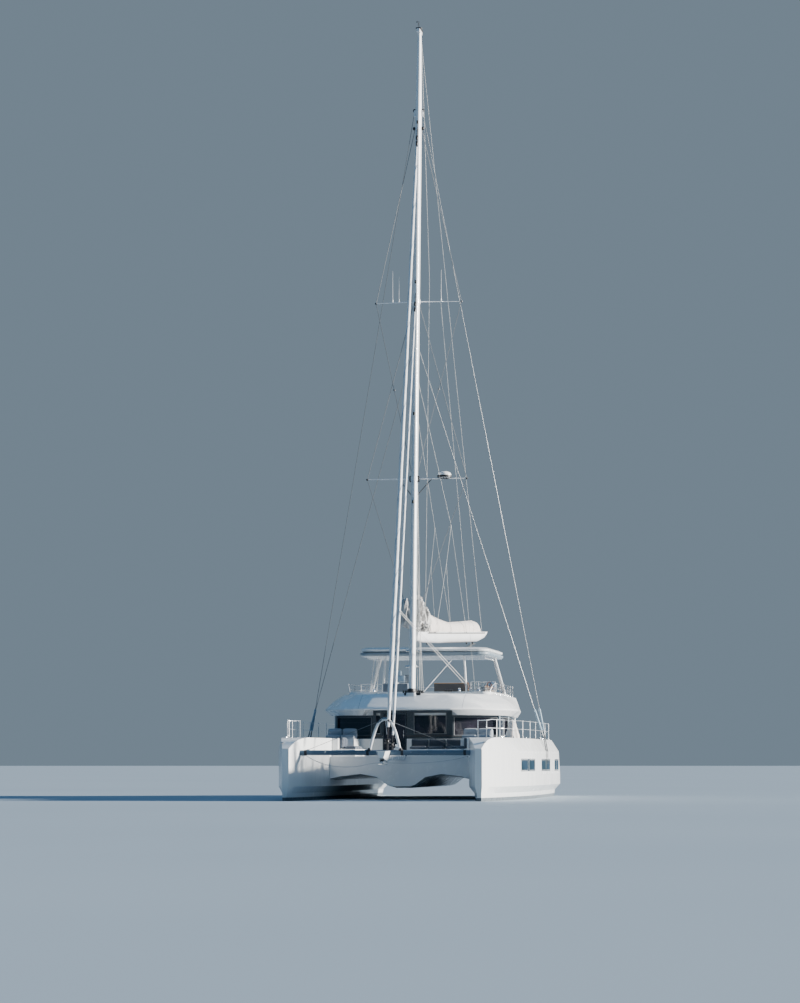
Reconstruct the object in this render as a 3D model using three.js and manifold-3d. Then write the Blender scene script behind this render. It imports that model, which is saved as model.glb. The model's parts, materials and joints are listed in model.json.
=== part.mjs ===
// Sailing catamaran with a flybridge, afloat with its sails furled.
// Millimetres. +X is port, +Y is aft, +Z is up.
// The origin is on the centreline, amidships, at the waterline.
import * as THREE from 'three';
import { mergeVertices } from 'three/addons/utils/BufferGeometryUtils.js';
import Module from 'manifold-3d';

const wasm = await Module();
wasm.setup();

// Driving dimensions: main sizes
const LENGTH = 17000;
const HULL_X = 3520;
const DECK_Z = 2240;
const SOLE_Z = 1450;
const GAP = 0.3;
const CLEARANCE = 6;
const RUNNING_FIT = 0.5;
const SHAFT_SIDES = 24;

// Driving dimensions: hull section
const CHINE_Z = 500;
const KNUCKLE_Z = 1780;
const FACET = { z: 270, share: 0.14 };
const BEVEL = 250;
const STEP_START = 14300;
const STEP_DEPTH = 520;
const STEP_COUNT = 5;
const PLATFORM_Z = 500;
const BULWARK_U = 800;

// Driving dimensions: cabin and roof
const WALL = 60;
const GLASS = 12;
const SILL_Z = 2360;
const ROOF_Z = 3120;
const BROW_Z = 3300;
const BROW_X = 1620;
const ROOF_TIP_Z = 3330;
const ROOF_TOP_Z = 3930;
const FLY_SOLE_Z = 3500;
const CABIN_FRONT = 6900;
const CABIN_BACK = 12600;
const HARDTOP_Z = 5450;

// Driving dimensions: rig
const MAST_FOOT = { aft: 6800, z: 3960 };
const MAST_HEAD = { aft: 8700, z: 29800 };
const MAST_HALF = { x: 125, y: 210 };
const HOUNDS_Z = 26500;
const LOWER_HOUNDS_Z = 17100;
const GENOA_TACK = { aft: 1250, z: 1990 };
const GENOA_HEAD_Z = 26000;
const STAYSAIL_TACK = { aft: 2300, z: 1880 };
const STAYSAIL_HEAD_Z = 19400;
const CHAINPLATE = { lean: 95, z: 2300, half: 50, thick: 14, let: 20, bottom: 1300, top: 2350 };
const WIRE_R = 9;

// Driving dimensions: boom
const GOOSENECK = { aft: 7290, z: 6060 };
const BOOM_LENGTH = 7900;
const BOOM_TOP = 6273;
const BOOM_RISE = 340;
const BOOM_SWING = THREE.MathUtils.degToRad(11.6);

// Driving dimensions: bow gear
const BEAM = { half: 3400, aft: 760, z: 1700, r: 90 };
const LONGERON = { half: 175, bottom: 1450, top: 1750, back: 4200 };
const NET_Z = 1620;
const RAIL_H = 640;

// Driving dimensions: steering and drive
const RUDDER = { aft: 14750, top: -430, bottom: -1350, chord: 700, stock: 40 };
const DRIVE = { aft: 13600, z: -920 };
const PROPELLER = { aft: 13900, r: 250, hub: 70, shaft: 22 };

const SIDES = [['port', 1], ['starboard', -1]];
const aft = (distance) => distance - LENGTH / 2;
const at = (x, distance, z) => new THREE.Vector3(x, aft(distance), z);
const mastY = (z) => {
  const share = (z - MAST_FOOT.z) / (MAST_HEAD.z - MAST_FOOT.z);
  return THREE.MathUtils.lerp(MAST_FOOT.aft, MAST_HEAD.aft, share);
};

// Solids

function solid(geometry) {
  const bare = geometry.index ? geometry.toNonIndexed() : geometry.clone();
  bare.deleteAttribute('normal');
  bare.deleteAttribute('uv');
  const merged = mergeVertices(bare, 1e-3);
  const triVerts = new Uint32Array(merged.index.array);
  const vertProperties = merged.attributes.position.array;
  return new wasm.Manifold(new wasm.Mesh({ numProp: 3, vertProperties, triVerts }));
}

const join = (solids) => solids.reduce((all, one) => all.add(one));
const cut = (body, tools) => tools.reduce((left, tool) => left.subtract(tool), body);

function block(x0, x1, back0, back1, z0, z1) {
  const size = [Math.abs(x1 - x0), Math.abs(back1 - back0), Math.abs(z1 - z0)];
  const box = new THREE.BoxGeometry(...size);
  box.translate((x0 + x1) / 2, aft((back0 + back1) / 2), (z0 + z1) / 2);
  return solid(box);
}

// Blocks joined into one piece; columns: x from and to, aft from and to, bottom and top.
const blocks = (rows) => join(rows.map((row) => block(...row)));

// A solid through rings of equal numbers of points, closed by a flat fan at each end.
function loft(rings) {
  const count = rings[0].length;
  const points = rings.flat();
  const faces = [];
  for (let ring = 0; ring + 1 < rings.length; ring += 1) {
    for (let i = 0; i < count; i += 1) {
      const a = ring * count + i;
      const b = ring * count + ((i + 1) % count);
      faces.push([a, b, a + count], [b, b + count, a + count]);
    }
  }
  for (const ring of [0, rings.length - 1]) {
    const middle = points.length;
    const sum = rings[ring].reduce((total, p) => total.add(p), new THREE.Vector3());
    points.push(sum.divideScalar(count));
    for (let i = 0; i < count; i += 1) {
      const a = ring * count + i;
      const b = ring * count + ((i + 1) % count);
      faces.push(ring === 0 ? [b, a, middle] : [a, b, middle]);
    }
  }
  return solidOfFaces(points, faces);
}

function solidOfFaces(points, faces) {
  const volume = faces.reduce((total, [a, b, c]) => (
    total + points[a].dot(new THREE.Vector3().crossVectors(points[b], points[c]))
  ), 0);
  const outward = volume < 0 ? faces.map(([a, b, c]) => [a, c, b]) : faces;
  const geometry = new THREE.BufferGeometry().setFromPoints(points);
  geometry.setIndex(outward.flat());
  return solid(geometry);
}

// A prism from an outline of [a, b] pairs: axis x takes (aft, z), axis y (x, z), axis z (x, aft).
function prism(axis, outline, from, to) {
  const place = {
    x: ([a, b], along) => at(along, a, b),
    y: ([a, b], along) => at(a, along, b),
    z: ([a, b], along) => at(a, b, along),
  }[axis];
  const flat = outline.map(([a, b]) => new THREE.Vector2(a, b));
  const caps = THREE.ShapeUtils.triangulateShape(flat, []);
  const count = outline.length;
  const points = [from, to].flatMap((along) => outline.map((p) => place(p, along)));
  const turned = THREE.ShapeUtils.isClockWise(flat);
  const faces = caps.flatMap(([a, b, c]) => [[a, b, c], [a + count, c + count, b + count]]);
  outline.forEach((_, i) => {
    const next = (i + 1) % count;
    const side = turned ? [next, i] : [i, next];
    faces.push([side[1], side[0], side[0] + count], [side[1], side[0] + count, side[1] + count]);
  });
  return solidOfFaces(points, faces);
}

function rod(from, to, radius, sides = 8, endRadius = radius) {
  const way = new THREE.Vector3().subVectors(to, from);
  const geometry = new THREE.CylinderGeometry(endRadius, radius, way.length(), sides);
  const turn = new THREE.Quaternion().setFromUnitVectors(new THREE.Vector3(0, 1, 0), way.clone().normalize());
  geometry.applyQuaternion(turn);
  geometry.translate(...from.clone().add(to).divideScalar(2).toArray());
  return solid(geometry);
}

// A tube along a smooth curve through the given points.
function tube(points, radius, { sides = 8, steps = 24 } = {}) {
  const section = new THREE.Shape(Array.from({ length: sides }, (_, i) => {
    const angle = (2 * Math.PI * i) / sides;
    return new THREE.Vector2(radius * Math.cos(angle), radius * Math.sin(angle));
  }));
  const extrudePath = new THREE.CatmullRomCurve3(points, false, 'centripetal');
  return solid(new THREE.ExtrudeGeometry(section, { steps, extrudePath, bevelEnabled: false }));
}

// Straight rods joined by small balls.
const ELBOW = 1.15;
const bent = (points, radius, sides = 6) => join(points.slice(1).flatMap((point, i) => {
  const piece = [rod(points[i], point, radius, sides)];
  if (i > 0) {
    const elbow = new THREE.SphereGeometry(radius * ELBOW, sides, 4);
    piece.push(solid(elbow.translate(...points[i].toArray())));
  }
  return piece;
}));

// A closed outline in (x, aft), symmetric about the centreline, with its corners rounded.
function roundedOutline(halfWidth, front, back, radius, segments = 4) {
  const corners = [
    [halfWidth - radius, back - radius, 0],
    [-halfWidth + radius, back - radius, 1],
    [-halfWidth + radius, front + radius, 2],
    [halfWidth - radius, front + radius, 3],
  ];
  return corners.flatMap(([x, y, quarter]) => Array.from({ length: segments + 1 }, (_, i) => {
    const angle = (Math.PI / 2) * (quarter + i / segments);
    return [x + radius * Math.cos(angle), y + radius * Math.sin(angle)];
  }));
}

const ringAt = (outline, z) => outline.map(([x, y]) => at(x, y, z));
const stack = (layers) => loft(layers.map(([outline, z]) => ringAt(outline, z)));

// The same outline, moved inwards by a distance; the outline is convex.
function inset(outline, distance) {
  const turned = THREE.ShapeUtils.isClockWise(outline.map(([a, b]) => new THREE.Vector2(a, b)));
  const way = turned ? -1 : 1;
  const edges = outline.map(([x, y], i) => {
    const [nx, ny] = outline[(i + 1) % outline.length];
    const length = Math.hypot(nx - x, ny - y);
    const normal = [(-(ny - y) / length) * way, ((nx - x) / length) * way];
    return { x: x + normal[0] * distance, y: y + normal[1] * distance, dx: nx - x, dy: ny - y };
  });
  return edges.map((edge, i) => {
    const last = edges[(i + edges.length - 1) % edges.length];
    const cross = last.dx * edge.dy - last.dy * edge.dx;
    const share = ((edge.x - last.x) * edge.dy - (edge.y - last.y) * edge.dx) / cross;
    return [last.x + last.dx * share, last.y + last.dy * share];
  });
}

// Materials

const FINISH = {
  gelcoat: [0xf1f1ee, 0.3, 0],
  glass: [0x1c2226, 0.08, 0],
  steel: [0xc9ccce, 0.22, 1],
  aluminium: [0xd9dcdd, 0.4, 0.9],
  paintedSpar: [0xe9ebec, 0.35, 0.1],
  iron: [0x55595b, 0.7, 0.4],
  bronze: [0x9a7a45, 0.45, 0.9],
  canvas: [0xd9d6cb, 0.9, 0],
  cushion: [0x6f7f8d, 0.9, 0],
  net: [0xb9c0c4, 0.9, 0],
  rope: [0xe6e6e0, 0.9, 0],
  wood: [0x8a6a4a, 0.6, 0],
  keelPaint: [0x3c4043, 0.8, 0],
};

const catamaran = new THREE.Group();

function add(name, body, finish) {
  const mesh = body.getMesh();
  const geometry = new THREE.BufferGeometry();
  geometry.setAttribute('position', new THREE.BufferAttribute(mesh.vertProperties, 3));
  geometry.setIndex(new THREE.BufferAttribute(mesh.triVerts, 1));
  geometry.computeVertexNormals();
  const [color, roughness, metalness] = FINISH[finish];
  const material = new THREE.MeshStandardMaterial({ color, roughness, metalness });
  const piece = new THREE.Mesh(geometry, material);
  piece.name = name;
  catamaran.add(piece);
}

// Hulls

// Columns: aft of the stem, outboard and inboard half-breadth of the topsides,
// outboard and inboard half-breadth at the waterline, height of the keel line, height of the deck.
const HULL_ROWS = [
  [0, 45, 200, 20, 120, -260, 1840],
  [350, 180, 340, 95, 210, -400, 2070],
  [800, 310, 490, 180, 300, -480, 2190],
  [2000, 570, 680, 370, 430, -620, DECK_Z],
  [4600, 930, 900, 680, 620, -800, DECK_Z],
  [7200, 1130, 1000, 850, 740, -820, DECK_Z],
  [10500, 1180, 1000, 860, 760, -780, DECK_Z],
  [14900, 1100, 1000, 800, 720, -310, DECK_Z],
  [LENGTH, 950, 900, 700, 640, -50, DECK_Z],
];
const HULL_STATIONS = [
  0, 150, 350, 600, 900, 1400, 2000, 2900, 4000, 5200, 6400, 7600,
  9000, 10500, 12000, 13200, 14300, 15200, 16100, LENGTH,
];
const BILGE = { share: 0.58, depth: 0.74 };
const hullLines = new THREE.CubicInterpolant(
  HULL_ROWS.map((row) => row[0]),
  HULL_ROWS.flatMap((row) => row.slice(1)),
  HULL_ROWS[0].length - 1,
  new Float64Array(HULL_ROWS[0].length - 1),
);

function hullSection(station) {
  const [outer, inner, outerWater, innerWater, keel, deck] = hullLines.evaluate(station);
  const top = Math.min(deck, DECK_Z);
  const knuckle = Math.min(KNUCKLE_Z, top - 60);
  const bevel = BEVEL * Math.min(1, outer / 1000);
  const middle = (outerWater - innerWater) / 2;
  const facet = (water, above) => THREE.MathUtils.lerp(water, above, FACET.share);
  return [
    [middle, keel],
    [outerWater * BILGE.share, keel * BILGE.depth],
    [outerWater, 0],
    [facet(outerWater, outer), FACET.z],
    [outer, CHINE_Z],
    [outer, knuckle],
    [outer - bevel, top],
    [-inner, top],
    [-inner, CHINE_Z],
    [-facet(innerWater, inner), FACET.z],
    [-innerWater, 0],
    [-innerWater * BILGE.share, keel * BILGE.depth],
  ];
}

// The hull's outer form, moved inboard and up by the given distances.
function hullForm(side, inboard = 0, up = 0) {
  return loft(HULL_STATIONS.map((station) => (
    hullSection(station).map(([u, z]) => at(side * (HULL_X + u - inboard), station, z + up))
  )));
}

const ENGINE_ROOM = { half: 480, front: 12800, back: 14050, bottom: -150, top: 1900 };
const HATCH = { half: 420, front: 12980, back: 13780, thick: 40, ledge: 60 };
const BRIDLE_R = 11;
const BRIDLE_EYE = { x: 2950, aft: 870, port: 1560, starboard: 1600, half: 28 };
const bridleEye = (side, grow = 0) => {
  const z = side > 0 ? BRIDLE_EYE.port : BRIDLE_EYE.starboard;
  const half = BRIDLE_EYE.half + grow;
  return block(
    side * (BRIDLE_EYE.x - grow), side * (HULL_X - 300),
    BRIDLE_EYE.aft - half, BRIDLE_EYE.aft + half, z - half, z + half,
  );
};
const STERN_X = { inner: 1300, past: 17300 };
const LADDER = {
  x: -3300, half: 190, aft: LENGTH + 32, z: PLATFORM_Z - 30, length: 900, r: 14, pin: 30, lug: 24,
};

const ladderLugs = () => [-1, 1].map((way) => {
  const inner = LADDER.x + way * (LADDER.half + LADDER.pin + GAP);
  return block(
    inner, inner + way * LADDER.lug, LENGTH - 40, LADDER.aft + 20, LADDER.z - 25, LADDER.z + 25,
  );
});

function sternSteps(side) {
  const rise = (DECK_Z - PLATFORM_Z) / STEP_COUNT;
  const steps = Array.from({ length: STEP_COUNT }, (_, i) => block(
    side * (HULL_X - STERN_X.inner), side * (HULL_X + BULWARK_U),
    STEP_START + i * STEP_DEPTH, STERN_X.past, DECK_Z - (i + 1) * rise, DECK_Z + 400,
  ));
  const bulwark = prism('x', [
    [14700, DECK_Z], [17300, 720], [17300, DECK_Z + 400], [14700, DECK_Z + 400],
  ], side * (HULL_X + BULWARK_U - 50), side * (HULL_X + 1400));
  return [...steps, bulwark];
}

function hull(side) {
  const hatch = HATCH.half + CLEARANCE;
  const room = block(
    side * (HULL_X - ENGINE_ROOM.half), side * (HULL_X + ENGINE_ROOM.half),
    ENGINE_ROOM.front, ENGINE_ROOM.back, ENGINE_ROOM.bottom, ENGINE_ROOM.top,
  );
  const manhole = block(
    side * (HULL_X - HATCH.half + HATCH.ledge), side * (HULL_X + HATCH.half - HATCH.ledge),
    HATCH.front + HATCH.ledge, HATCH.back - HATCH.ledge, ENGINE_ROOM.top - 50, DECK_Z + 100,
  );
  const rebate = block(
    side * (HULL_X - hatch), side * (HULL_X + hatch), HATCH.front - CLEARANCE,
    HATCH.back + CLEARANCE, DECK_Z - HATCH.thick - CLEARANCE, DECK_Z + 100,
  );
  const stockBore = rod(
    at(side * HULL_X, RUDDER.aft, -700), at(side * HULL_X, RUDDER.aft, 0),
    RUDDER.stock + RUNNING_FIT, SHAFT_SIDES,
  );
  const form = cut(hullForm(side), [room, manhole, rebate, stockBore, ...sternSteps(side)]);
  const eye = bridleEye(side);
  return join(side < 0 ? [form, eye, ...ladderLugs()] : [form, eye]);
}

for (const [name, side] of SIDES) add(`hull_${name}`, hull(side), 'gelcoat');

// Keels, rudders and drives

const KEEL = { front: 6500, back: 9800, bottom: -1500, top: -700, half: 175 };

function foil(x, front, back, z, half) {
  const chord = back - front;
  const profile = [[0, 0], [0.12, 0.75], [0.35, 1], [0.7, 0.6], [1, 0.06]];
  const port = profile.map(([share, width]) => at(x + half * width, front + chord * share, z));
  const starboard = profile.slice(1).reverse().map(([share, width]) => (
    at(x - half * width, front + chord * share, z)
  ));
  return [...port, ...starboard];
}

for (const [name, side] of SIDES) {
  const x = side * HULL_X;
  const fin = loft([
    foil(x, KEEL.front + 350, KEEL.back - 250, KEEL.bottom, KEEL.half * 0.8),
    foil(x, KEEL.front, KEEL.back, KEEL.top, KEEL.half),
  ]);
  add(`keel_${name}`, cut(fin, [hullForm(side, 0, -GAP)]), 'keelPaint');
}

for (const [name, side] of SIDES) {
  const x = side * HULL_X;
  const front = RUDDER.aft - 230;
  const blade = loft([
    foil(x, front + 60, front + RUDDER.chord - 60, RUDDER.bottom, 35),
    foil(x, front, front + RUDDER.chord, RUDDER.top, 52),
  ]);
  const stock = rod(
    at(x, RUDDER.aft, RUDDER.bottom + 300), at(x, RUDDER.aft, -5), RUDDER.stock, SHAFT_SIDES,
  );
  add(`rudder_${name}`, join([blade, stock]), 'keelPaint');
}

const LEG = { front: 13380, back: 13760, top: -300, bottom: -1010, half: 70 };
for (const [name, side] of SIDES) {
  const x = side * HULL_X;
  const strut = loft([
    foil(x, LEG.front + 60, LEG.back - 60, LEG.bottom, LEG.half * 0.6),
    foil(x, LEG.front, LEG.back, LEG.top, LEG.half),
  ]);
  const bullet = rod(at(x, DRIVE.aft - 260, DRIVE.z), at(x, DRIVE.aft + 220, DRIVE.z), 75, 12, 60);
  const shaft = rod(
    at(x, DRIVE.aft, DRIVE.z), at(x, PROPELLER.aft + 130, DRIVE.z), PROPELLER.shaft, SHAFT_SIDES,
  );
  add(`saildrive_${name}`, cut(join([strut, bullet, shaft]), [hullForm(side, 0, -GAP)]), 'aluminium');
}

const BLADES = 3;
for (const [name, side] of SIDES) {
  const x = side * HULL_X;
  const hubFront = at(x, PROPELLER.aft - 70, DRIVE.z);
  const hubBack = at(x, PROPELLER.aft + 90, DRIVE.z);
  const hub = rod(hubFront, hubBack, PROPELLER.hub, 12, PROPELLER.hub * 0.8);
  const blades = Array.from({ length: BLADES }, (_, i) => {
    const blade = new THREE.BoxGeometry(150, 14, PROPELLER.r - 40);
    blade.translate(0, 0, (PROPELLER.r + 40) / 2);
    blade.rotateZ(side * 0.5);
    blade.rotateY((2 * Math.PI * i) / BLADES);
    blade.translate(x, aft(PROPELLER.aft), DRIVE.z);
    return solid(blade);
  });
  const bore = rod(
    at(x, DRIVE.aft, DRIVE.z), at(x, PROPELLER.aft + 300, DRIVE.z),
    PROPELLER.shaft + RUNNING_FIT, SHAFT_SIDES,
  );
  add(`propeller_${name}`, cut(join([hub, ...blades]), [bore]), 'bronze');
}

// Engines under their hatches

const ENGINE = { half: 300, front: 13080, back: 13930, bottom: ENGINE_ROOM.bottom + GAP, top: 560 };
for (const [name, side] of SIDES) {
  const x = side * HULL_X;
  add(`engine_${name}`, block(
    x - ENGINE.half, x + ENGINE.half, ENGINE.front, ENGINE.back, ENGINE.bottom, ENGINE.top,
  ), 'iron');
}

const HINGE = {
  r: 13, x: 280, half: 50, aft: HATCH.front - 20, seat: HATCH.front + 30, back: HATCH.front + 90,
};
for (const [name, side] of SIDES) {
  const x = side * HULL_X;
  const lid = block(
    x - HATCH.half, x + HATCH.half, HATCH.front, HATCH.back, DECK_Z - HATCH.thick, DECK_Z,
  );
  const hinges = [-HINGE.x, HINGE.x].flatMap((offset) => {
    const z = DECK_Z + HINGE.r + GAP;
    const [from, to] = [x + offset - HINGE.half, x + offset + HINGE.half];
    return [
      rod(at(from - 10, HINGE.aft, z), at(to + 10, HINGE.aft, z), HINGE.r, 10),
      block(from, to, HINGE.aft, HINGE.back, z - 5, z + 5),
      block(from, to, HINGE.seat, HINGE.back, DECK_Z - 5, z),
    ];
  });
  add(`engine_hatch_${name}`, join([lid, ...hinges]), 'gelcoat');
}

// Bridgedeck between the hulls, with its tunnels, cockpits and saloon sole

const BRIDGE = { front: 4200, back: 15800, half: 3000, beamTop: 1580 };
// Columns: half-breadth, height of the underside.
const UNDERSIDE = [[BRIDGE.half, 620], [2200, 790], [1500, 870], [900, 760], [520, 480], [300, 420]];
// Columns: aft, rise of the underside there above its lowest run.
const UNDERSIDE_RISE = [[BRIDGE.front, 60], [5000, 0], [14500, 0], [BRIDGE.back, 240]];

function bridgeSection(station, rise) {
  const port = UNDERSIDE.map(([x, z]) => at(x, station, z + rise));
  const starboard = [...UNDERSIDE].reverse().map(([x, z]) => at(-x, station, z + rise));
  return [at(BRIDGE.half, station, DECK_Z), ...port, ...starboard, at(-BRIDGE.half, station, DECK_Z)];
}

const WELL = { half: 2400, aftHalf: 2000, narrow: 5650, front: 4500, back: CABIN_FRONT };
const BENCH = { depth: 650, z: 1850 };
const SALOON = { half: 2380, front: CABIN_FRONT + WALL, back: CABIN_BACK };
const COCKPIT = { half: 2380, front: CABIN_BACK, back: 15600 };
const DOOR = { x0: -1130, x1: -230, bottom: 1490, top: 3240, thick: 45 };
const AFT_DOOR = { half: 700, thick: 40, top: 3040, rail: 30 };

const forwardWell = join([
  block(
    -WELL.half + BENCH.depth, WELL.half - BENCH.depth, WELL.front, WELL.back - BENCH.depth,
    SOLE_Z, DECK_Z + 50,
  ),
  block(-WELL.half + BENCH.depth, DOOR.x1 + 150, WELL.front, WELL.back, SOLE_Z, DECK_Z + 50),
  block(-WELL.half, WELL.half, WELL.front, WELL.narrow, BENCH.z, DECK_Z + 50),
  block(-WELL.aftHalf, WELL.aftHalf, WELL.front, WELL.back, BENCH.z, DECK_Z + 50),
]);
const beamStep = block(-3200, 3200, BRIDGE.front - 100, WELL.front, BRIDGE.beamTop, DECK_Z + 50);
const saloonWell = join([
  block(-SALOON.half, SALOON.half, SALOON.front, SALOON.back, SOLE_Z, DECK_Z + 50),
  block(DOOR.x0 - CLEARANCE, DOOR.x1 + CLEARANCE, CABIN_FRONT - 50, SALOON.front + 50, SOLE_Z, DECK_Z + 50),
]);
const cockpitWell = join([
  block(-COCKPIT.half, COCKPIT.half, COCKPIT.front - 50, COCKPIT.back, SOLE_Z, DECK_Z + 50),
  ...SIDES.map(([, side]) => block(side * 2300, side * 3100, 14870, 15330, 1550, DECK_Z + 50)),
]);
const TRANSOM_BENCH = { front: 15000, half: 1650 };
const transomBench = join([
  block(
    -TRANSOM_BENCH.half, TRANSOM_BENCH.half, TRANSOM_BENCH.front, COCKPIT.back + 50,
    SOLE_Z - 50, BENCH.z,
  ),
  block(1300, COCKPIT.half + 50, 12900, 14600, SOLE_Z - 50, BENCH.z),
]);

const bridgedeck = cut(
  join([
    cut(
      loft(UNDERSIDE_RISE.map(([station, rise]) => bridgeSection(station, rise))),
      [forwardWell, beamStep, saloonWell, cockpitWell],
    ),
    transomBench,
  ]),
  SIDES.map(([, side]) => hullForm(side, GAP)),
);
add('bridgedeck', bridgedeck, 'gelcoat');

// Cabin walls, glass and doors

const CABIN = [
  [1500, CABIN_FRONT], [3150, 8000], [3300, 9500], [3050, CABIN_BACK],
  [-3050, CABIN_BACK], [-3300, 9500], [-3150, 8000], [-1500, CABIN_FRONT],
];
const WALL_BOTTOM = DECK_Z + GAP;
const WALL_TOP = ROOF_Z - GAP;
const WINDOW_TOP = 3060;

function wallShell(outline, thick, from, to) {
  return prism('z', outline, from, to).subtract(prism('z', inset(outline, thick), from - 50, to + 50));
}

// A window cut through the wall between two corners of the cabin, with a pillar left at each end.
function windowCut(from, to, pillar, bottom, top) {
  const length = Math.hypot(to[0] - from[0], to[1] - from[1]);
  const geometry = new THREE.BoxGeometry(length - 2 * pillar, 6 * WALL, top - bottom);
  geometry.rotateZ(Math.atan2(to[1] - from[1], to[0] - from[0]));
  geometry.translate((from[0] + to[0]) / 2, aft((from[1] + to[1]) / 2), (bottom + top) / 2);
  return solid(geometry);
}

const PILLAR = 90;
const windows = [
  windowCut([50, CABIN_FRONT], [1290, CABIN_FRONT], 0, SILL_Z + 60, BROW_Z - 80),
  windowCut([-1400, CABIN_FRONT], [-1230, CABIN_FRONT], 0, SILL_Z + 60, BROW_Z - 80),
  ...SIDES.flatMap(([, side]) => [
    windowCut([side * 1500, CABIN_FRONT], [side * 3150, 8000], PILLAR, SILL_Z, WINDOW_TOP),
    windowCut([side * 3150, 8000], [side * 3300, 9500], PILLAR, SILL_Z, WINDOW_TOP),
    windowCut([side * 3300, 9500], [side * 3175, 11050], PILLAR, SILL_Z, WINDOW_TOP),
    windowCut([side * 3175, 11050], [side * 3050, CABIN_BACK], PILLAR, SILL_Z, WINDOW_TOP),
    windowCut([side * 800, CABIN_BACK], [side * 2950, CABIN_BACK], PILLAR, SILL_Z, AFT_DOOR.top - 60),
  ]),
];
const frontDoorway = block(
  DOOR.x0 - CLEARANCE, DOOR.x1 + CLEARANCE, CABIN_FRONT - 100, CABIN_FRONT + 200,
  SOLE_Z - 10, DOOR.top + CLEARANCE,
);
const aftDoorway = block(
  -AFT_DOOR.half + 60, AFT_DOOR.half - 60, CABIN_BACK - 200, CABIN_BACK + 100, SOLE_Z - 10, AFT_DOOR.top - 40,
);
const brow = block(-1500, 1500, CABIN_FRONT, CABIN_FRONT + WALL, WALL_TOP - 10, BROW_Z - GAP);
const aftBulkhead = block(
  -COCKPIT.half + GAP, COCKPIT.half - GAP, CABIN_BACK - WALL, CABIN_BACK, SOLE_Z + GAP, WALL_BOTTOM + 10,
);
const railHeights = [
  [SOLE_Z + GAP, SOLE_Z + AFT_DOOR.rail], [AFT_DOOR.top + GAP, AFT_DOOR.top + 40],
];
const doorRails = railHeights.map(([from, to]) => block(
  -3 * AFT_DOOR.half - 10, AFT_DOOR.half + 10,
  CABIN_BACK - 10, CABIN_BACK + CLEARANCE + AFT_DOOR.thick, from, to,
));
const KNUCKLE = {
  r: 12, height: 80, leaf: 50, thick: 4, x: DOOR.x0 - CLEARANCE / 2, aft: CABIN_FRONT - 14,
};
const HINGE_HEIGHTS = [2400, 2950];
const hingeKnuckle = (z, height, way) => [
  rod(at(KNUCKLE.x, KNUCKLE.aft, z), at(KNUCKLE.x, KNUCKLE.aft, z + height), KNUCKLE.r, 12),
  block(
    KNUCKLE.x, KNUCKLE.x + way * KNUCKLE.leaf, KNUCKLE.aft - KNUCKLE.thick, CABIN_FRONT + 5,
    z, z + height,
  ),
];
const wallKnuckles = HINGE_HEIGHTS.flatMap((z) => (
  hingeKnuckle(z - KNUCKLE.height - GAP, KNUCKLE.height, -1)
));
const doorKnuckles = HINGE_HEIGHTS.flatMap((z) => hingeKnuckle(z, KNUCKLE.height, 1));
const cabinShell = cut(
  join([wallShell(CABIN, WALL, WALL_BOTTOM, WALL_TOP), brow, aftBulkhead]),
  [...windows, frontDoorway, aftDoorway],
);
add('cabin_walls', join([cabinShell, ...doorRails, ...wallKnuckles]), 'gelcoat');

const glassOutline = inset(CABIN, WALL + GAP);
for (const [name, side] of SIDES) {
  const pane = wallShell(glassOutline, GLASS, SILL_Z - 30, WALL_TOP - 20);
  const keep = side > 0
    ? block(DOOR.x1 + 40, 3500, 6000, CABIN_BACK + 100, SILL_Z - 100, ROOF_Z)
    : block(DOOR.x0 - 40, -3500, 6000, CABIN_BACK + 100, SILL_Z - 100, ROOF_Z);
  const doorway = block(
    -AFT_DOOR.half, AFT_DOOR.half, CABIN_BACK - 300, CABIN_BACK + 100, SILL_Z - 100, ROOF_Z,
  );
  add(`saloon_glass_${name}`, pane.intersect(keep).subtract(doorway), 'glass');
}

add('front_door', join([
  block(DOOR.x0, DOOR.x1, CABIN_FRONT, CABIN_FRONT + DOOR.thick, DOOR.bottom, DOOR.top), ...doorKnuckles,
]), 'glass');

add('aft_door', block(
  -AFT_DOOR.half, AFT_DOOR.half, CABIN_BACK + CLEARANCE, CABIN_BACK + CLEARANCE + AFT_DOOR.thick,
  SOLE_Z + AFT_DOOR.rail + GAP, AFT_DOOR.top,
), 'glass');

// Saloon furniture: sofa on port, galley on starboard, chart table forward

const SALOON_SIDE = SALOON.half - GAP;
const WORKTOP_Z = DECK_Z - 30;
add('saloon_furniture', blocks([
  [1200, SALOON_SIDE, 8600, 11600, SOLE_Z + GAP, 1900],
  [1900, SALOON_SIDE, 8600, 11600, SOLE_Z + GAP, WORKTOP_Z],
  [-200, SALOON_SIDE, 8600, 9300, SOLE_Z + GAP, 1700],
  [-SALOON_SIDE, 0, 8300, 8900, SOLE_Z + GAP, WORKTOP_Z],
  [-SALOON_SIDE, -1700, 8300, 11600, SOLE_Z + GAP, WORKTOP_Z],
]), 'wood');

// Roof with the flybridge in its top

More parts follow.
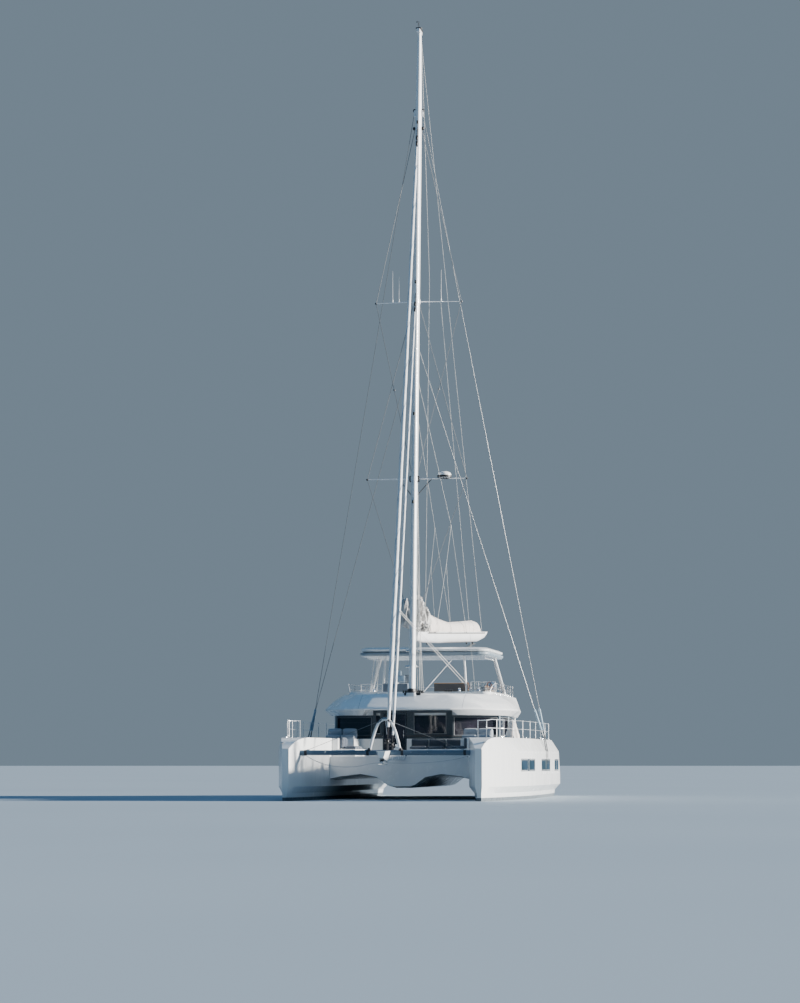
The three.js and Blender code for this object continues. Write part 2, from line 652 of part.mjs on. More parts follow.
// Columns: x and aft of the underside edge, of the tip, of the top edge.
const ROOF_ROWS = [
  [1500, 6150, 1600, 5850, 1300, 6700],
  [2600, 6800, 2800, 6600, 2150, 7300],
  [3350, 8200, 3620, 8250, 2900, 8600],
  [3420, 9900, 3720, 9900, 3050, 10000],
  [3220, 12600, 3420, 12600, 3030, 12600],
  [3060, 14200, 3200, 14250, 3000, 14200],
  [2900, 14650, 2980, 14800, 2800, 14650],
];
const roofRing = (column, z) => {
  const port = ROOF_ROWS.map((row) => at(row[column], row[column + 1], z));
  const starboard = [...ROOF_ROWS].reverse().map((row) => at(-row[column], row[column + 1], z));
  return [...port, ...starboard];
};
const roofForm = loft([roofRing(0, ROOF_Z), roofRing(2, ROOF_TIP_Z), roofRing(4, ROOF_TOP_Z)]);
const browCut = prism('y', [
  [BROW_X + 260, ROOF_Z - 50], [BROW_X + 180, ROOF_Z], [BROW_X, BROW_Z], [-BROW_X, BROW_Z],
  [-BROW_X - 180, ROOF_Z], [-BROW_X - 260, ROOF_Z - 50],
], 5000, CABIN_FRONT + WALL + 40);
const COAMING = { half: 2780, front: 8400, back: 14500, radius: 340, slope: 40, top: 4040 };
const coaming = (grow) => stack([
  [COAMING.half + grow, 0, ROOF_TOP_Z - 30],
  [COAMING.half - COAMING.slope + grow, COAMING.slope, COAMING.top + grow],
].map(([half, inwards, z]) => [
  roundedOutline(half, COAMING.front + inwards - grow, COAMING.back - inwards + grow, COAMING.radius), z,
]));
const flyWell = stack([
  [roundedOutline(2550, 8650, 14350, 250), FLY_SOLE_Z],
  [roundedOutline(2650, 8550, 14350, 250), COAMING.top + 20],
]);
const flyExit = block(-900, 900, 14000, 15000, FLY_SOLE_Z, COAMING.top + 100);
const STAIR = { x0: -2370, x1: -1750, front: 12950, back: 14450 };
const stairway = block(
  STAIR.x0 - 30, STAIR.x1 + 30, STAIR.front, STAIR.back, ROOF_Z - 100, ROOF_TOP_Z + 10,
);
const mastStep = stack([
  [roundedOutline(250, MAST_FOOT.aft - 340, MAST_FOOT.aft + 340, 130), ROOF_TOP_Z - 300],
  [roundedOutline(200, MAST_FOOT.aft - 275, MAST_FOOT.aft + 285, 110), MAST_FOOT.z - GAP],
]);
const ROOF_POST = { x: 2950, aft: 14250, r: 45 };
const roofPosts = SIDES.map(([, side]) => rod(
  at(side * ROOF_POST.x, ROOF_POST.aft, DECK_Z + GAP), at(side * ROOF_POST.x, ROOF_POST.aft, ROOF_Z + 20),
  ROOF_POST.r, 10,
));
add('flybridge_roof', join([
  cut(join([roofForm, coaming(0)]), [browCut, flyWell, flyExit, stairway]), mastStep, ...roofPosts,
]), 'gelcoat');

const STAIR_STEPS = 8;
const stairRise = (FLY_SOLE_Z - SOLE_Z) / STAIR_STEPS;
const stairRun = (STAIR.back - STAIR.front - 60) / STAIR_STEPS;
const stairProfile = Array.from({ length: STAIR_STEPS }, (_, i) => {
  const from = STAIR.back - 30 - i * stairRun;
  const z = SOLE_Z + GAP + (i + 0.7) * stairRise;
  return [[from, z], [from - stairRun, z]];
}).flat();
add('flybridge_stairs', prism('x', [
  [STAIR.back - 30, SOLE_Z + GAP], ...stairProfile,
  [STAIR.front + 30, stairProfile[stairProfile.length - 1][1] - 300],
  [STAIR.back - 330, SOLE_Z + GAP],
], STAIR.x0, STAIR.x1), 'gelcoat');

// Flybridge furniture and helm

const FLY_SEAT = {
  x0: 350, x1: 2350, front: 9950, back: 13200, depth: 700, top: 3920, backTop: 4430, sideTop: 4310,
};
const flyFoot = FLY_SOLE_Z + GAP;
add('flybridge_seating', blocks([
  [FLY_SEAT.x0, FLY_SEAT.x1, FLY_SEAT.front, FLY_SEAT.front + FLY_SEAT.depth, flyFoot, FLY_SEAT.top],
  [FLY_SEAT.x0, FLY_SEAT.x1, FLY_SEAT.front, FLY_SEAT.front + 150, flyFoot, FLY_SEAT.backTop],
  [FLY_SEAT.x1 - FLY_SEAT.depth, FLY_SEAT.x1, FLY_SEAT.front, FLY_SEAT.back, flyFoot, FLY_SEAT.top],
  [FLY_SEAT.x1 - 150, FLY_SEAT.x1, FLY_SEAT.front, FLY_SEAT.back, flyFoot, FLY_SEAT.sideTop],
  [FLY_SEAT.x0, FLY_SEAT.x1, FLY_SEAT.back - FLY_SEAT.depth, FLY_SEAT.back, flyFoot, FLY_SEAT.top],
]), 'cushion');
const FLY_TABLE = { x: 1000, aft: 11500, half: 450, depth: 400, top: 4210, thick: 40 };
add('flybridge_table', join([
  rod(
    at(FLY_TABLE.x, FLY_TABLE.aft, flyFoot),
    at(FLY_TABLE.x, FLY_TABLE.aft, FLY_TABLE.top - FLY_TABLE.thick + 10), 60, 10,
  ),
  block(
    FLY_TABLE.x - FLY_TABLE.half, FLY_TABLE.x + FLY_TABLE.half,
    FLY_TABLE.aft - FLY_TABLE.depth, FLY_TABLE.aft + FLY_TABLE.depth,
    FLY_TABLE.top - FLY_TABLE.thick, FLY_TABLE.top,
  ),
]), 'wood');

const HELM = { x: -1000, half: 480, front: 8950, back: 9330, shelf: 4050, top: 4400 };
add('helm_console', prism('x', [
  [HELM.front, flyFoot], [HELM.back, flyFoot], [HELM.back, HELM.shelf],
  [HELM.front + 250, HELM.top], [HELM.front, HELM.top - 40],
], HELM.x - HELM.half, HELM.x + HELM.half), 'gelcoat');

const WHEEL = { x: HELM.x, aft: 9450, z: 3990, r: 380, rim: 16, spokes: 5, spokeR: 9, hub: 45 };
const wheelRim = new THREE.TorusGeometry(WHEEL.r, WHEEL.rim, 6, 28);
wheelRim.rotateX(Math.PI / 2);
wheelRim.translate(WHEEL.x, aft(WHEEL.aft), WHEEL.z);
const spokes = Array.from({ length: WHEEL.spokes }, (_, i) => {
  const angle = Math.PI / 2 + (2 * Math.PI * i) / WHEEL.spokes;
  const end = at(WHEEL.x + WHEEL.r * Math.cos(angle), WHEEL.aft, WHEEL.z + WHEEL.r * Math.sin(angle));
  return rod(at(WHEEL.x, WHEEL.aft, WHEEL.z), end, WHEEL.spokeR, 6);
});
add('steering_wheel', join([
  solid(wheelRim), ...spokes,
  rod(at(WHEEL.x, HELM.back + GAP, WHEEL.z), at(WHEEL.x, WHEEL.aft + 40, WHEEL.z), WHEEL.hub, 12),
]), 'steel');

const [helmSeatX0, helmSeatX1] = [HELM.x - 500, HELM.x + 500];
add('helm_seat', blocks([
  [helmSeatX0, helmSeatX1, 10200, 10650, flyFoot, 4050],
  [helmSeatX0, helmSeatX1, 10150, 10700, 4040, 4160],
  [helmSeatX0, helmSeatX1, 10600, 10720, 4100, 4800],
]), 'cushion');

// Hardtop and its posts

const HARDTOP = { half: 2560, front: 9500, back: 14300 };
const hardtopLayers = [
  [60, 0, 500], [0, 70, 520], [0, 130, 520], [130, 150, 460], [40, 190, 500], [20, 260, 500], [160, 330, 460],
];
const hardtopShell = stack(hardtopLayers.map(([inwards, up, radius]) => [
  roundedOutline(HARDTOP.half - inwards, HARDTOP.front + inwards, HARDTOP.back - inwards, radius),
  HARDTOP_Z + up,
]));

const FRONT_POST = { footX: 1670, headX: 1540, aft: 9850, r: 45 };
const AFT_POST = { footX: 2740, headX: 2290, aft: 13100, r: 70 };
const roofSeat = loft([roofRing(0, ROOF_Z), roofRing(2, ROOF_TIP_Z), roofRing(4, ROOF_TOP_Z + GAP)]);
const flySole = block(
  -3000, 3000, FRONT_POST.aft - 200, FRONT_POST.aft + 200, FLY_SOLE_Z - 200, flyFoot,
);
const hardtopPosts = SIDES.flatMap(([, side]) => [
  rod(
    at(side * FRONT_POST.footX, FRONT_POST.aft, FLY_SOLE_Z - 20),
    at(side * FRONT_POST.headX, FRONT_POST.aft, HARDTOP_Z + 20), FRONT_POST.r, 10,
  ).subtract(flySole),
  rod(
    at(side * AFT_POST.footX, AFT_POST.aft, ROOF_TOP_Z - 60),
    at(side * AFT_POST.headX, AFT_POST.aft, HARDTOP_Z + 20), AFT_POST.r, 10,
  ).subtract(roofSeat).subtract(coaming(GAP)),
]);
add('hardtop', join([hardtopShell, ...hardtopPosts]), 'gelcoat');

// Mast, spreaders and standing rigging

function mastRing(z, share = 1, grow = 0) {
  const points = 16;
  return Array.from({ length: points }, (_, i) => {
    const angle = (2 * Math.PI * i) / points;
    const x = (MAST_HALF.x * share + grow) * Math.cos(angle);
    const y = (MAST_HALF.y * share + grow) * Math.sin(angle);
    return at(x, mastY(z) + y, z);
  });
}

const BRACKET = { r: 32, half: 70, collar: 8, plate: 25 };
const gooseneckBracket = (z, way) => {
  const y = GOOSENECK.aft;
  return join([
    rod(at(0, y, z), at(0, y, z + way * BRACKET.plate), BRACKET.r + BRACKET.collar, 12),
    block(-BRACKET.r, BRACKET.r, mastY(z) + MAST_HALF.y - 60, y, z, z + way * BRACKET.plate),
  ]);
};
const mastTube = loft([mastRing(MAST_FOOT.z), mastRing(HOUNDS_Z), mastRing(MAST_HEAD.z, 0.62)]);
const masthead = block(-60, 60, mastY(29700) - 350, mastY(29700) + 300, 29740, MAST_HEAD.z + 60);
const houndsBlock = (grow) => block(
  -180 - grow, 180 + grow, mastY(HOUNDS_Z) - 60 - grow, mastY(HOUNDS_Z) + 60 + grow,
  HOUNDS_Z - 120 - grow, HOUNDS_Z + 120 + grow,
);
const mastSeat = join([loft([mastRing(MAST_FOOT.z, 1, GAP), mastRing(HOUNDS_Z, 1, GAP)]), houndsBlock(GAP)]);
add('mast', join([
  mastTube, masthead, houndsBlock(0),
  gooseneckBracket(GOOSENECK.z + BRACKET.half + GAP, 1),
  gooseneckBracket(GOOSENECK.z - BRACKET.half - GAP, -1),
]), 'paintedSpar');

const COLLAR = 25;
// Columns: node, height of the root, half-span, sweep aft, half-depth of the arm at the root.
const SPREADERS = [
  ['lower_spreaders', 12100, 1930, 600, 70],
  ['upper_spreaders', 19000, 1670, 540, 60],
];
for (const [name, z, span, sweep, half] of SPREADERS) {
  const collar = loft([mastRing(z - 80, 1, COLLAR), mastRing(z + 80, 1, COLLAR)]);
  const arms = SIDES.map(([, side]) => loft([
    armRing(0, mastY(z), z, half), armRing(side * span, mastY(z) + sweep, z + 60, half * 0.55),
  ]));
  const seat = loft([mastRing(z - 200, 1, GAP), mastRing(z + 200, 1, GAP)]);
  add(name, cut(join([collar, ...arms]), [seat]), 'paintedSpar');
}

function armRing(x, middle, z, half) {
  return [[-1, 0], [-0.4, 1], [0.5, 0.9], [1, 0], [0.5, -0.9], [-0.4, -1]].map(([y, up]) => (
    at(x, middle + y * half, z + up * half * 0.32)
  ));
}

const DOME = { x: 1100, r: 270, h: 250 };
const domeSpot = { aft: mastY(12100) + 342, z: 12100 + 60 * 0.57 + 22 };
const domeProfile = [[0, 0], [0.7, 0], [0.95, 0.18], [1, 0.45], [0.85, 0.8], [0.5, 0.97], [0, 1]];
const dome = new THREE.LatheGeometry(
  domeProfile.map(([r, h]) => new THREE.Vector2(r * DOME.r, h * DOME.h)), 20,
);
dome.rotateX(Math.PI / 2);
dome.translate(DOME.x, aft(domeSpot.aft), domeSpot.z);
add('radar_dome', solid(dome), 'gelcoat');

// Columns: node, height on the mast, distance of the chainplate aft of the stem.
const SHROUDS = [['cap_shroud', HOUNDS_Z - 40, 10450], ['lower_shroud', LOWER_HOUNDS_Z, 9950]];
for (const [name, height, station] of SHROUDS) {
  for (const [sideName, side] of SIDES) {
    const edge = HULL_X + hullLines.evaluate(station)[0];
    const footX = edge - CHAINPLATE.lean;
    const foot = at(side * footX, station, CHAINPLATE.z);
    const head = at(side * (name === 'cap_shroud' ? 180 : MAST_HALF.x), mastY(height) + 20, height);
    const way = new THREE.Vector3().subVectors(head, foot).normalize();
    const strap = prism('y', [
      [edge - CHAINPLATE.let, CHAINPLATE.bottom], [edge + CHAINPLATE.thick, CHAINPLATE.bottom],
      [edge + CHAINPLATE.thick, KNUCKLE_Z + 20], [footX + 12, CHAINPLATE.top],
      [footX - 12, CHAINPLATE.top], [edge - CHAINPLATE.let, KNUCKLE_Z + 20],
    ].map(([x, z]) => [side * x, z]), station - CHAINPLATE.half, station + CHAINPLATE.half);
    const wire = join([
      rod(foot, head, WIRE_R, 6),
      rod(foot, foot.clone().addScaledVector(way, 520), 24, 8),
      strap,
    ]);
    add(`${name}_${sideName}`, cut(wire, [mastSeat, hullForm(side, -GAP)]), 'steel');
  }
}

// Furled headsails on their stays

function furled(tack, headZ, radius) {
  const foot = at(0, tack.aft, tack.z);
  const head = at(0, mastY(headZ) - MAST_HALF.y + 30, headZ);
  const way = new THREE.Vector3().subVectors(head, foot);
  const along = (share) => foot.clone().addScaledVector(way, share);
  return cut(join([
    rod(along(0.025), along(0.962), radius, 10, radius * 0.62),
    rod(along(0), along(1), 11, 6),
    rod(along(0.004), along(0.0125), radius * 1.25, 12),
    block(-22, 22, tack.aft - 55, tack.aft + 55, LONGERON.top + GAP, tack.z + 40),
  ]), [mastSeat]);
}
add('genoa_furled', furled(GENOA_TACK, GENOA_HEAD_Z, 92), 'canvas');
add('staysail_furled', furled(STAYSAIL_TACK, STAYSAIL_HEAD_Z, 60), 'canvas');

// Boom with the stowed mainsail, swung a little to port

function boomPoint(along, sideways, z) {
  const x = Math.sin(BOOM_SWING) * along + Math.cos(BOOM_SWING) * sideways;
  const y = Math.cos(BOOM_SWING) * along - Math.sin(BOOM_SWING) * sideways;
  return at(x, GOOSENECK.aft + y, z);
}
const boomTopAt = (along) => BOOM_TOP + (BOOM_RISE * along) / BOOM_LENGTH;
// Columns: along the boom, half-width at the top, depth.
const BOOM_ROWS = [
  [180, 90, 320], [700, 210, 400], [2500, 255, 430], [5500, 250, 410],
  [6900, 235, 390], [7600, 210, 270], [BOOM_LENGTH, 170, 130],
];
// Half of the section, as shares of the half-width and the depth: lip, side, rounded bottom.
const BOOM_SECTION = [[1.1, 0], [1.1, 0.07], [1, 0.1], [0.95, 0.5], [0.7, 0.85], [0.3, 1]];
const boomRing = ([along, half, depth]) => {
  const mirrored = [...BOOM_SECTION].reverse().map(([u, down]) => [-u, down]);
  return [...BOOM_SECTION, ...mirrored].map(
    ([u, down]) => boomPoint(along, half * u, boomTopAt(along) - depth * down),
  );
};
const tongue = rod(
  at(0, GOOSENECK.aft, GOOSENECK.z - BRACKET.half), at(0, GOOSENECK.aft, GOOSENECK.z + BRACKET.half),
  BRACKET.r, 12,
);
const fork = loft([60, -60].map((up) => [[20, 22], [240, 22], [240, -22], [20, -22]].map(
  ([along, sideways]) => boomPoint(along, sideways, GOOSENECK.z + up),
)));
add('boom', join([tongue, fork, loft(BOOM_ROWS.map(boomRing))]), 'paintedSpar');

// Columns: along the boom, half-width, height of the stack above the boom's top.
const STACK_ROWS = [
  [260, 110, 1300], [620, 180, 1500], [1000, 210, 1050], [1700, 225, 720], [3700, 225, 430],
  [5600, 215, 470], [6700, 200, 490], [7250, 160, 360],
];
const stackRing = ([along, half, height]) => {
  const low = boomTopAt(along) - 6;
  return [[1, 0], [1.05, 0.45], [0.6, 0.86], [0.12, 1], [-0.12, 1], [-0.6, 0.86], [-1.05, 0.45], [-1, 0]].map(
    ([u, up]) => boomPoint(along, half * u, low + height * up),
  );
};
const boomHood = loft(BOOM_ROWS.map(([along, half, depth]) => boomRing([along, half + 2, depth]).map(
  (point) => point.clone().setZ(point.z + 3 * GAP),
)));
add('sail_stack', cut(loft(STACK_ROWS.map(stackRing)), [boomHood]), 'canvas');

// Bow structure

const beam = rod(at(-BEAM.half, BEAM.aft, BEAM.z), at(BEAM.half, BEAM.aft, BEAM.z), BEAM.r, 16);
const ARCH = { foot: 560, top: 1180, r: 50 };
const archLine = [
  [ARCH.foot, 0], [ARCH.foot * 0.86, 0.3], [ARCH.foot * 0.62, 0.68], [ARCH.foot * 0.36, 0.92], [0, 1],
];
const archPoints = [
  ...archLine.map(([x, up]) => at(x, BEAM.aft, BEAM.z + ARCH.top * up)),
  ...archLine.slice(0, -1).reverse().map(([x, up]) => at(-x, BEAM.aft, BEAM.z + ARCH.top * up)),
];
const archStays = SIDES.map(([, side]) => rod(
  at(side * 120, BEAM.aft, BEAM.z + ARCH.top - 40), at(side * 2800, BEAM.aft, BEAM.z + BEAM.r), WIRE_R, 6,
));
const beamSeat = rod(at(-BEAM.half, BEAM.aft, BEAM.z), at(BEAM.half, BEAM.aft, BEAM.z), BEAM.r + GAP, 16);
add('crossbeam', cut(
  join([beam, tube(archPoints, ARCH.r, { steps: 28 }), ...archStays]),
  SIDES.map(([, side]) => hullForm(side, GAP)),
), 'paintedSpar');

const longeronBody = join([
  block(-110, 110, 3300, 3700, LONGERON.top - 20, LONGERON.top + 120),
  rod(at(0, 3500, LONGERON.top + 100), at(0, 3500, LONGERON.top + 260), 85, 12),
  block(-LONGERON.half, LONGERON.half, 500, LONGERON.back - GAP, LONGERON.bottom, LONGERON.top),
  loft([
    [[0.9, 1740], [0.5, 1560], [-0.5, 1560], [-0.9, 1740]].map(([u, z]) => at(u * 120, -120, z)),
    [[1, 1760], [0.5, 1400], [-0.5, 1400], [-1, 1760]].map(([u, z]) => at(u * 260, 350, z)),
    [[1, 1750], [0.8, 1420], [-0.8, 1420], [-1, 1750]].map(([u, z]) => at(u * LONGERON.half, 900, z)),
  ]),
]);
const stemLimit = block(-2000, 2000, -1000, 0, 0, 3000);
const rollerSlot = block(-60, 60, -500, 380, 1300, 1480);
add('longeron', cut(longeronBody, [beamSeat, stemLimit, rollerSlot]), 'gelcoat');

for (const [name, side] of SIDES) {
  const net = block(
    side * (LONGERON.half + GAP), side * 3200, BEAM.aft + BEAM.r + 60, BRIDGE.front - GAP, NET_Z, NET_Z + 14,
  );
  add(`trampoline_${name}`, cut(net, [hullForm(side, GAP)]), 'net');
}

// Anchor in its roller under the nose, with the plate that joins the two legs of the bridle
const BRIDLE_PLATE = { half: 55, front: 90, back: 170, z: 1345 };
const bridlePlate = (grow) => block(
  -BRIDLE_PLATE.half - grow, BRIDLE_PLATE.half + grow, BRIDLE_PLATE.front - grow, BRIDLE_PLATE.back + grow,
  BRIDLE_PLATE.z - 40, BRIDLE_PLATE.z + 40,
);
const ANCHOR = {
  z: 1330, fluke: [[0, 20], [170, 300], [120, 420], [0, 360], [-120, 420], [-170, 300]],
};
add('anchor', join([
  block(-22, 22, 60, 1100, ANCHOR.z + 20, ANCHOR.z + 65),
  prism('z', ANCHOR.fluke, ANCHOR.z - 60, ANCHOR.z - 30),
  block(-22, 22, 200, 330, ANCHOR.z - 50, ANCHOR.z + 40),
  block(-40, 40, 1050, 1130, ANCHOR.z + 10, LONGERON.bottom - GAP),
  bridlePlate(0),
]), 'steel');

// Cushions and soft goods on deck

const CUSHION = { thick: 110, back: 160, setBack: 20 };
for (const [name, side] of SIDES) {
  const z = BENCH.z + GAP;
  const [edge, front, narrow] = [WELL.half - GAP, WELL.front + 250, WELL.narrow - GAP];
  const [aftEdge, back] = [WELL.aftHalf - GAP, WELL.back - GAP];
  const seat = WELL.half - BENCH.depth + CUSHION.setBack;
  const rows = [
    [side * seat, side * edge, front, narrow, z, z + CUSHION.thick],
    [side * seat, side * aftEdge, narrow - 10, back, z, z + CUSHION.thick],
    [side * (edge - CUSHION.back), side * edge, front, narrow, z, DECK_Z + 60],
  ];
  if (side > 0) {
    const aftSeat = WELL.back - BENCH.depth + CUSHION.setBack;
    rows.push(
      [DOOR.x1 + 180, aftEdge, aftSeat, back, z, z + CUSHION.thick],
      [DOOR.x1 + 180, aftEdge, back - CUSHION.back, back, z, DECK_Z + 20],
    );
  }
  add(`forward_cushions_${name}`, blocks(rows), 'cushion');
}

const SUNBED = { inner: WELL.aftHalf + GAP, outer: 3130, front: WELL.narrow + 50, back: 6500, top: 2640 };
for (const [name, side] of SIDES) {
  add(`sunbed_${name}`, prism('x', [
    [SUNBED.front, DECK_Z + GAP], [SUNBED.back, DECK_Z + GAP], [SUNBED.back, SUNBED.top],
    [SUNBED.back - 180, SUNBED.top], [SUNBED.back - 300, DECK_Z + 150], [SUNBED.front, DECK_Z + 130],
  ], side * SUNBED.inner, side * SUNBED.outer), 'cushion');
}

const COVER = { x: 3920, aft: 5750, r: 270, h: 690 };
const coverProfile = [[0, 0], [1, 0], [0.98, 0.12], [0.62, 0.62], [0.5, 0.85], [0.3, 0.97], [0, 1]];
const cover = new THREE.LatheGeometry(
  coverProfile.map(([r, h]) => new THREE.Vector2(r * COVER.r, h * COVER.h)), 16,
);
cover.rotateX(Math.PI / 2);
cover.translate(COVER.x, aft(COVER.aft), DECK_Z + GAP);
add('covered_winch', solid(cover), 'canvas');

// Cockpit cushions and table aft

const transomSeat = [-TRANSOM_BENCH.half, TRANSOM_BENCH.half];
add('cockpit_cushions', blocks([
  [...transomSeat, TRANSOM_BENCH.front, COCKPIT.back - GAP, BENCH.z + GAP, BENCH.z + CUSHION.thick],
  [...transomSeat, COCKPIT.back - CUSHION.back, COCKPIT.back - GAP, BENCH.z + GAP, DECK_Z + 60],
]), 'cushion');
const TABLE = { x: 250, aft: 13925, half: 850, depth: 425, top: 2180, thick: 40 };
add('cockpit_table', join([
  rod(at(TABLE.x, TABLE.aft, SOLE_Z + GAP), at(TABLE.x, TABLE.aft, TABLE.top - TABLE.thick + 10), 70, 10),
  block(
    TABLE.x - TABLE.half, TABLE.x + TABLE.half, TABLE.aft - TABLE.depth, TABLE.aft + TABLE.depth,
    TABLE.top - TABLE.thick, TABLE.top,
  ),
]), 'wood');

// Guard rails with their pulpits

const RAIL_STATIONS = [3100, 4500, 6100, 7700, 9200, 10900, 12500, 14100];
const railX = (station) => HULL_X + hullLines.evaluate(station)[0] - BEVEL - 70;
for (const [name, side] of SIDES) {
  const top = DECK_Z + RAIL_H;
  const middle = DECK_Z + RAIL_H * 0.52;
  const posts = RAIL_STATIONS.map((station) => {
    const x = side * railX(station);
    return rod(at(x, station, DECK_Z + GAP), at(x, station, top + 10), 13, 6);
  });
  const wires = RAIL_STATIONS.slice(1).flatMap((station, i) => [top, middle].map((z) => rod(
    at(side * railX(RAIL_STATIONS[i]), RAIL_STATIONS[i], z), at(side * railX(station), station, z), 6, 5,
  )));
  const bowX = side * (HULL_X + 60);
  const innerX = side * (HULL_X - 300);
  const start = side * railX(RAIL_STATIONS[0]);
  const pulpit = [
    bent([
      at(start, RAIL_STATIONS[0], top), at(bowX + side * 120, 1500, top),
      at(bowX, 1150, top - 40), at(bowX, 1050, DECK_Z - 20),
    ], 15),
    bent([
      at(start, RAIL_STATIONS[0], middle), at(bowX + side * 120, 1500, middle), at(bowX, 1090, middle),
    ], 13),
    rod(at(bowX + side * 230, 2100, DECK_Z + GAP), at(bowX + side * 230, 2100, top), 13, 6),
    bent([at(bowX, 1150, top - 40), at(innerX, 1500, top - 40), at(innerX, 1500, DECK_Z + GAP)], 15),
  ];
  add(`guardrail_${name}`, cut(join([...posts, ...wires, ...pulpit]), [hullForm(side, 0, GAP)]), 'steel');
}

// Flybridge rail round the sides and the aft edge
const FLY_RAIL = { top: 4390, middle: 4170, x: 2860, back: 14380, r: 13 };
const flyRailStations = [9300, 10500, 11700, 12800, 13600, FLY_RAIL.back];
const flyRailPosts = SIDES.flatMap(([, side]) => flyRailStations.map((station) => rod(
  at(side * FLY_RAIL.x, station, ROOF_TOP_Z + GAP), at(side * FLY_RAIL.x, station, FLY_RAIL.top),
  FLY_RAIL.r + 3, 8,
)));
const flyRails = [FLY_RAIL.top - 25, FLY_RAIL.middle].flatMap((z) => [
  ...SIDES.map(([, side]) => rod(
    at(side * FLY_RAIL.x, flyRailStations[0], z), at(side * FLY_RAIL.x, FLY_RAIL.back, z), FLY_RAIL.r, 6,
  )),
  rod(at(FLY_RAIL.x, FLY_RAIL.back, z), at(-FLY_RAIL.x, FLY_RAIL.back, z), FLY_RAIL.r, 6),
]);
add('flybridge_rail', join([...flyRailPosts, ...flyRails]), 'steel');

// Bathing ladder, folded up on the starboard platform

const ladderLegs = [-1, 1].map((way) => rod(
  at(LADDER.x + way * LADDER.half, LADDER.aft, LADDER.z),
  at(LADDER.x + way * LADDER.half, LADDER.aft, LADDER.z + LADDER.length), LADDER.r, 8,
));
const ladderRungs = [0.3, 0.55, 0.8, 0.98].map((share) => rod(
  at(LADDER.x - LADDER.half, LADDER.aft, LADDER.z + LADDER.length * share),
  at(LADDER.x + LADDER.half, LADDER.aft, LADDER.z + LADDER.length * share), LADDER.r - 2, 6,
));
const ladderPin = rod(
  at(LADDER.x - LADDER.half - LADDER.pin, LADDER.aft, LADDER.z),
  at(LADDER.x + LADDER.half + LADDER.pin, LADDER.aft, LADDER.z), LADDER.r + 2, 12,
);
add('bathing_ladder', join([...ladderLegs, ...ladderRungs, ladderPin]), 'steel');

// Mooring bridle hanging slack between the bows and the nose

// Each leg runs from the eye on the inner bow to the plate under the nose; columns: x, aft, z.
const BRIDLE = {
  port: [
    [2970, 870, 1560], [2890, 870, 1559], [2700, 815, 1505], [2290, 650, 1425], [1570, 420, 1350],
    [900, 240, 1328], [400, 145, 1338], [110, 130, 1345], [40, 130, BRIDLE_PLATE.z],
  ],
  starboard: [
    [-2970, 870, 1600], [-2890, 870, 1598], [-2600, 790, 1455], [-2050, 600, 1265], [-1410, 410, 1195],
    [-830, 250, 1228], [-400, 150, 1310], [-110, 130, 1345], [-40, 130, BRIDLE_PLATE.z],
  ],
};
for (const [name, side] of SIDES) {
  const rope = tube(BRIDLE[name].map((point) => at(...point)), BRIDLE_R, { steps: 56 });
  add(`bridle_${name}`, cut(rope, [bridleEye(side, GAP), bridlePlate(GAP)]), 'rope');
}

export default catamaran;
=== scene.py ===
"""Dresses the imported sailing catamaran: finishes, rigging, soft goods and deck gear.

Every length is in metres, +X is port, +Y is aft, +Z is up, and z = 0 is the still waterline.
"""

import json
import math

import bmesh
import bpy
from bpy.props import FloatProperty, FloatVectorProperty, PointerProperty
from mathutils import Matrix, Vector, noise
from mathutils.bvhtree import BVHTree

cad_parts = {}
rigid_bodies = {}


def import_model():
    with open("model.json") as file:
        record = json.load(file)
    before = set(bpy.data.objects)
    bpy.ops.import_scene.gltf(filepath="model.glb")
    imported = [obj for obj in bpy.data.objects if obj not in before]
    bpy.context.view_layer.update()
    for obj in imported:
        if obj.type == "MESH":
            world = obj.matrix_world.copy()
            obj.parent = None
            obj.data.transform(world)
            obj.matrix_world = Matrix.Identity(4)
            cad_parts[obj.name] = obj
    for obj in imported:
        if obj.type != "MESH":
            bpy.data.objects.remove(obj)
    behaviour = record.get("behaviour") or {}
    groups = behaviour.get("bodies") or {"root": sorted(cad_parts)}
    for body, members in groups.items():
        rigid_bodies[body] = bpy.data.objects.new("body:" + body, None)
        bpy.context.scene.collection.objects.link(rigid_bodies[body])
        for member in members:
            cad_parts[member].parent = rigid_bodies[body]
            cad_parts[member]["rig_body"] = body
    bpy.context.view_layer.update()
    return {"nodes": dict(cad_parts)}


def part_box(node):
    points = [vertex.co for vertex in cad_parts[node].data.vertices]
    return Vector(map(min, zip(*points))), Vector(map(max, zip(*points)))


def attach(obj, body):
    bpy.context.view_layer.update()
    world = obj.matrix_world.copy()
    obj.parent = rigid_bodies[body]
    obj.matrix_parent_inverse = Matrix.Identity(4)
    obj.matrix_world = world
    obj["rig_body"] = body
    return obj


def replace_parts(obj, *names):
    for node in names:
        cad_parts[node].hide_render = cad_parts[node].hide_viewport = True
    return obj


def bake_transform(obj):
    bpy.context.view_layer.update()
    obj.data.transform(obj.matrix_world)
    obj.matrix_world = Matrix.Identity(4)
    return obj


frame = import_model()

bl_info = {
    "name": "Sailing catamaran dressing",
    "version": (1, 0, 0),
    "blender": (4, 5, 0),
    "location": "3D View > Sidebar > Catamaran",
    "description": "Builds the finishes, rigging, soft goods and deck gear of a cruising catamaran",
    "category": "Object",
}

# Main places, repeated from the part's own named dimensions

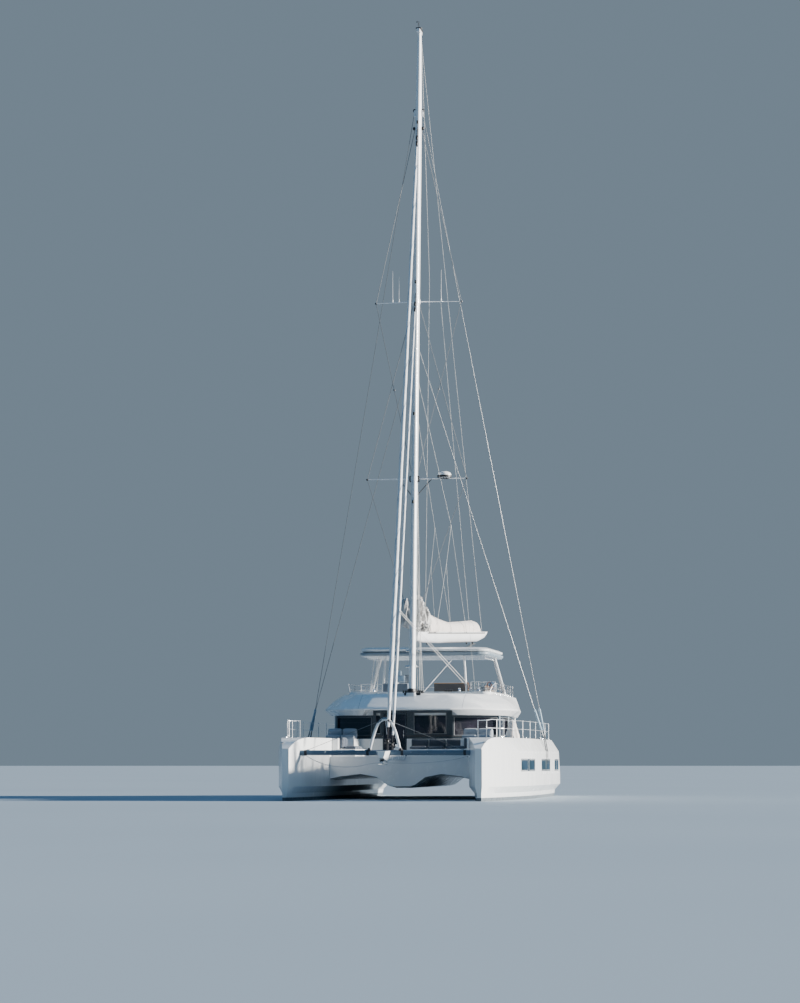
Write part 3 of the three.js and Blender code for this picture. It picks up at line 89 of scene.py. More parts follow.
LENGTH = 17.0
HULL_X = 3.52
DECK_Z = 2.24
SOLE_Z = 1.45
SILL_Z = 2.36
ROOF_Z = 3.12
ROOF_TOP_Z = 3.93
FLY_SOLE_Z = 3.50
HARDTOP_Z = 5.45
CABIN_FRONT = 6.90
MAST_FOOT = (6.80, 3.96)
MAST_HEAD = (8.70, 29.80)
MAST_HALF = (0.125, 0.210)
HOUNDS_Z = 26.50
LOWER_HOUNDS_Z = 17.10
BEAM = (0.76, 1.70)
GOOSENECK = (7.29, 6.06)
BOOM_SWING = math.radians(11.6)
BOOM_LENGTH = 7.90
BOOM_RISE = 0.34
SIDES = (("port", 1), ("starboard", -1))


def at(x, back, z):
    """A point from its distance to port, its distance aft of the stems and its height."""
    return Vector((x, back - LENGTH / 2, z))


def mast_back(z):
    """Distance of the mast's middle line aft of the stems at a height."""
    share = (z - MAST_FOOT[1]) / (MAST_HEAD[1] - MAST_FOOT[1])
    return MAST_FOOT[0] + share * (MAST_HEAD[0] - MAST_FOOT[0])


def boom_point(along, sideways, z):
    """A point from its distance along the boom, to its port side, and its height."""
    x = math.sin(BOOM_SWING) * along + math.cos(BOOM_SWING) * sideways
    y = math.cos(BOOM_SWING) * along - math.sin(BOOM_SWING) * sideways
    return at(x, GOOSENECK[0] + y, z)


# Settings that a user would change


class CatamaranColours(bpy.types.PropertyGroup):
    """Main colours of the vessel"""

    gelcoat: FloatVectorProperty(
        name="Gelcoat", description="Topsides, decks and cabin", subtype="COLOR",
        default=(0.86, 0.865, 0.86), min=0.0, max=1.0,
    )
    bottom_paint: FloatVectorProperty(
        name="Bottom paint", description="Hulls below the boot line", subtype="COLOR",
        default=(0.10, 0.12, 0.135), min=0.0, max=1.0,
    )
    glass: FloatVectorProperty(
        name="Glass", description="Saloon windows and hull lights", subtype="COLOR",
        default=(0.016, 0.018, 0.024), min=0.0, max=1.0,
    )
    canvas: FloatVectorProperty(
        name="Canvas", description="Sail cover and winch cover", subtype="COLOR",
        default=(0.80, 0.73, 0.68), min=0.0, max=1.0,
    )
    cushion: FloatVectorProperty(
        name="Cushions", description="Outdoor seats", subtype="COLOR",
        default=(0.34, 0.38, 0.43), min=0.0, max=1.0,
    )
    bench: FloatVectorProperty(
        name="Forward bench", description="Seats in the forward cockpit", subtype="COLOR",
        default=(0.060, 0.078, 0.110), min=0.0, max=1.0,
    )
    teak: FloatVectorProperty(
        name="Teak", description="Tables and treads", subtype="COLOR",
        default=(0.36, 0.23, 0.13), min=0.0, max=1.0,
    )


class CatamaranSizes(bpy.types.PropertyGroup):
    """Sizes of rigging and deck gear"""

    rope: FloatProperty(
        name="Bridle rope", description="Diameter of the mooring bridle", unit="LENGTH",
        default=0.022, min=0.01, max=0.04,
    )
    control_line: FloatProperty(
        name="Control line", description="Diameter of halyards and sheets", unit="LENGTH",
        default=0.020, min=0.006, max=0.03,
    )
    diamond_wire: FloatProperty(
        name="Diamond wire", description="Diameter of the mast's diamond stays", unit="LENGTH",
        default=0.020, min=0.006, max=0.03,
    )
    whip: FloatProperty(
        name="Whip antenna", description="Length of the antennas on the spreaders", unit="LENGTH",
        default=1.25, min=0.5, max=2.5,
    )
    net_cell: FloatProperty(
        name="Net cell", description="Width of one cell of the trampolines", unit="LENGTH",
        default=0.05, min=0.02, max=0.1,
    )


class CatamaranStage(bpy.types.PropertyGroup):
    """Light and camera"""

    lens: FloatProperty(
        name="Lens", description="Focal length of the camera in millimetres",
        default=100.6, min=20.0, max=300.0,
    )
    sun: FloatProperty(
        name="Key light", description="Strength of the soft key light",
        default=14.0, min=0.0, max=40.0,
    )
    sky: FloatProperty(
        name="Fill light", description="Strength of the even light from all round",
        default=1.0, min=0.0, max=5.0,
    )


# Materials


class Paint:
    """A material or a sky while it is built: its nodes, its links and its shader."""

    def __init__(self, block, shader="Principled BSDF"):
        block.use_nodes = True
        self.block = block
        self.tree = block.node_tree
        self.shader = self.tree.nodes[shader]
        self.place = self.node("TexCoord").outputs["Object"]

    def put(self, socket, value):
        """Links a socket, or sets a number, a vector or a colour of three parts."""
        if isinstance(value, bpy.types.NodeSocket):
            self.tree.links.new(value, socket)
        elif socket.type == "RGBA":
            socket.default_value = (*value, 1.0)
        else:
            socket.default_value = value

    def feed(self, node, **inputs):
        """Fills inputs by name; an underscore in a name stands for a space."""
        for name, value in inputs.items():
            self.put(node.inputs[name.replace("_", " ")], value)
        return node

    def node(self, kind, **inputs):
        return self.feed(self.tree.nodes.new(f"ShaderNode{kind}"), **inputs)

    def stretched(self, scale, turn=(0.0, 0.0, 0.0)):
        """Coordinates scaled and turned for a pattern."""
        return self.node("Mapping", Scale=scale, Rotation=turn, Vector=self.place).outputs["Vector"]

    def cloud(self, scale, detail=3.0, place=None):
        """A noise value from 0 to 1."""
        node = self.node("TexNoise", Scale=scale, Detail=detail, Roughness=0.55, Vector=place or self.place)
        return node.outputs[0]

    def waves(self, scale, direction, distortion=0.0, profile="SIN", place=None):
        """A value from 0 to 1 in bands along one direction."""
        node = self.node("TexWave", Scale=scale, Distortion=distortion, Vector=place or self.place)
        node.bands_direction, node.wave_profile = direction, profile
        return node.outputs["Fac"]

    def ramp(self, value, *stops):
        """A colour from a value, through stops of position and colour."""
        node = self.node("ValToRGB", Fac=value)
        band = node.color_ramp
        while len(band.elements) < len(stops):
            band.elements.new(0.5)
        for element, (position, colour) in zip(band.elements, stops):
            element.position = position
            element.color = (*colour, 1.0)
        return node.outputs["Color"]

    def spread(self, value, low, high, start=0.0, end=1.0):
        """A value moved from one range to another, kept inside it."""
        ends = {"From_Min": start, "From_Max": end, "To_Min": low, "To_Max": high}
        return self.node("MapRange", Value=value, **ends).outputs["Result"]

    def mix(self, share, first, second):
        """Two colours mixed by a share."""
        node = self.node("Mix")
        node.data_type = "RGBA"
        for place, value in ((0, share), (6, first), (7, second)):
            self.put(node.inputs[place], value)
        return node.outputs[2]

    def combine(self, operation, first, second):
        """Arithmetic on two values."""
        node = self.node("Math")
        node.operation = operation
        for socket, value in zip(node.inputs, (first, second)):
            self.put(socket, value)
        return node.outputs[0]

    def split(self):
        """The three coordinates as separate values."""
        return self.node("SeparateXYZ", Vector=self.place).outputs

    def shaded(self, height=None, strength=0.0, distance=0.0, **inputs):
        """Fills the shader's inputs, lets a height stand out as bumps, and hands over the material."""
        if height:
            bump = self.node("Bump", Height=height, Strength=strength, Distance=distance)
            inputs["Normal"] = bump.outputs["Normal"]
        self.feed(self.shader, **inputs)
        return self.block


def paint_for(name):
    return Paint(bpy.data.materials.new(name))


def tint(colour, factor):
    """A colour made lighter or darker."""
    return tuple(min(1.0, part * factor) for part in colour)


def mottled(name, colour, shade, patch, rough, grain, depth, metal=0.0, coat=0.0):
    """A finish whose tone drifts in patches, with its own grain and uneven gloss."""
    paint = paint_for(name)
    fine = paint.cloud(grain, 2.0)
    return paint.shaded(
        fine, 0.35, depth,
        Base_Color=paint.ramp(paint.cloud(patch), (0.30, tint(colour, shade)), (0.70, colour)),
        Roughness=paint.spread(fine, *rough, 0.3, 0.7), Metallic=metal, Coat_Weight=coat, Coat_Roughness=0.08,
    )


def topside_paint(name, gelcoat, bottom):
    """Hull gelcoat with streaks and soil near the water, and bottom paint below the boot line."""
    paint = paint_for(name)
    height = paint.split()[2]
    streaks = paint.cloud(2.0, 5.0, paint.stretched((2.5, 2.5, 0.35)))
    tone = paint.ramp(streaks, (0.30, tint(gelcoat, 0.955)), (0.62, gelcoat))
    soil = paint.combine("MULTIPLY", paint.spread(height, 0.55, 0.0, 0.12, 0.85), streaks)
    soiled = paint.mix(soil, tone, (0.62, 0.63, 0.58))
    line = paint.combine("ADD", height, paint.combine("MULTIPLY", paint.cloud(9.0), 0.02))
    under = paint.spread(line, 1.0, 0.0, 0.128, 0.136)
    growth = paint.ramp(paint.cloud(6.0, 6.0), (0.32, tint(bottom, 0.75)), (0.68, tint(bottom, 1.35)))
    gloss = paint.spread(streaks, 0.16, 0.28, 0.3, 0.7)
    return paint.shaded(
        paint.cloud(3.0), 0.10, 0.004, Base_Color=paint.mix(under, soiled, growth),
        Roughness=paint.combine("ADD", gloss, paint.combine("MULTIPLY", under, 0.5)),
        Coat_Weight=0.25, Coat_Roughness=0.06,
    )


def non_slip(name, colour):
    """Deck gelcoat moulded with a fine diamond tread."""
    paint = paint_for(name)
    turned = paint.stretched((1.0, 1.0, 1.0), (0.0, 0.0, math.radians(45)))
    tread = paint.combine("MULTIPLY", *(paint.waves(55.0, way, place=turned) for way in "XY"))
    worn = paint.cloud(1.3, 4.0)
    return paint.shaded(
        tread, 0.4, 0.003, Base_Color=paint.ramp(worn, (0.3, tint(colour, 0.90)), (0.7, tint(colour, 0.99))),
        Roughness=paint.spread(worn, 0.62, 0.48, 0.3, 0.7),
    )


def tinted_glass(name, colour, clear=0.0, shine=0.6, rough=0.03, gloss=0.5):
    """Dark glazing with a faint uneven film on it."""
    paint = paint_for(name)
    film = paint.cloud(1.6, 4.0)
    filmed = tuple(part * factor for part, factor in zip(colour, (2.6, 1.9, 2.2)))
    return paint.shaded(
        Base_Color=paint.ramp(film, (0.35, colour), (0.75, filmed)),
        Roughness=paint.spread(film, rough, rough + 0.07, 0.3, 0.8), IOR=1.45, Specular_IOR_Level=gloss,
        Coat_Weight=shine, Coat_Roughness=0.03, Transmission_Weight=clear,
    )


def woven(name, colour, thread, rough=0.85, sheen=0.3):
    """Cloth with a crossed weave and soft tone changes."""
    paint = paint_for(name)
    warp = paint.waves(thread, "X", 0.4)
    weft = paint.waves(thread, "DIAGONAL", 0.4, place=paint.stretched((0.0, 1.0, 1.0)))
    weave = paint.combine("ADD", *(paint.combine("MULTIPLY", way, 0.5) for way in (warp, weft)))
    worn = paint.cloud(2.2, 4.0)
    tone = paint.ramp(worn, (0.3, tint(colour, 0.86)), (0.7, colour))
    return paint.shaded(
        paint.combine("ADD", weave, paint.combine("MULTIPLY", worn, 0.9)), 0.3, 0.004,
        Base_Color=paint.mix(paint.spread(weave, 0.0, 0.16), tone, tint(colour, 0.62)),
        Roughness=paint.spread(worn, rough, rough - 0.12, 0.3, 0.7), Sheen_Weight=sheen,
    )


def crumpled_cloth(name, colour):
    """Heaped cloth whose upright folds are darkened with deep painted shade."""
    paint = paint_for(name)
    folds = paint.cloud(5.5, 4.0, paint.stretched((1.0, 1.0, 0.35)))
    # The darkest stop, keyed to the folds, is painted shade.
    stops = (0.36, tint(colour, 0.40)), (0.48, tint(colour, 0.82)), (0.60, colour)
    thread = paint.combine("MULTIPLY", paint.waves(200.0, "DIAGONAL", 0.4), 0.03)
    return paint.shaded(
        paint.combine("ADD", folds, thread), 0.6, 0.03, Base_Color=paint.ramp(folds, *stops),
        Roughness=paint.spread(folds, 0.72, 0.9, 0.3, 0.7),
    )


def planked(name, colour):
    """Oiled teak in narrow planks with dark caulking and long grain."""
    paint = paint_for(name)
    caulk = paint.spread(paint.waves(3.2, "X", profile="SAW"), 1.0, 0.0, 0.0, 0.07)
    grain = paint.cloud(1.5, 6.0, paint.stretched((40.0, 2.0, 40.0)))
    wood = paint.ramp(grain, (0.3, tint(colour, 0.7)), (0.7, tint(colour, 1.15)))
    return paint.shaded(
        paint.combine("SUBTRACT", grain, caulk), 0.3, 0.002,
        Base_Color=paint.mix(caulk, wood, (0.03, 0.03, 0.03)),
        Roughness=paint.spread(grain, 0.45, 0.65, 0.3, 0.7),
    )


def laid_rope(name, colour):
    """Rope with slanting strands."""
    paint = paint_for(name)
    strands = paint.waves(26.0, "DIAGONAL", 0.6)
    worn = paint.cloud(5.0)
    tone = paint.ramp(worn, (0.3, tint(colour, 0.8)), (0.7, colour))
    return paint.shaded(
        strands, 0.5, 0.003, Base_Color=paint.mix(paint.spread(strands, 0.0, 0.35), tone, tint(colour, 0.5)),
        Roughness=paint.spread(worn, 0.75, 0.9), Sheen_Weight=0.2,
    )


FINISHES = {}


def make_finishes(colours):
    """Makes each finish of the vessel once."""
    gelcoat = tuple(colours.gelcoat)
    bottom = tuple(colours.bottom_paint)
    FINISHES.update({
        "topsides": topside_paint("topside_gelcoat", gelcoat, bottom),
        "gelcoat": mottled("moulded_gelcoat", gelcoat, 0.965, 0.8, (0.18, 0.30), 4.0, 0.002, coat=0.2),
        "non_slip": non_slip("non_slip_deck", tint(gelcoat, 0.93)),
        "bottom": mottled("bottom_paint", bottom, 0.7, 3.0, (0.7, 0.9), 30.0, 0.003),
        "drive": mottled("drive_paint", (0.28, 0.30, 0.32), 0.8, 4.0, (0.35, 0.5), 40.0, 0.001),
        "bronze": mottled("worn_bronze", (0.50, 0.34, 0.16), 0.6, 9.0, (0.3, 0.5), 60.0, 0.001, metal=1.0),
        "casting": mottled("engine_casting", (0.22, 0.25, 0.27), 0.7, 7.0, (0.5, 0.7), 90.0, 0.002),
        "glass": tinted_glass("saloon_glass", tuple(colours.glass), 0.12),
        "dark_glass": tinted_glass(
            "hull_light_glass", (0.008, 0.022, 0.032), shine=0.0, rough=0.35, gloss=0.04,
        ),
        "spar": mottled("spar_lacquer", (0.84, 0.85, 0.86), 0.93, 1.1, (0.25, 0.4), 14.0, 0.0008, coat=0.2),
        "steel": mottled(
            "polished_steel", (0.70, 0.72, 0.74), 0.8, 6.0, (0.12, 0.3), 50.0, 0.0005, metal=1.0,
        ),
        "wire": mottled("stainless_wire", (0.17, 0.18, 0.19), 0.8, 12.0, (0.3, 0.45), 90.0, 0.001, metal=0.4),
        # Painted shade: a grey-blue for the window corner pillars and the hardtop's lower band, which lie in
        # shade.
        "post": mottled("painted_shade_grey_blue", (0.25, 0.31, 0.36), 0.85, 2.0, (0.3, 0.45), 30.0, 0.0006),
        # Painted shade: a dark slate for the crossbeam's tube and the hardtop's groove, which lie in shade.
        "beam": mottled("painted_shade_slate", (0.10, 0.16, 0.22), 0.85, 1.5, (0.3, 0.45), 30.0, 0.0006),
        # Painted shade: a dark blue-grey for the helm console, which lies in shade.
        "console": mottled("console_painted_shade", (0.15, 0.19, 0.24), 0.85, 2.0, (0.35, 0.5), 40.0, 0.0008),
        "screen": mottled("screen_enamel", (0.42, 0.54, 0.64), 0.9, 2.0, (0.25, 0.4), 40.0, 0.0006),
        "sleeve": mottled("shroud_sleeve", (0.30, 0.42, 0.52), 0.85, 5.0, (0.4, 0.6), 60.0, 0.0008),
        "white_line": laid_rope("white_rope", (0.84, 0.83, 0.80)),
        "orange_line": laid_rope("orange_rope", (0.50, 0.16, 0.07)),
        "rail": mottled("rail_steel", (0.80, 0.82, 0.84), 0.9, 6.0, (0.2, 0.35), 50.0, 0.0005, metal=0.45),
        "black": mottled("black_moulding", (0.022, 0.022, 0.025), 0.6, 5.0, (0.35, 0.6), 40.0, 0.001),
        "rubber": mottled("grey_rubber", (0.20, 0.21, 0.22), 0.8, 5.0, (0.6, 0.8), 60.0, 0.001),
        "canvas": woven("cover_canvas", tuple(colours.canvas), 160.0),
        "crumpled": crumpled_cloth("crumpled_sailcloth", (0.62, 0.60, 0.58)),
        "sailcloth": woven("sailcloth", (0.82, 0.83, 0.84), 200.0, rough=0.7, sheen=0.1),
        "leech_strip": woven("leech_strip", (0.36, 0.45, 0.55), 200.0, rough=0.75, sheen=0.1),
        "cushion": woven("seat_fabric", tuple(colours.cushion), 220.0),
        "bench": woven("bench_fabric", tuple(colours.bench), 220.0, sheen=0.15),
        "piping": woven("tan_edging", (0.55, 0.30, 0.14), 220.0),
        "net": woven("net_cord", (0.50, 0.53, 0.56), 300.0),
        "rope": laid_rope("bridle_rope", (0.66, 0.68, 0.70)),
        "line": laid_rope("control_rope", (0.70, 0.70, 0.68)),
        "blue_line": laid_rope("blue_rope", (0.10, 0.22, 0.42)),
        "teak": planked("oiled_teak", tuple(colours.teak)),
        "dark_frame": mottled(
            "dark_window_frame", (0.045, 0.060, 0.075), 0.8, 1.2, (0.16, 0.3), 20.0, 0.0006,
        ),
        "panel": mottled("solar_cells", (0.018, 0.026, 0.055), 0.7, 2.5, (0.12, 0.2), 30.0, 0.0004, coat=0.3),
        "rolled_sail": woven("rolled_sailcloth", (0.83, 0.84, 0.85), 200.0, rough=0.7, sheen=0.1),
        "cover_edge": woven("cover_edging", (0.62, 0.56, 0.51), 240.0),
        "piping_dark": woven("seat_piping", (0.30, 0.33, 0.36), 260.0),
        "shell": mottled("seat_shell", (0.15, 0.135, 0.125), 0.8, 3.0, (0.5, 0.7), 60.0, 0.001),
        "joinery": mottled("saloon_joinery", (0.30, 0.22, 0.15), 0.75, 2.0, (0.4, 0.55), 20.0, 0.001),
    })


# Mesh helpers


def up(height):
    """A step straight up."""
    return Vector((0.0, 0.0, height))


def round_points(middle, one, other, count, closed=False):
    """Points round a middle, on the ellipse that two half-axes span."""
    angles = [math.tau * k / count for k in range(count + closed)]
    return [middle + math.cos(a) * Vector(one) + math.sin(a) * Vector(other) for a in angles]


def laid_between(a, b):
    """The transform that lays a shape along its own Z between two points."""
    turn = (b - a).to_track_quat("Z", "Y").to_matrix().to_4x4()
    return Matrix.Translation((a + b) / 2) @ turn


def round_over(bm, edges, width, segments=2, clamp=False):
    """Rounds edges over a width."""
    bmesh.ops.bevel(
        bm, geom=edges, offset=width, offset_type="OFFSET", affect="EDGES", segments=segments,
        profile=0.5, material=-1, clamp_overlap=clamp,
    )


def add_rod(bm, a, b, radius, end=None, sides=8):
    """A straight rod or cone between two points."""
    a, b = Vector(a), Vector(b)
    bmesh.ops.create_cone(
        bm, cap_ends=True, segments=sides, radius1=radius, radius2=radius if end is None else end,
        depth=(b - a).length, matrix=laid_between(a, b),
    )


def add_cube(bm, matrix, size, rounding=0.0):
    """A block of a size laid out by a transform, with its edges rounded."""
    shape = matrix @ Matrix.Diagonal((*size, 1.0))
    verts = bmesh.ops.create_cube(bm, size=1.0, matrix=shape)["verts"]
    if rounding:
        round_over(bm, list({edge for vert in verts for edge in vert.link_edges}), rounding)


def add_slab(bm, low, high, rounding=0.0):
    """A block between two corners."""
    low, high = Vector(low), Vector(high)
    add_cube(bm, Matrix.Translation((low + high) / 2), high - low, rounding)


def add_block(bm, spot, half, rounding, down=None):
    """A block round a spot: half its width and length, its rise, and its depth where that differs."""
    x, y, rise = half
    add_slab(bm, spot - Vector((x, y, rise if down is None else down)), spot + Vector(half), rounding)


def add_bar(bm, a, b, width, height):
    """A bar of oblong section that stands upright between two points at one height."""
    turn = (b - a).normalized().to_track_quat("X", "Z").to_matrix().to_4x4()
    add_cube(bm, Matrix.Translation((a + b) / 2) @ turn, ((b - a).length, width, height), 0.004)


def add_ball(bm, centre, size, rings=8):
    """A ball, or an egg where size has three half-widths."""
    scale = (size, size, size) if isinstance(size, (int, float)) else size
    matrix = Matrix.Translation(centre) @ Matrix.Diagonal((*scale, 1.0))
    bmesh.ops.create_uvsphere(bm, u_segments=rings * 2, v_segments=rings, radius=1.0, matrix=matrix)


def thicken(bm, faces, move):
    """Pulls faces out along a vector, with walls behind them."""
    grown = bmesh.ops.extrude_face_region(bm, geom=faces)["geom"]
    verts = [item for item in grown if isinstance(item, bmesh.types.BMVert)]
    bmesh.ops.translate(bm, verts=verts, vec=Vector(move))


def add_plate(bm, outline, depth):
    """A flat plate from an outline of points, thickened along a vector."""
    thicken(bm, [bm.faces.new([bm.verts.new(point) for point in outline])], depth)


def add_turned(bm, profile, centre, steps=24, axis=(0.0, 0.0, 1.0)):
    """A turned shape from a profile of radius and height, on an axis through a centre."""
    turn = up(1.0).rotation_difference(Vector(axis)).to_matrix().to_4x4()
    matrix = Matrix.Translation(centre) @ turn
    verts = [bm.verts.new(matrix @ Vector((r, 0.0, h))) for r, h in profile]
    edges = [bm.edges.new(pair) for pair in zip(verts, verts[1:])]
    bmesh.ops.spin(
        bm, geom=[*verts, *edges], cent=Vector(centre), axis=turn.to_3x3() @ up(1.0),
        angle=math.tau, steps=steps, use_merge=True,
    )


def add_loop(bm, points):
    """A closed loop of edges through points, as its corners and its edges."""
    verts = [bm.verts.new(point) for point in points]
    return verts, [bm.edges.new(pair) for pair in zip(verts, verts[1:] + verts[:1])]


def add_rings(bm, rings):
    """A skin bridged through rings of points, closed at both ends."""
    loops = []
    for ring in rings:
        verts, edges = add_loop(bm, ring)
        loops.append(edges)
        if ring is rings[0] or ring is rings[-1]:
            bm.faces.new(verts)
    for first, second in zip(loops, loops[1:]):
        bmesh.ops.bridge_loops(bm, edges=first + second)


def add_tube(bm, points, radius, sides=6):
    """A round tube through points, mitred at each bend."""
    points = [Vector(point) for point in points]
    rings = []
    for i, point in enumerate(points):
        way = (points[min(i + 1, len(points) - 1)] - points[max(i - 1, 0)]).normalized()
        side = way.cross(up(1.0))
        if side.length < 0.05:
            side = way.cross(Vector((0.0, 1.0, 0.0)))
        side.normalize()
        rings.append(round_points(point, radius * side, radius * side.cross(way), sides))
    add_rings(bm, rings)


def smooth_line(points, steps=8):
    """Points on a smooth curve through the given ones."""
    points = [Vector(point) for point in points]
    ends = [2 * points[0] - points[1], *points, 2 * points[-1] - points[-2]]
    line = [points[0]]
    for a, b, c, d in zip(ends, ends[1:], ends[2:], ends[3:]):
        t = [0.0]
        for one, other in ((a, b), (b, c), (c, d)):
            t.append(t[-1] + max((other - one).length, 1e-6) ** 0.5)
        for k in range(1, steps + 1):
            s = t[1] + (t[2] - t[1]) * k / steps
            ab = a.lerp(b, (s - t[0]) / (t[1] - t[0]))
            bc = b.lerp(c, (s - t[1]) / (t[2] - t[1]))
            cd = c.lerp(d, (s - t[2]) / (t[3] - t[2]))
            abc = ab.lerp(bc, (s - t[0]) / (t[2] - t[0]))
            bcd = bc.lerp(cd, (s - t[1]) / (t[3] - t[1]))
            line.append(abc.lerp(bcd, (s - t[1]) / (t[2] - t[1])))
    return line


def shade(bm, angle):
    """Smooth shading, kept sharp at edges steeper than an angle."""
    limit = math.radians(angle)
    for edge in bm.edges:
        edge.smooth = len(edge.link_faces) == 2 and edge.calc_face_angle(0.0) < limit
    for face in bm.faces:
        face.smooth = True


def linked(bm, name):
    """An object from a mesh that is done, in the scene's collection."""
    mesh = bpy.data.meshes.new(name)
    bm.to_mesh(mesh)
    bm.free()
    piece = bpy.data.objects.new(name, mesh)
    bpy.context.scene.collection.objects.link(piece)
    return piece


def reopened(mesh):
    """A bmesh of a mesh that isn't needed afterwards."""
    bm = bmesh.new()
    bm.from_mesh(mesh)
    bpy.data.meshes.remove(mesh)
    return bm


def finished(bm, name, finishes, body="vessel", angle=38.0, outward=True):
    """Closes the mesh work and makes a piece that rides on a body."""
    if outward:
        bmesh.ops.remove_doubles(bm, verts=bm.verts, dist=1e-5)
        bmesh.ops.recalc_face_normals(bm, faces=bm.faces)
    shade(bm, angle)
    piece = linked(bm, name)
    for finish in [finishes] if isinstance(finishes, str) else finishes:
        piece.data.materials.append(FINISHES[finish])
    if body:
        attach(piece, body)
    return piece


def merged_copy(node):
    """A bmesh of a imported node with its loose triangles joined."""
    bm = bmesh.new()
    bm.from_mesh(frame["nodes"][node].data)
    bmesh.ops.remove_doubles(bm, verts=bm.verts, dist=2e-5)
    return bm


def join_flat(bm):
    """Joins triangles that lie in one plane into panels."""
    bmesh.ops.dissolve_limit(
        bm, angle_limit=math.radians(0.4), use_dissolve_boundaries=False, verts=bm.verts, edges=bm.edges,
    )


def bent_edges(bm, angle):
    """The edges where two faces meet at more than an angle."""
    limit = math.radians(angle)
    return [e for e in bm.edges if len(e.link_faces) == 2 and e.calc_face_angle(0.0) > limit]


def soften(bm, width, angle=32.0):
    """Joins flat triangles into panels and rounds the edges between them."""
    join_flat(bm)
    round_over(bm, bent_edges(bm, angle), width, clamp=True)


def cut_across(bm, point, way):
    """Cuts new edges where a plane crosses the skin."""
    bmesh.ops.bisect_plane(bm, geom=[*bm.verts, *bm.edges, *bm.faces], plane_co=point, plane_no=way)


def level(piece):
    """Weights the shading to the large faces, so that flat panels stay flat."""
    weighting = piece.modifiers.new("weighted_normal", "WEIGHTED_NORMAL")
    weighting.keep_sharp = True
    return piece


# Stage


class BuildStage(bpy.types.Operator):
    """Lay the floor at the waterline, hang the lights and set the camera"""

    bl_idname = "catamaran.build_stage"
    bl_label = "Stage"

    def execute(self, context):
        settings = context.scene.catamaran_stage
        scene = context.scene
        bm = bmesh.new()
        bmesh.ops.create_circle(bm, cap_ends=True, segments=96, radius=900.0)
        floor = linked(bm, "floor")
        pale = paint_for("pale_floor")
        tone = pale.ramp(pale.cloud(0.05, 2.0), (0.3, (0.31, 0.38, 0.44)), (0.7, (0.33, 0.40, 0.46)))
        floor.data.materials.append(pale.shaded(Base_Color=tone, Roughness=0.75))
        scene.world = self.studio(settings.sky)

        key = bpy.data.lights.new("key", "SUN")
        key.energy = settings.sun
        key.angle = math.radians(5.0)
        key.color = (1.0, 0.965, 0.90)
        self.aimed("key", key, Vector((0.965, 0.12, 0.22)), "Z")

        lens = bpy.data.cameras.new("camera")
        lens.lens = settings.lens
        lens.sensor_width = 36.0
        lens.clip_start, lens.clip_end = 1.0, 3000.0
        camera = self.aimed("camera", lens, Vector((-0.16263, 0.98234, 0.09254)), "-Z")
        camera.location = (16.80, -105.96, 1.37)
        scene.camera = camera
        return {"FINISHED"}

    @staticmethod
    def aimed(name, data, way, axis):
        """A lamp or camera whose own axis points along a way."""
        made = bpy.data.objects.new(name, data)
        made.rotation_mode = "QUATERNION"
        made.rotation_quaternion = way.to_track_quat(axis, "Y")
        bpy.context.scene.collection.objects.link(made)
        return made

    @staticmethod
    def studio(strength):
        """A pale wall behind the vessel, a blue shade in front of it and a lighter blue above."""
        sky = Paint(bpy.data.worlds.new("studio"), "Background")
        _, back, rise = sky.split()
        wall = sky.mix(sky.spread(back, 0.0, 1.0, -0.15, 0.75), (0.030, 0.090, 0.150), (0.17, 0.23, 0.29))
        light = sky.mix(sky.spread(rise, 0.0, 1.0, 0.30, 0.85), wall, (0.12, 0.30, 0.56))
        return sky.shaded(Color=light, Strength=strength)


# Bridle ropes

# Each leg runs from the eye on the inner bow to the plate under the nose; columns: x, aft, z.
BRIDLE = {
    "port": (
        (2.970, 0.870, 1.560), (2.890, 0.870, 1.559), (2.700, 0.815, 1.505), (2.290, 0.650, 1.425),
        (1.570, 0.420, 1.350), (0.900, 0.240, 1.328), (0.400, 0.145, 1.338), (0.110, 0.130, 1.345),
        (0.040, 0.130, 1.345),
    ),
    "starboard": (
        (-2.970, 0.870, 1.600), (-2.890, 0.870, 1.598), (-2.600, 0.790, 1.455), (-2.050, 0.600, 1.265),
        (-1.410, 0.410, 1.195), (-0.830, 0.250, 1.228), (-0.400, 0.150, 1.310), (-0.110, 0.130, 1.345),
        (-0.040, 0.130, 1.345),
    ),
}
BRIDLE_OUTER = 2.9497
BRIDLE_INNER = 0.0553


class BuildBridle(bpy.types.Operator):
    """Hang the two slack legs of the mooring bridle"""

    bl_idname = "catamaran.build_bridle"
    bl_label = "Mooring bridle"

    def execute(self, context):
        diameter = context.scene.catamaran_sizes.rope
        for name, _ in SIDES:
            line = smooth_line([at(*point) for point in BRIDLE[name]], 10)
            first = self.cut_at(line, BRIDLE_OUTER)
            last = self.cut_at(line, BRIDLE_INNER)
            route = [first, *(p for p in line if BRIDLE_INNER < abs(p.x) < BRIDLE_OUTER), last]
            bm = bmesh.new()
            add_tube(bm, route, diameter / 2, sides=10)
            piece = finished(bm, f"bridle_{name}_rope", "rope", angle=50)
            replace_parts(piece, f"bridle_{name}")
        return {"FINISHED"}

    @staticmethod
    def cut_at(line, x):
        """The point of a line that lies a distance from the centreline."""
        for a, b in zip(line, line[1:]):
            if (abs(a.x) - x) * (abs(b.x) - x) <= 0 and abs(a.x - b.x) > 1e-9:
                return a.lerp(b, (abs(a.x) - x) / (abs(a.x) - abs(b.x)))
        raise RuntimeError(f"the bridle never passes {x} m from the centreline")


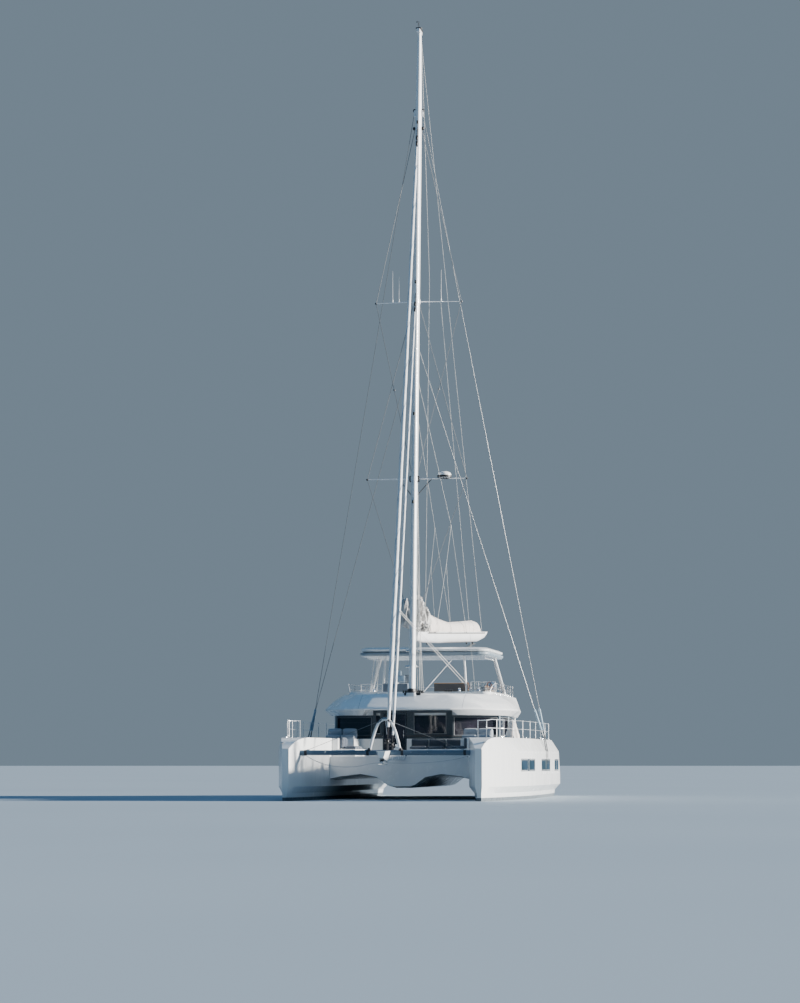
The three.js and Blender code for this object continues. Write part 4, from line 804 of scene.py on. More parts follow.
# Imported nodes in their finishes

# Columns: node, finish, material slot, rounded edge in millimetres, angle that stays sharp. A star
# stands for each side in turn.
DRESSED = (
    ("bridgedeck", "gelcoat", "gelcoat", 12, 40),
    ("keel_*", "bottom", "keel_paint", 0, 40),
    ("rudder_*", "bottom", "keel_paint", 0, 40),
    ("saildrive_*", "drive", "drive_paint", 0, 40),
    ("propeller_*", "bronze", "bronze", 0, 40),
    ("engine_*", "casting", "engine", 20, 30),
    ("engine_hatch_*", "gelcoat", "gelcoat", 4, 35),
    ("saloon_glass_*", "glass", "dark_glass", 0, 30),
    ("front_door", "glass", "dark_glass", 3, 30),
    ("aft_door", "glass", "dark_glass", 4, 30),
    ("saloon_furniture", "joinery", "wood", 10, 30),
    ("flybridge_stairs", "gelcoat", "gelcoat", 8, 30),
    ("flybridge_table", "teak", "wood", 6, 30),
    # The helm console takes a finish of painted shade.
    ("helm_console", "console", "gelcoat", 15, 30),
    ("steering_wheel", "steel", "steel", 0, 60),
    ("mast", "spar", "spar", 0, 40),
    ("lower_spreaders", "spar", "spar", 0, 60),
    ("upper_spreaders", "spar", "spar", 0, 60),
    ("radar_dome", "gelcoat", "gelcoat", 0, 50),
    ("cap_shroud_*", "wire", "steel", 0, 60),
    ("lower_shroud_*", "wire", "steel", 0, 60),
    ("boom", "spar", "spar", 0, 40),
    ("longeron", "gelcoat", "gelcoat", 8, 35),
    ("anchor", "steel", "steel", 4, 35),
    ("cockpit_table", "teak", "wood", 6, 30),
    ("guardrail_*", "rail", "steel", 0, 60),
    ("flybridge_rail", "steel", "steel", 0, 60),
    ("bathing_ladder", "steel", "steel", 0, 60),
)


class DressHulls(bpy.types.Operator):
    """Paint the hulls, with a tread on their decks"""

    bl_idname = "catamaran.dress_hulls"
    bl_label = "Hull finish"

    def execute(self, context):
        for name, _ in SIDES:
            bm = merged_copy(f"hull_{name}")
            soften(bm, 0.014, angle=24.0)
            for face in bm.faces:
                middle = face.calc_center_median()
                flat = face.normal.z > 0.985 and middle.z > 0.4
                clear = abs(abs(middle.x) - HULL_X) < 1.2 and face.calc_area() > 0.05
                face.material_index = 1 if flat and clear else 0
            piece = finished(
                bm, f"hull_{name}_shell", ["topsides", "non_slip"], angle=24.0, outward=False,
            )
            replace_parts(level(piece), f"hull_{name}")
        return {"FINISHED"}


class DressNodes(bpy.types.Operator):
    """Give each remaining hard piece its rounded edges and its finish"""

    bl_idname = "catamaran.dress_nodes"
    bl_label = "Hard pieces"

    def execute(self, context):
        for pattern, finish, slot, rounding, angle in DRESSED:
            names = [name for name, _ in SIDES] if "*" in pattern else [""]
            for node in [pattern.replace("*", name) for name in names]:
                bm = merged_copy(node)
                if rounding:
                    soften(bm, rounding / 1000)
                body = frame["nodes"][node]["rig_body"]
                piece = finished(bm, f"{node}_piece", finish, body, angle, outward=False)
                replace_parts(level(piece) if rounding else piece, node)
        return {"FINISHED"}


# Hull lights, deck hatches and deck fittings


def hull_tree(name):
    """A tree that finds points on a packed hull."""
    bm = merged_copy(f"hull_{name}")
    tree = BVHTree.FromBMesh(bm)
    bm.free()
    return tree


def wrap_on_hull(verts, tree, side):
    """Moves points whose x is a height off the skin onto the outside of a hull."""
    for vert in verts:
        proud = vert.co.x
        hit = tree.ray_cast(Vector((side * 6.0, vert.co.y, vert.co.z)), Vector((-side, 0.0, 0.0)))[0]
        if hit is None:
            raise RuntimeError(f"no hull skin beside {vert.co}")
        vert.co.x = hit.x + side * proud


def rounded_pane(low, high, radius, steps=4):
    """The outline of an upright pane with round corners, as pairs of y and z."""
    corners = (
        (high[0] - radius, high[1] - radius, 0), (low[0] + radius, high[1] - radius, 1),
        (low[0] + radius, low[1] + radius, 2), (high[0] - radius, low[1] + radius, 3),
    )
    return [
        (y + radius * math.cos(a), z + radius * math.sin(a))
        for y, z, quarter in corners
        for a in (math.pi / 2 * (quarter + k / steps) for k in range(steps + 1))
    ]


def add_wrapped_pane(bm, tree, side, low, high, radius, base, top, ring=0.0):
    """A pane, or a frame of a given width, that follows the hull's curve."""
    made = bmesh.new()
    outlines = [rounded_pane(low, high, radius)]
    if ring:
        outlines.append(rounded_pane(
            (low[0] + ring, low[1] + ring), (high[0] - ring, high[1] - ring), radius * 0.6,
        ))
    loops = [add_loop(made, [(base, y, z) for y, z in outline]) for outline in outlines]
    if ring:
        bmesh.ops.bridge_loops(made, edges=[edge for _, edges in loops for edge in edges])
    else:
        made.faces.new(loops[0][0])
    thicken(made, list(made.faces), (top - base, 0.0, 0.0))
    count = max(2, round((high[0] - low[0]) / 0.3))
    for k in range(1, count):
        cut_across(made, (0.0, low[0] + (high[0] - low[0]) * k / count, 0.0), (0.0, 1.0, 0.0))
    wrap_on_hull(made.verts, tree, side)
    if side < 0:
        bmesh.ops.reverse_faces(made, faces=list(made.faces))
    mesh = bpy.data.meshes.new("pane")
    made.to_mesh(mesh)
    made.free()
    bm.from_mesh(mesh)
    bpy.data.meshes.remove(mesh)


# Columns: aft from and to of each light in the topsides, in metres.
HULL_LIGHTS = ((4.30, 6.85), (8.45, 11.30), (13.00, 15.10))
LIGHT_Z = (1.03, 1.49)
LIGHT_FRAME = 0.045
# How far the back of each pane and frame lies inside the skin.
LIGHT_SUNK = -0.006
# Columns: aft from and to, height from and to, corner radius and standing height of each raised strip.
HULL_STRIPS = (
    (8.60, 15.60, 0.93, 0.975, 0.02, 0.010),
    (2.30, 14.10, 1.700, 1.735, 0.015, 0.008),
)


class BuildHullLights(bpy.types.Operator):
    """Set the dark lights and their raised frames in the topsides"""

    bl_idname = "catamaran.build_hull_lights"
    bl_label = "Hull lights"

    def execute(self, context):
        for name, side in SIDES:
            tree = hull_tree(name)
            frames, panes = bmesh.new(), bmesh.new()
            for start, end in HULL_LIGHTS:
                low, high = (start - LENGTH / 2, LIGHT_Z[0]), (end - LENGTH / 2, LIGHT_Z[1])
                add_wrapped_pane(
                    frames, tree, side, (low[0] - LIGHT_FRAME, low[1] - LIGHT_FRAME),
                    (high[0] + LIGHT_FRAME, high[1] + LIGHT_FRAME), 0.09, LIGHT_SUNK, 0.009, LIGHT_FRAME,
                )
                add_wrapped_pane(panes, tree, side, low, high, 0.055, LIGHT_SUNK, 0.003)
                middle, span = (low[0] + high[0]) / 2, high[0] - low[0]
                for part in (-1, 1):
                    centre, width = middle + part * span * 0.26, span * 0.22
                    add_wrapped_pane(
                        frames, tree, side, (centre - width, low[1] + 0.03),
                        (centre + width, high[1] - 0.03), 0.05, 0.001, 0.0055, 0.012,
                    )
            for start, end, z0, z1, corner, proud in HULL_STRIPS:
                add_wrapped_pane(
                    frames, tree, side, (start - LENGTH / 2, z0), (end - LENGTH / 2, z1),
                    corner, LIGHT_SUNK, proud,
                )
            finished(frames, f"hull_light_frames_{name}", "gelcoat", angle=30)
            finished(panes, f"hull_lights_{name}", "dark_glass", angle=30)
        return {"FINISHED"}


# Columns: distance to port of the hull's middle, aft, half width and half length of each hatch.
DECK_HATCHES = (
    (0.05, 3.70, 0.26, 0.26), (0.05, 8.00, 0.22, 0.22), (0.42, 11.80, 0.16, 0.22),
)
DECK_LIFT = 0.022


def add_deck_hatch(frame_bm, glass_bm, spot, half_x, half_y):
    """A low framed hatch with a smoked pane and two hinge blocks."""
    inset = 0.035
    add_block(frame_bm, spot, (half_x, half_y, DECK_LIFT), 0.008, 0.004)
    add_block(
        glass_bm, spot + up(DECK_LIFT), (half_x - inset, half_y - inset, 0.006), 0.003, 0.004,
    )
    for way in (-0.55, 0.55):
        hinge = spot + Vector((way * half_x, 0.001 - half_y, 0.0))
        add_block(frame_bm, hinge, (0.03, 0.019, DECK_LIFT + 0.008), 0.004, 0.0)


def add_cleat(bm, spot):
    """A horn cleat on two feet, that points fore and aft."""
    for back in (-0.0525, 0.0525):
        foot = spot + Vector((0.0, back, 0.0))
        add_rod(bm, foot - up(0.003), foot + up(0.045), 0.020, 0.012, 10)
    horns = ((-0.16, 0.062), (-0.09, 0.050), (0.0, 0.046), (0.09, 0.050), (0.16, 0.062))
    add_tube(bm, [spot + Vector((0.0, back, rise)) for back, rise in horns], 0.013, 8)


# Columns: distance to port of the hull's middle, aft, of each cleat.
CLEATS = ((0.42, 2.60), (0.76, 7.05), (0.78, 12.20), (0.62, 14.45))
# Distance aft of each guard-rail post, and the height of the cap on it.
POSTS_BACK = (3.1, 4.5, 6.1, 7.7, 9.2, 10.9, 12.5, 14.1)
POST_CAP = 0.655
POST_BASE = ((0.0, 0.0), (0.046, 0.0), (0.046, 0.006), (0.024, 0.016), (0.021, 0.075), (0.0, 0.075))
# Columns: aft and height of each fairlead.
FAIRLEADS = ((0.30, 2.045), (1.75, 2.235))


class BuildDeckFittings(bpy.types.Operator):
    """Fit hatches, cleats, fairleads and post bases on the side decks"""

    bl_idname = "catamaran.build_deck_fittings"
    bl_label = "Deck fittings"

    def execute(self, context):
        for name, side in SIDES:
            frames, glass, metal = bmesh.new(), bmesh.new(), bmesh.new()
            for x, back, half_x, half_y in DECK_HATCHES:
                add_deck_hatch(frames, glass, at(side * (HULL_X + x), back, DECK_Z), half_x, half_y)
            for x, back in CLEATS:
                add_cleat(metal, at(side * (HULL_X + x), back, DECK_Z))
            rail = BVHTree.FromBMesh(merged_copy(f"guardrail_{name}"))
            for back in POSTS_BACK:
                base = at(0.0, back, DECK_Z)
                base.x = rail.find_nearest(at(side * 4.3, back, DECK_Z + 0.12))[0].x
                add_turned(metal, POST_BASE, base, 12)
                add_ball(metal, base + up(POST_CAP), (0.019, 0.019, 0.012), 6)
            for back, z in FAIRLEADS:
                add_block(metal, at(side * (HULL_X + 0.10), back, z), (0.05, 0.09, 0.035), 0.008, 0.0)
            finished(frames, f"deck_hatch_frames_{name}", "spar", angle=35)
            finished(glass, f"deck_hatch_glass_{name}", "dark_glass", angle=35)
            finished(metal, f"deck_fittings_{name}", "steel", angle=45)
        return {"FINISHED"}


# Trampolines

# Columns: x of the net's inner edge, then aft of its front and back edges.
NET_EDGE = (0.178, 0.912, 4.198)
NET_Z = 1.627
NET_STRAND = 0.0035


class BuildTrampolines(bpy.types.Operator):
    """Weave the two nets between crossbeam, longeron and bridgedeck"""

    bl_idname = "catamaran.build_trampolines"
    bl_label = "Trampolines"

    def execute(self, context):
        cell = context.scene.catamaran_sizes.net_cell
        inner, front, back = NET_EDGE
        for name, side in SIDES:
            tree = hull_tree(name)
            bm = bmesh.new()
            edge = self.hull_edge(tree, side, front, back)
            outline = [at(side * inner, front, NET_Z), at(side * inner, back, NET_Z), *reversed(edge)]
            for first, second in zip(outline, outline[1:] + outline[:1]):
                add_rod(bm, first, second, 0.009, sides=6)
            rows = int((back - front) / cell)
            for k in range(1, rows):
                y = front + cell * k
                reach = self.reach(tree, side, y)
                self.strand(bm, at(side * inner, y, NET_Z), at(side * reach, y, NET_Z))
            columns = int((edge[0].x * side - inner) / cell) + 12
            for k in range(1, columns):
                x = inner + cell * k
                end = self.meets_hull(tree, side, x, front, back)
                if end - front > cell:
                    self.strand(bm, at(side * x, front, NET_Z), at(side * x, end, NET_Z))
            piece = finished(bm, f"trampoline_net_{name}", "net", angle=30, outward=False)
            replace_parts(piece, f"trampoline_{name}")
            lacing = bmesh.new()
            self.lace(lacing, at(side * inner, front, NET_Z), edge[0], Vector((0, -0.07, 0.03)))
            self.lace(lacing, at(side * inner, back, NET_Z), edge[-1], Vector((0, 0.0, -0.03)))
            finished(lacing, f"trampoline_lacing_{name}", "line", angle=50)
        return {"FINISHED"}

    @staticmethod
    def reach(tree, side, back):
        hit = tree.ray_cast(at(side * 0.5, back, NET_Z), Vector((side, 0.0, 0.0)))[0]
        return abs(hit.x) if hit else 3.2

    def hull_edge(self, tree, side, front, back):
        stations = [front + (back - front) * k / 10 for k in range(11)]
        return [at(side * (self.reach(tree, side, y) - 0.010), y, NET_Z) for y in stations]

    def meets_hull(self, tree, side, x, front, back):
        hit = tree.ray_cast(at(side * x, front, NET_Z), Vector((0.0, 1.0, 0.0)))[0]
        if self.reach(tree, side, front) < x:
            return front
        return min(back, hit.y + LENGTH / 2) if hit else back

    @staticmethod
    def strand(bm, a, b):
        turn = Matrix.Rotation(math.pi / 4, 4, "Z")
        bmesh.ops.create_cone(
            bm, cap_ends=True, segments=4, radius1=NET_STRAND, radius2=NET_STRAND,
            depth=(b - a).length, matrix=laid_between(a, b) @ turn,
        )

    @staticmethod
    def lace(bm, a, b, out):
        count = int((b - a).length / 0.12)
        points = []
        for k in range(count + 1):
            spot = a.lerp(b, (k + 0.5) / (count + 1))
            points.append(spot + (out if k % 2 else up(0.004)))
        add_tube(bm, points, 0.004, 5)


# Cabin front, windows and roof details


def add_window_frame(bm, corners, width, depth):
    """A flat frame round a four-cornered opening, standing off along a vector."""
    middle = sum(corners, Vector()) / 4
    inner = [corner + (middle - corner).normalized() * width * 1.4 for corner in corners]
    edges = [edge for ring in (corners, inner) for edge in add_loop(bm, ring)[1]]
    thicken(bm, bmesh.ops.bridge_loops(bm, edges=edges)["faces"], depth)


def upright(x0, x1, y, z0, z1):
    """The corners of an upright opening that faces fore or aft."""
    return [Vector((x, y, z)) for x, z in ((x0, z0), (x1, z0), (x1, z1), (x0, z1))]


def add_grip(bm, foot, rise, off):
    """A bent handle that stands off a door."""
    off = Vector((0.0, off, 0.0))
    add_tube(bm, [foot, foot + off, foot + up(rise) + off, foot + up(rise)], 0.010, 8)


# Columns: x and aft of the two lower corners of each window on the port side.
SIDE_WINDOWS = (
    ((1.50, 6.90), (3.15, 8.00)), ((3.15, 8.00), (3.30, 9.50)),
    ((3.30, 9.50), (3.175, 11.05)), ((3.175, 11.05), (3.05, 12.60)),
)
# Columns: x from and to of the sills and of the openings on the cabin's front.
FRONT_SILLS = ((-1.50, -1.14), (-0.22, 1.50))
FRONT_OPENINGS = ((0.05, 1.29), (-1.40, -1.23))
FRONT_TOP = 3.22
WINDOW_TOP = 3.06
WALL_TOP = 3.12
PILLAR = 0.075
GASKET = 0.022


class BuildCabinTrim(bpy.types.Operator):
    """Frame the saloon windows and doors, and trim the cabin's foot and corners"""

    bl_idname = "catamaran.build_cabin_trim"
    bl_label = "Cabin trim"

    def execute(self, context):
        bm = merged_copy("cabin_walls")
        cut_across(bm, up(SILL_Z - 0.005), up(1.0))
        soften(bm, 0.004, angle=35)
        for face in bm.faces:
            face.material_index = 1 if face.calc_center_median().z > SILL_Z - 0.006 else 0
        piece = finished(bm, "cabin_walls_piece", ["gelcoat", "dark_frame"], angle=35, outward=False)
        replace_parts(level(piece), "cabin_walls")
        self.windows()
        self.front_door()
        self.aft_door()
        return {"FINISHED"}

    @staticmethod
    def windows():
        gaskets, pillars, sills = bmesh.new(), bmesh.new(), bmesh.new()
        low, high = up(SILL_Z + 0.01), up(WINDOW_TOP - 0.01)
        for _, side in SIDES:
            for (x0, back0), (x1, back1) in SIDE_WINDOWS:
                a, b = at(side * x0, back0, 0.0), at(side * x1, back1, 0.0)
                add_bar(sills, a + up(SILL_Z - 0.028), b + up(SILL_Z - 0.028), 0.030, 0.026)
                way = (b - a).normalized()
                out = Vector((way.y, -way.x, 0.0)) * side
                a, b = a + way * PILLAR + out * 0.001, b - way * PILLAR + out * 0.001
                add_window_frame(gaskets, [a + low, b + low, b + high, a + high], GASKET, out * 0.006)
            for (x, back), _ in SIDE_WINDOWS[1:3]:
                spot = at(side * (x - 0.012), back, 0.0)
                add_rod(pillars, spot + up(DECK_Z + 0.01), spot + up(WALL_TOP - 0.004), 0.045, sides=12)
        for x0, x1 in FRONT_SILLS:
            add_slab(
                sills, at(x0, CABIN_FRONT - 0.030, SILL_Z - 0.030),
                at(x1, CABIN_FRONT + 0.004, SILL_Z + 0.004), 0.006,
            )
        front = at(0.0, CABIN_FRONT - 0.001, 0.0).y
        for x0, x1 in FRONT_OPENINGS:
            add_window_frame(
                gaskets, upright(x0, x1, front, SILL_Z + 0.06, FRONT_TOP), GASKET, Vector((0, -0.007, 0)),
            )
        finished(gaskets, "window_gaskets", "rubber", angle=35)
        # The pillars are gelcoat drawn in the grey-blue of painted shade.
        finished(pillars, "window_corner_pillars", "post", angle=40)
        finished(sills, "window_sills", "black", angle=35)

    @staticmethod
    def front_door():
        frames, handles = bmesh.new(), bmesh.new()
        low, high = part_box("front_door")
        corners = upright(low.x + 0.01, high.x - 0.01, low.y + 0.012, low.z + 0.01, high.z - 0.01)
        add_window_frame(frames, corners, 0.06, Vector((0, -0.004, 0)))
        finished(frames, "front_door_frame", "dark_frame", "front_door", 35)
        add_grip(handles, at(-0.33, CABIN_FRONT, 2.28), 0.28, -0.045)
        finished(handles, "front_door_handle", "steel", "front_door", 50)

    @staticmethod
    def aft_door():
        frames, handles = bmesh.new(), bmesh.new()
        low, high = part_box("aft_door")
        for x0, x1 in ((low.x, -0.01), (0.01, high.x)):
            corners = upright(x0 + 0.005, x1 - 0.005, high.y - 0.002, low.z + 0.01, high.z - 0.01)
            add_window_frame(frames, corners, 0.045, Vector((0, 0.007, 0)))
        finished(frames, "aft_door_frame", "spar", "aft_door", 35)
        add_grip(handles, Vector((-0.60, high.y, 2.10)), 0.30, 0.05)
        finished(handles, "aft_door_handle", "steel", "aft_door", 50)


# Columns: x and aft of the tip of the roof on the port side.
ROOF_EDGE = (
    (1.60, 5.85), (2.80, 6.60), (3.62, 8.25), (3.72, 9.90), (3.42, 12.60), (3.20, 14.25), (2.98, 14.80),
)
ROOF_TIP_Z = 3.33
SEAMS_X = (-1.93, 1.99)
ROOF_HATCHES_X = (-1.25, 0.95)
# Columns: height of the ceiling, aft, and x of each lamp in it.
CEILING_LAMPS = (
    (ROOF_Z, 13.4, (-2.2, -0.7, 0.7, 2.2)),
    (HARDTOP_Z, 11.2, (-1.9, -0.9, 0.9, 1.9)),
)
LAMP = ((0.0, 0.0), (0.045, 0.0), (0.045, -0.010), (0.034, -0.014), (0.0, -0.014))


class BuildRoofDetails(bpy.types.Operator):
    """Add the roof's gutter, seams, hatches and lamps"""

    bl_idname = "catamaran.build_roof_details"
    bl_label = "Roof details"

    def execute(self, context):
        bm = merged_copy("flybridge_roof")
        self.round_edges(bm)
        self.crown(bm)
        tree = BVHTree.FromBMesh(bm)
        piece = finished(bm, "flybridge_roof_piece", "gelcoat", angle=26, outward=False)
        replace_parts(level(piece), "flybridge_roof")
        seams = bmesh.new()
        for x in SEAMS_X:
            line = []
            for k in range(9):
                z = ROOF_TIP_Z + 0.03 + (ROOF_TOP_Z - ROOF_TIP_Z - 0.06) * k / 8
                hit = tree.ray_cast(at(x, 0.0, z), Vector((0.0, 1.0, 0.0)))[0]
                line.append(hit + Vector((0, 0.002, 0)))
            add_tube(seams, line, 0.006, 6)
        finished(seams, "roof_seams", "rubber", angle=50)

        gutter = bmesh.new()
        for _, side in SIDES:
            points = smooth_line([at(side * x, back, ROOF_TIP_Z + 0.012) for x, back in ROOF_EDGE], 4)
            seated = []
            for point in points:
                near = tree.find_nearest(point)
                seated.append(near[0] + near[1] * 0.002)
            add_tube(gutter, seated, 0.011, 6)
        finished(gutter, "roof_gutter", "gelcoat", angle=50)

        hatches, glass = bmesh.new(), bmesh.new()
        for x in ROOF_HATCHES_X:
            spot = at(x, 7.75, 6.0)
            spot.z = tree.ray_cast(spot, up(-1.0))[0].z
            add_deck_hatch(hatches, glass, spot, 0.30, 0.26)
        finished(hatches, "roof_hatch_frames", "spar", angle=35)
        finished(glass, "roof_hatch_glass", "dark_glass", angle=35)

        lamps = bmesh.new()
        for z, back, places in CEILING_LAMPS:
            for x in places:
                add_turned(lamps, LAMP, at(x, back, z), 16)
        finished(lamps, "ceiling_lamps", "steel", angle=40)
        return {"FINISHED"}

    @staticmethod
    def on_skirt(point):
        """Whether a point lies on the sloping outer skirt, clear of the wells and the way aft."""
        back = point.y + LENGTH / 2
        inside = abs(point.x) < 2.82 and 7.4 < back < 14.5
        way_out = abs(point.x) < 1.05 and back > 13.9
        return not inside and not way_out

    def round_edges(self, bm):
        """Large rounds along the tip and the top edge of the skirt, small ones elsewhere."""
        join_flat(bm)
        for height, width, segments in ((ROOF_TIP_Z, 0.070, 4), (ROOF_TOP_Z, 0.090, 3)):
            edges = [
                e for e in bent_edges(bm, 12)
                if all(abs(v.co.z - height) < 0.001 and self.on_skirt(v.co) for v in e.verts)
            ]
            round_over(bm, edges, width, segments, clamp=True)
        round_over(bm, bent_edges(bm, 34), 0.012, clamp=True)

    def crown(self, bm):
        """Bulges the skirt between its tip and its top edge."""
        rise = ROOF_TOP_Z - ROOF_TIP_Z
        for k in range(1, 7):
            cut_across(bm, up(ROOF_TIP_Z + rise * k / 7), up(1.0))
        bm.normal_update()
        for vert in bm.verts:
            share = (vert.co.z - ROOF_TIP_Z) / rise
            if 0.02 < share < 0.98 and self.on_skirt(vert.co) and vert.normal.z > 0.15:
                vert.co += vert.normal * 0.065 * math.sin(math.pi * share) * vert.normal.z


# Columns: the two ends of each thin stay under the hardtop, and its radius.
HARDTOP_STAYS = (
    ((1.24, 9.75, 5.47), (0.30, 7.62, 4.00), 0.008),
    ((-1.95, 11.00, 5.46), (-2.15, 11.00, 3.51), 0.017),
    ((-2.07, 11.05, 5.46), (-2.29, 11.05, 3.51), 0.017),
    ((-2.19, 11.10, 5.46), (-2.43, 11.10, 3.51), 0.017),
)
# The inner and outer ends of the panels across, and fore and aft.
PANELS_X = ((-2.05, -0.72), (-0.665, 0.665), (0.72, 2.05))
PANELS_BACK = ((9.95, 11.85), (11.95, 13.85))
# x and aft of the middle of each round corner of the hardtop, and the groove's radius there.
HARDTOP_CORNERS = ((1.95, 13.69), (-1.95, 13.69), (-1.95, 10.11), (1.95, 10.11))
GROOVE_RADIUS = 0.472
POST_FOOT = ((0.0, 0.0), (0.085, 0.0), (0.085, 0.012), (0.052, 0.022), (0.049, 0.05))


class BuildHardtopDetails(bpy.types.Operator):
    """Trim the hardtop with its groove, struts, handrails and panels"""

    bl_idname = "catamaran.build_hardtop_details"
    bl_label = "Hardtop details"

    def execute(self, context):
        bm = merged_copy("hardtop")
        # Between these heights the hardtop's lower band is drawn in the grey-blue of painted shade.
        shaded_band = (HARDTOP_Z + 0.030, HARDTOP_Z + 0.165)
        for z in shaded_band:
            cut_across(bm, up(z), up(1.0))
        soften(bm, 0.006, angle=30)
        for face in bm.faces:
            face.material_index = 1 if shaded_band[0] < face.calc_center_median().z < shaded_band[1] else 0
        piece = finished(bm, "hardtop_piece", ["gelcoat", "post"], angle=30, outward=False)
        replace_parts(level(piece), "hardtop")

        groove = bmesh.new()
        outline = []
        for quarter, corner in enumerate(HARDTOP_CORNERS):
            for k in range(7):
                angle = math.pi / 2 * (quarter + k / 6)
                out = GROOVE_RADIUS * Vector((math.cos(angle), math.sin(angle), 0.0))
                outline.append(at(*corner, HARDTOP_Z + 0.140) + out)
        add_tube(groove, [*outline, outline[0]], 0.020, 6)
        # The groove is drawn in the dark slate of painted shade.
        finished(groove, "hardtop_groove", "beam", angle=50)

        panels = bmesh.new()
        for x0, x1 in PANELS_X:
            for y0, y1 in PANELS_BACK:
                add_slab(panels, at(x0, y0, HARDTOP_Z + 0.326), at(x1, y1, HARDTOP_Z + 0.338), 0.004)
        finished(panels, "solar_panels", "panel", angle=35)

        rods = bmesh.new()
        for _, side in SIDES:
            add_rod(rods, at(side * 2.72, 13.10, 4.10), at(side * 2.42, 12.30, HARDTOP_Z + 0.03), 0.018)
            ends = ((10.20, 0.0), (10.20, 0.075), (12.60, 0.075), (12.60, 0.0))
            add_tube(rods, [at(side * 2.30, back, HARDTOP_Z - drop) for back, drop in ends], 0.013, 8)
        for a, b, radius in HARDTOP_STAYS:
            add_rod(rods, at(*a), at(*b), radius, sides=8)
        finished(rods, "hardtop_rods", "rail", angle=50)

        feet = bmesh.new()
        for _, side in SIDES:
            add_turned(feet, POST_FOOT, at(side * 1.669, 9.85, FLY_SOLE_Z), 16)
        finished(feet, "hardtop_post_feet", "steel", angle=40)
        return {"FINISHED"}


# Mast fittings and the taut lines on the mast


def on_mast(around, z, off=0.0):
    """A point on the mast's skin at a height; around is an angle from port towards aft."""
    share = 1.0 if z < HOUNDS_Z else 1.0 - 0.38 * (z - HOUNDS_Z) / (MAST_HEAD[1] - HOUNDS_Z)
    x = (MAST_HALF[0] * share + off) * math.cos(around)
    y = (MAST_HALF[1] * share + off) * math.sin(around)
    return at(x, mast_back(z) + y, z)


FRONT, AFT_SIDE = -math.pi / 2, math.pi / 2
MAST_DRUM = (
    (0.0, -0.04), (0.055, -0.04), (0.055, 0.0), (0.042, 0.012), (0.036, 0.05), (0.046, 0.085),
    (0.046, 0.10), (0.0, 0.10),
)
RADAR_FOOT = ((0.0, 0.0), (0.16, 0.0), (0.19, 0.02), (0.19, 0.055), (0.0, 0.055))


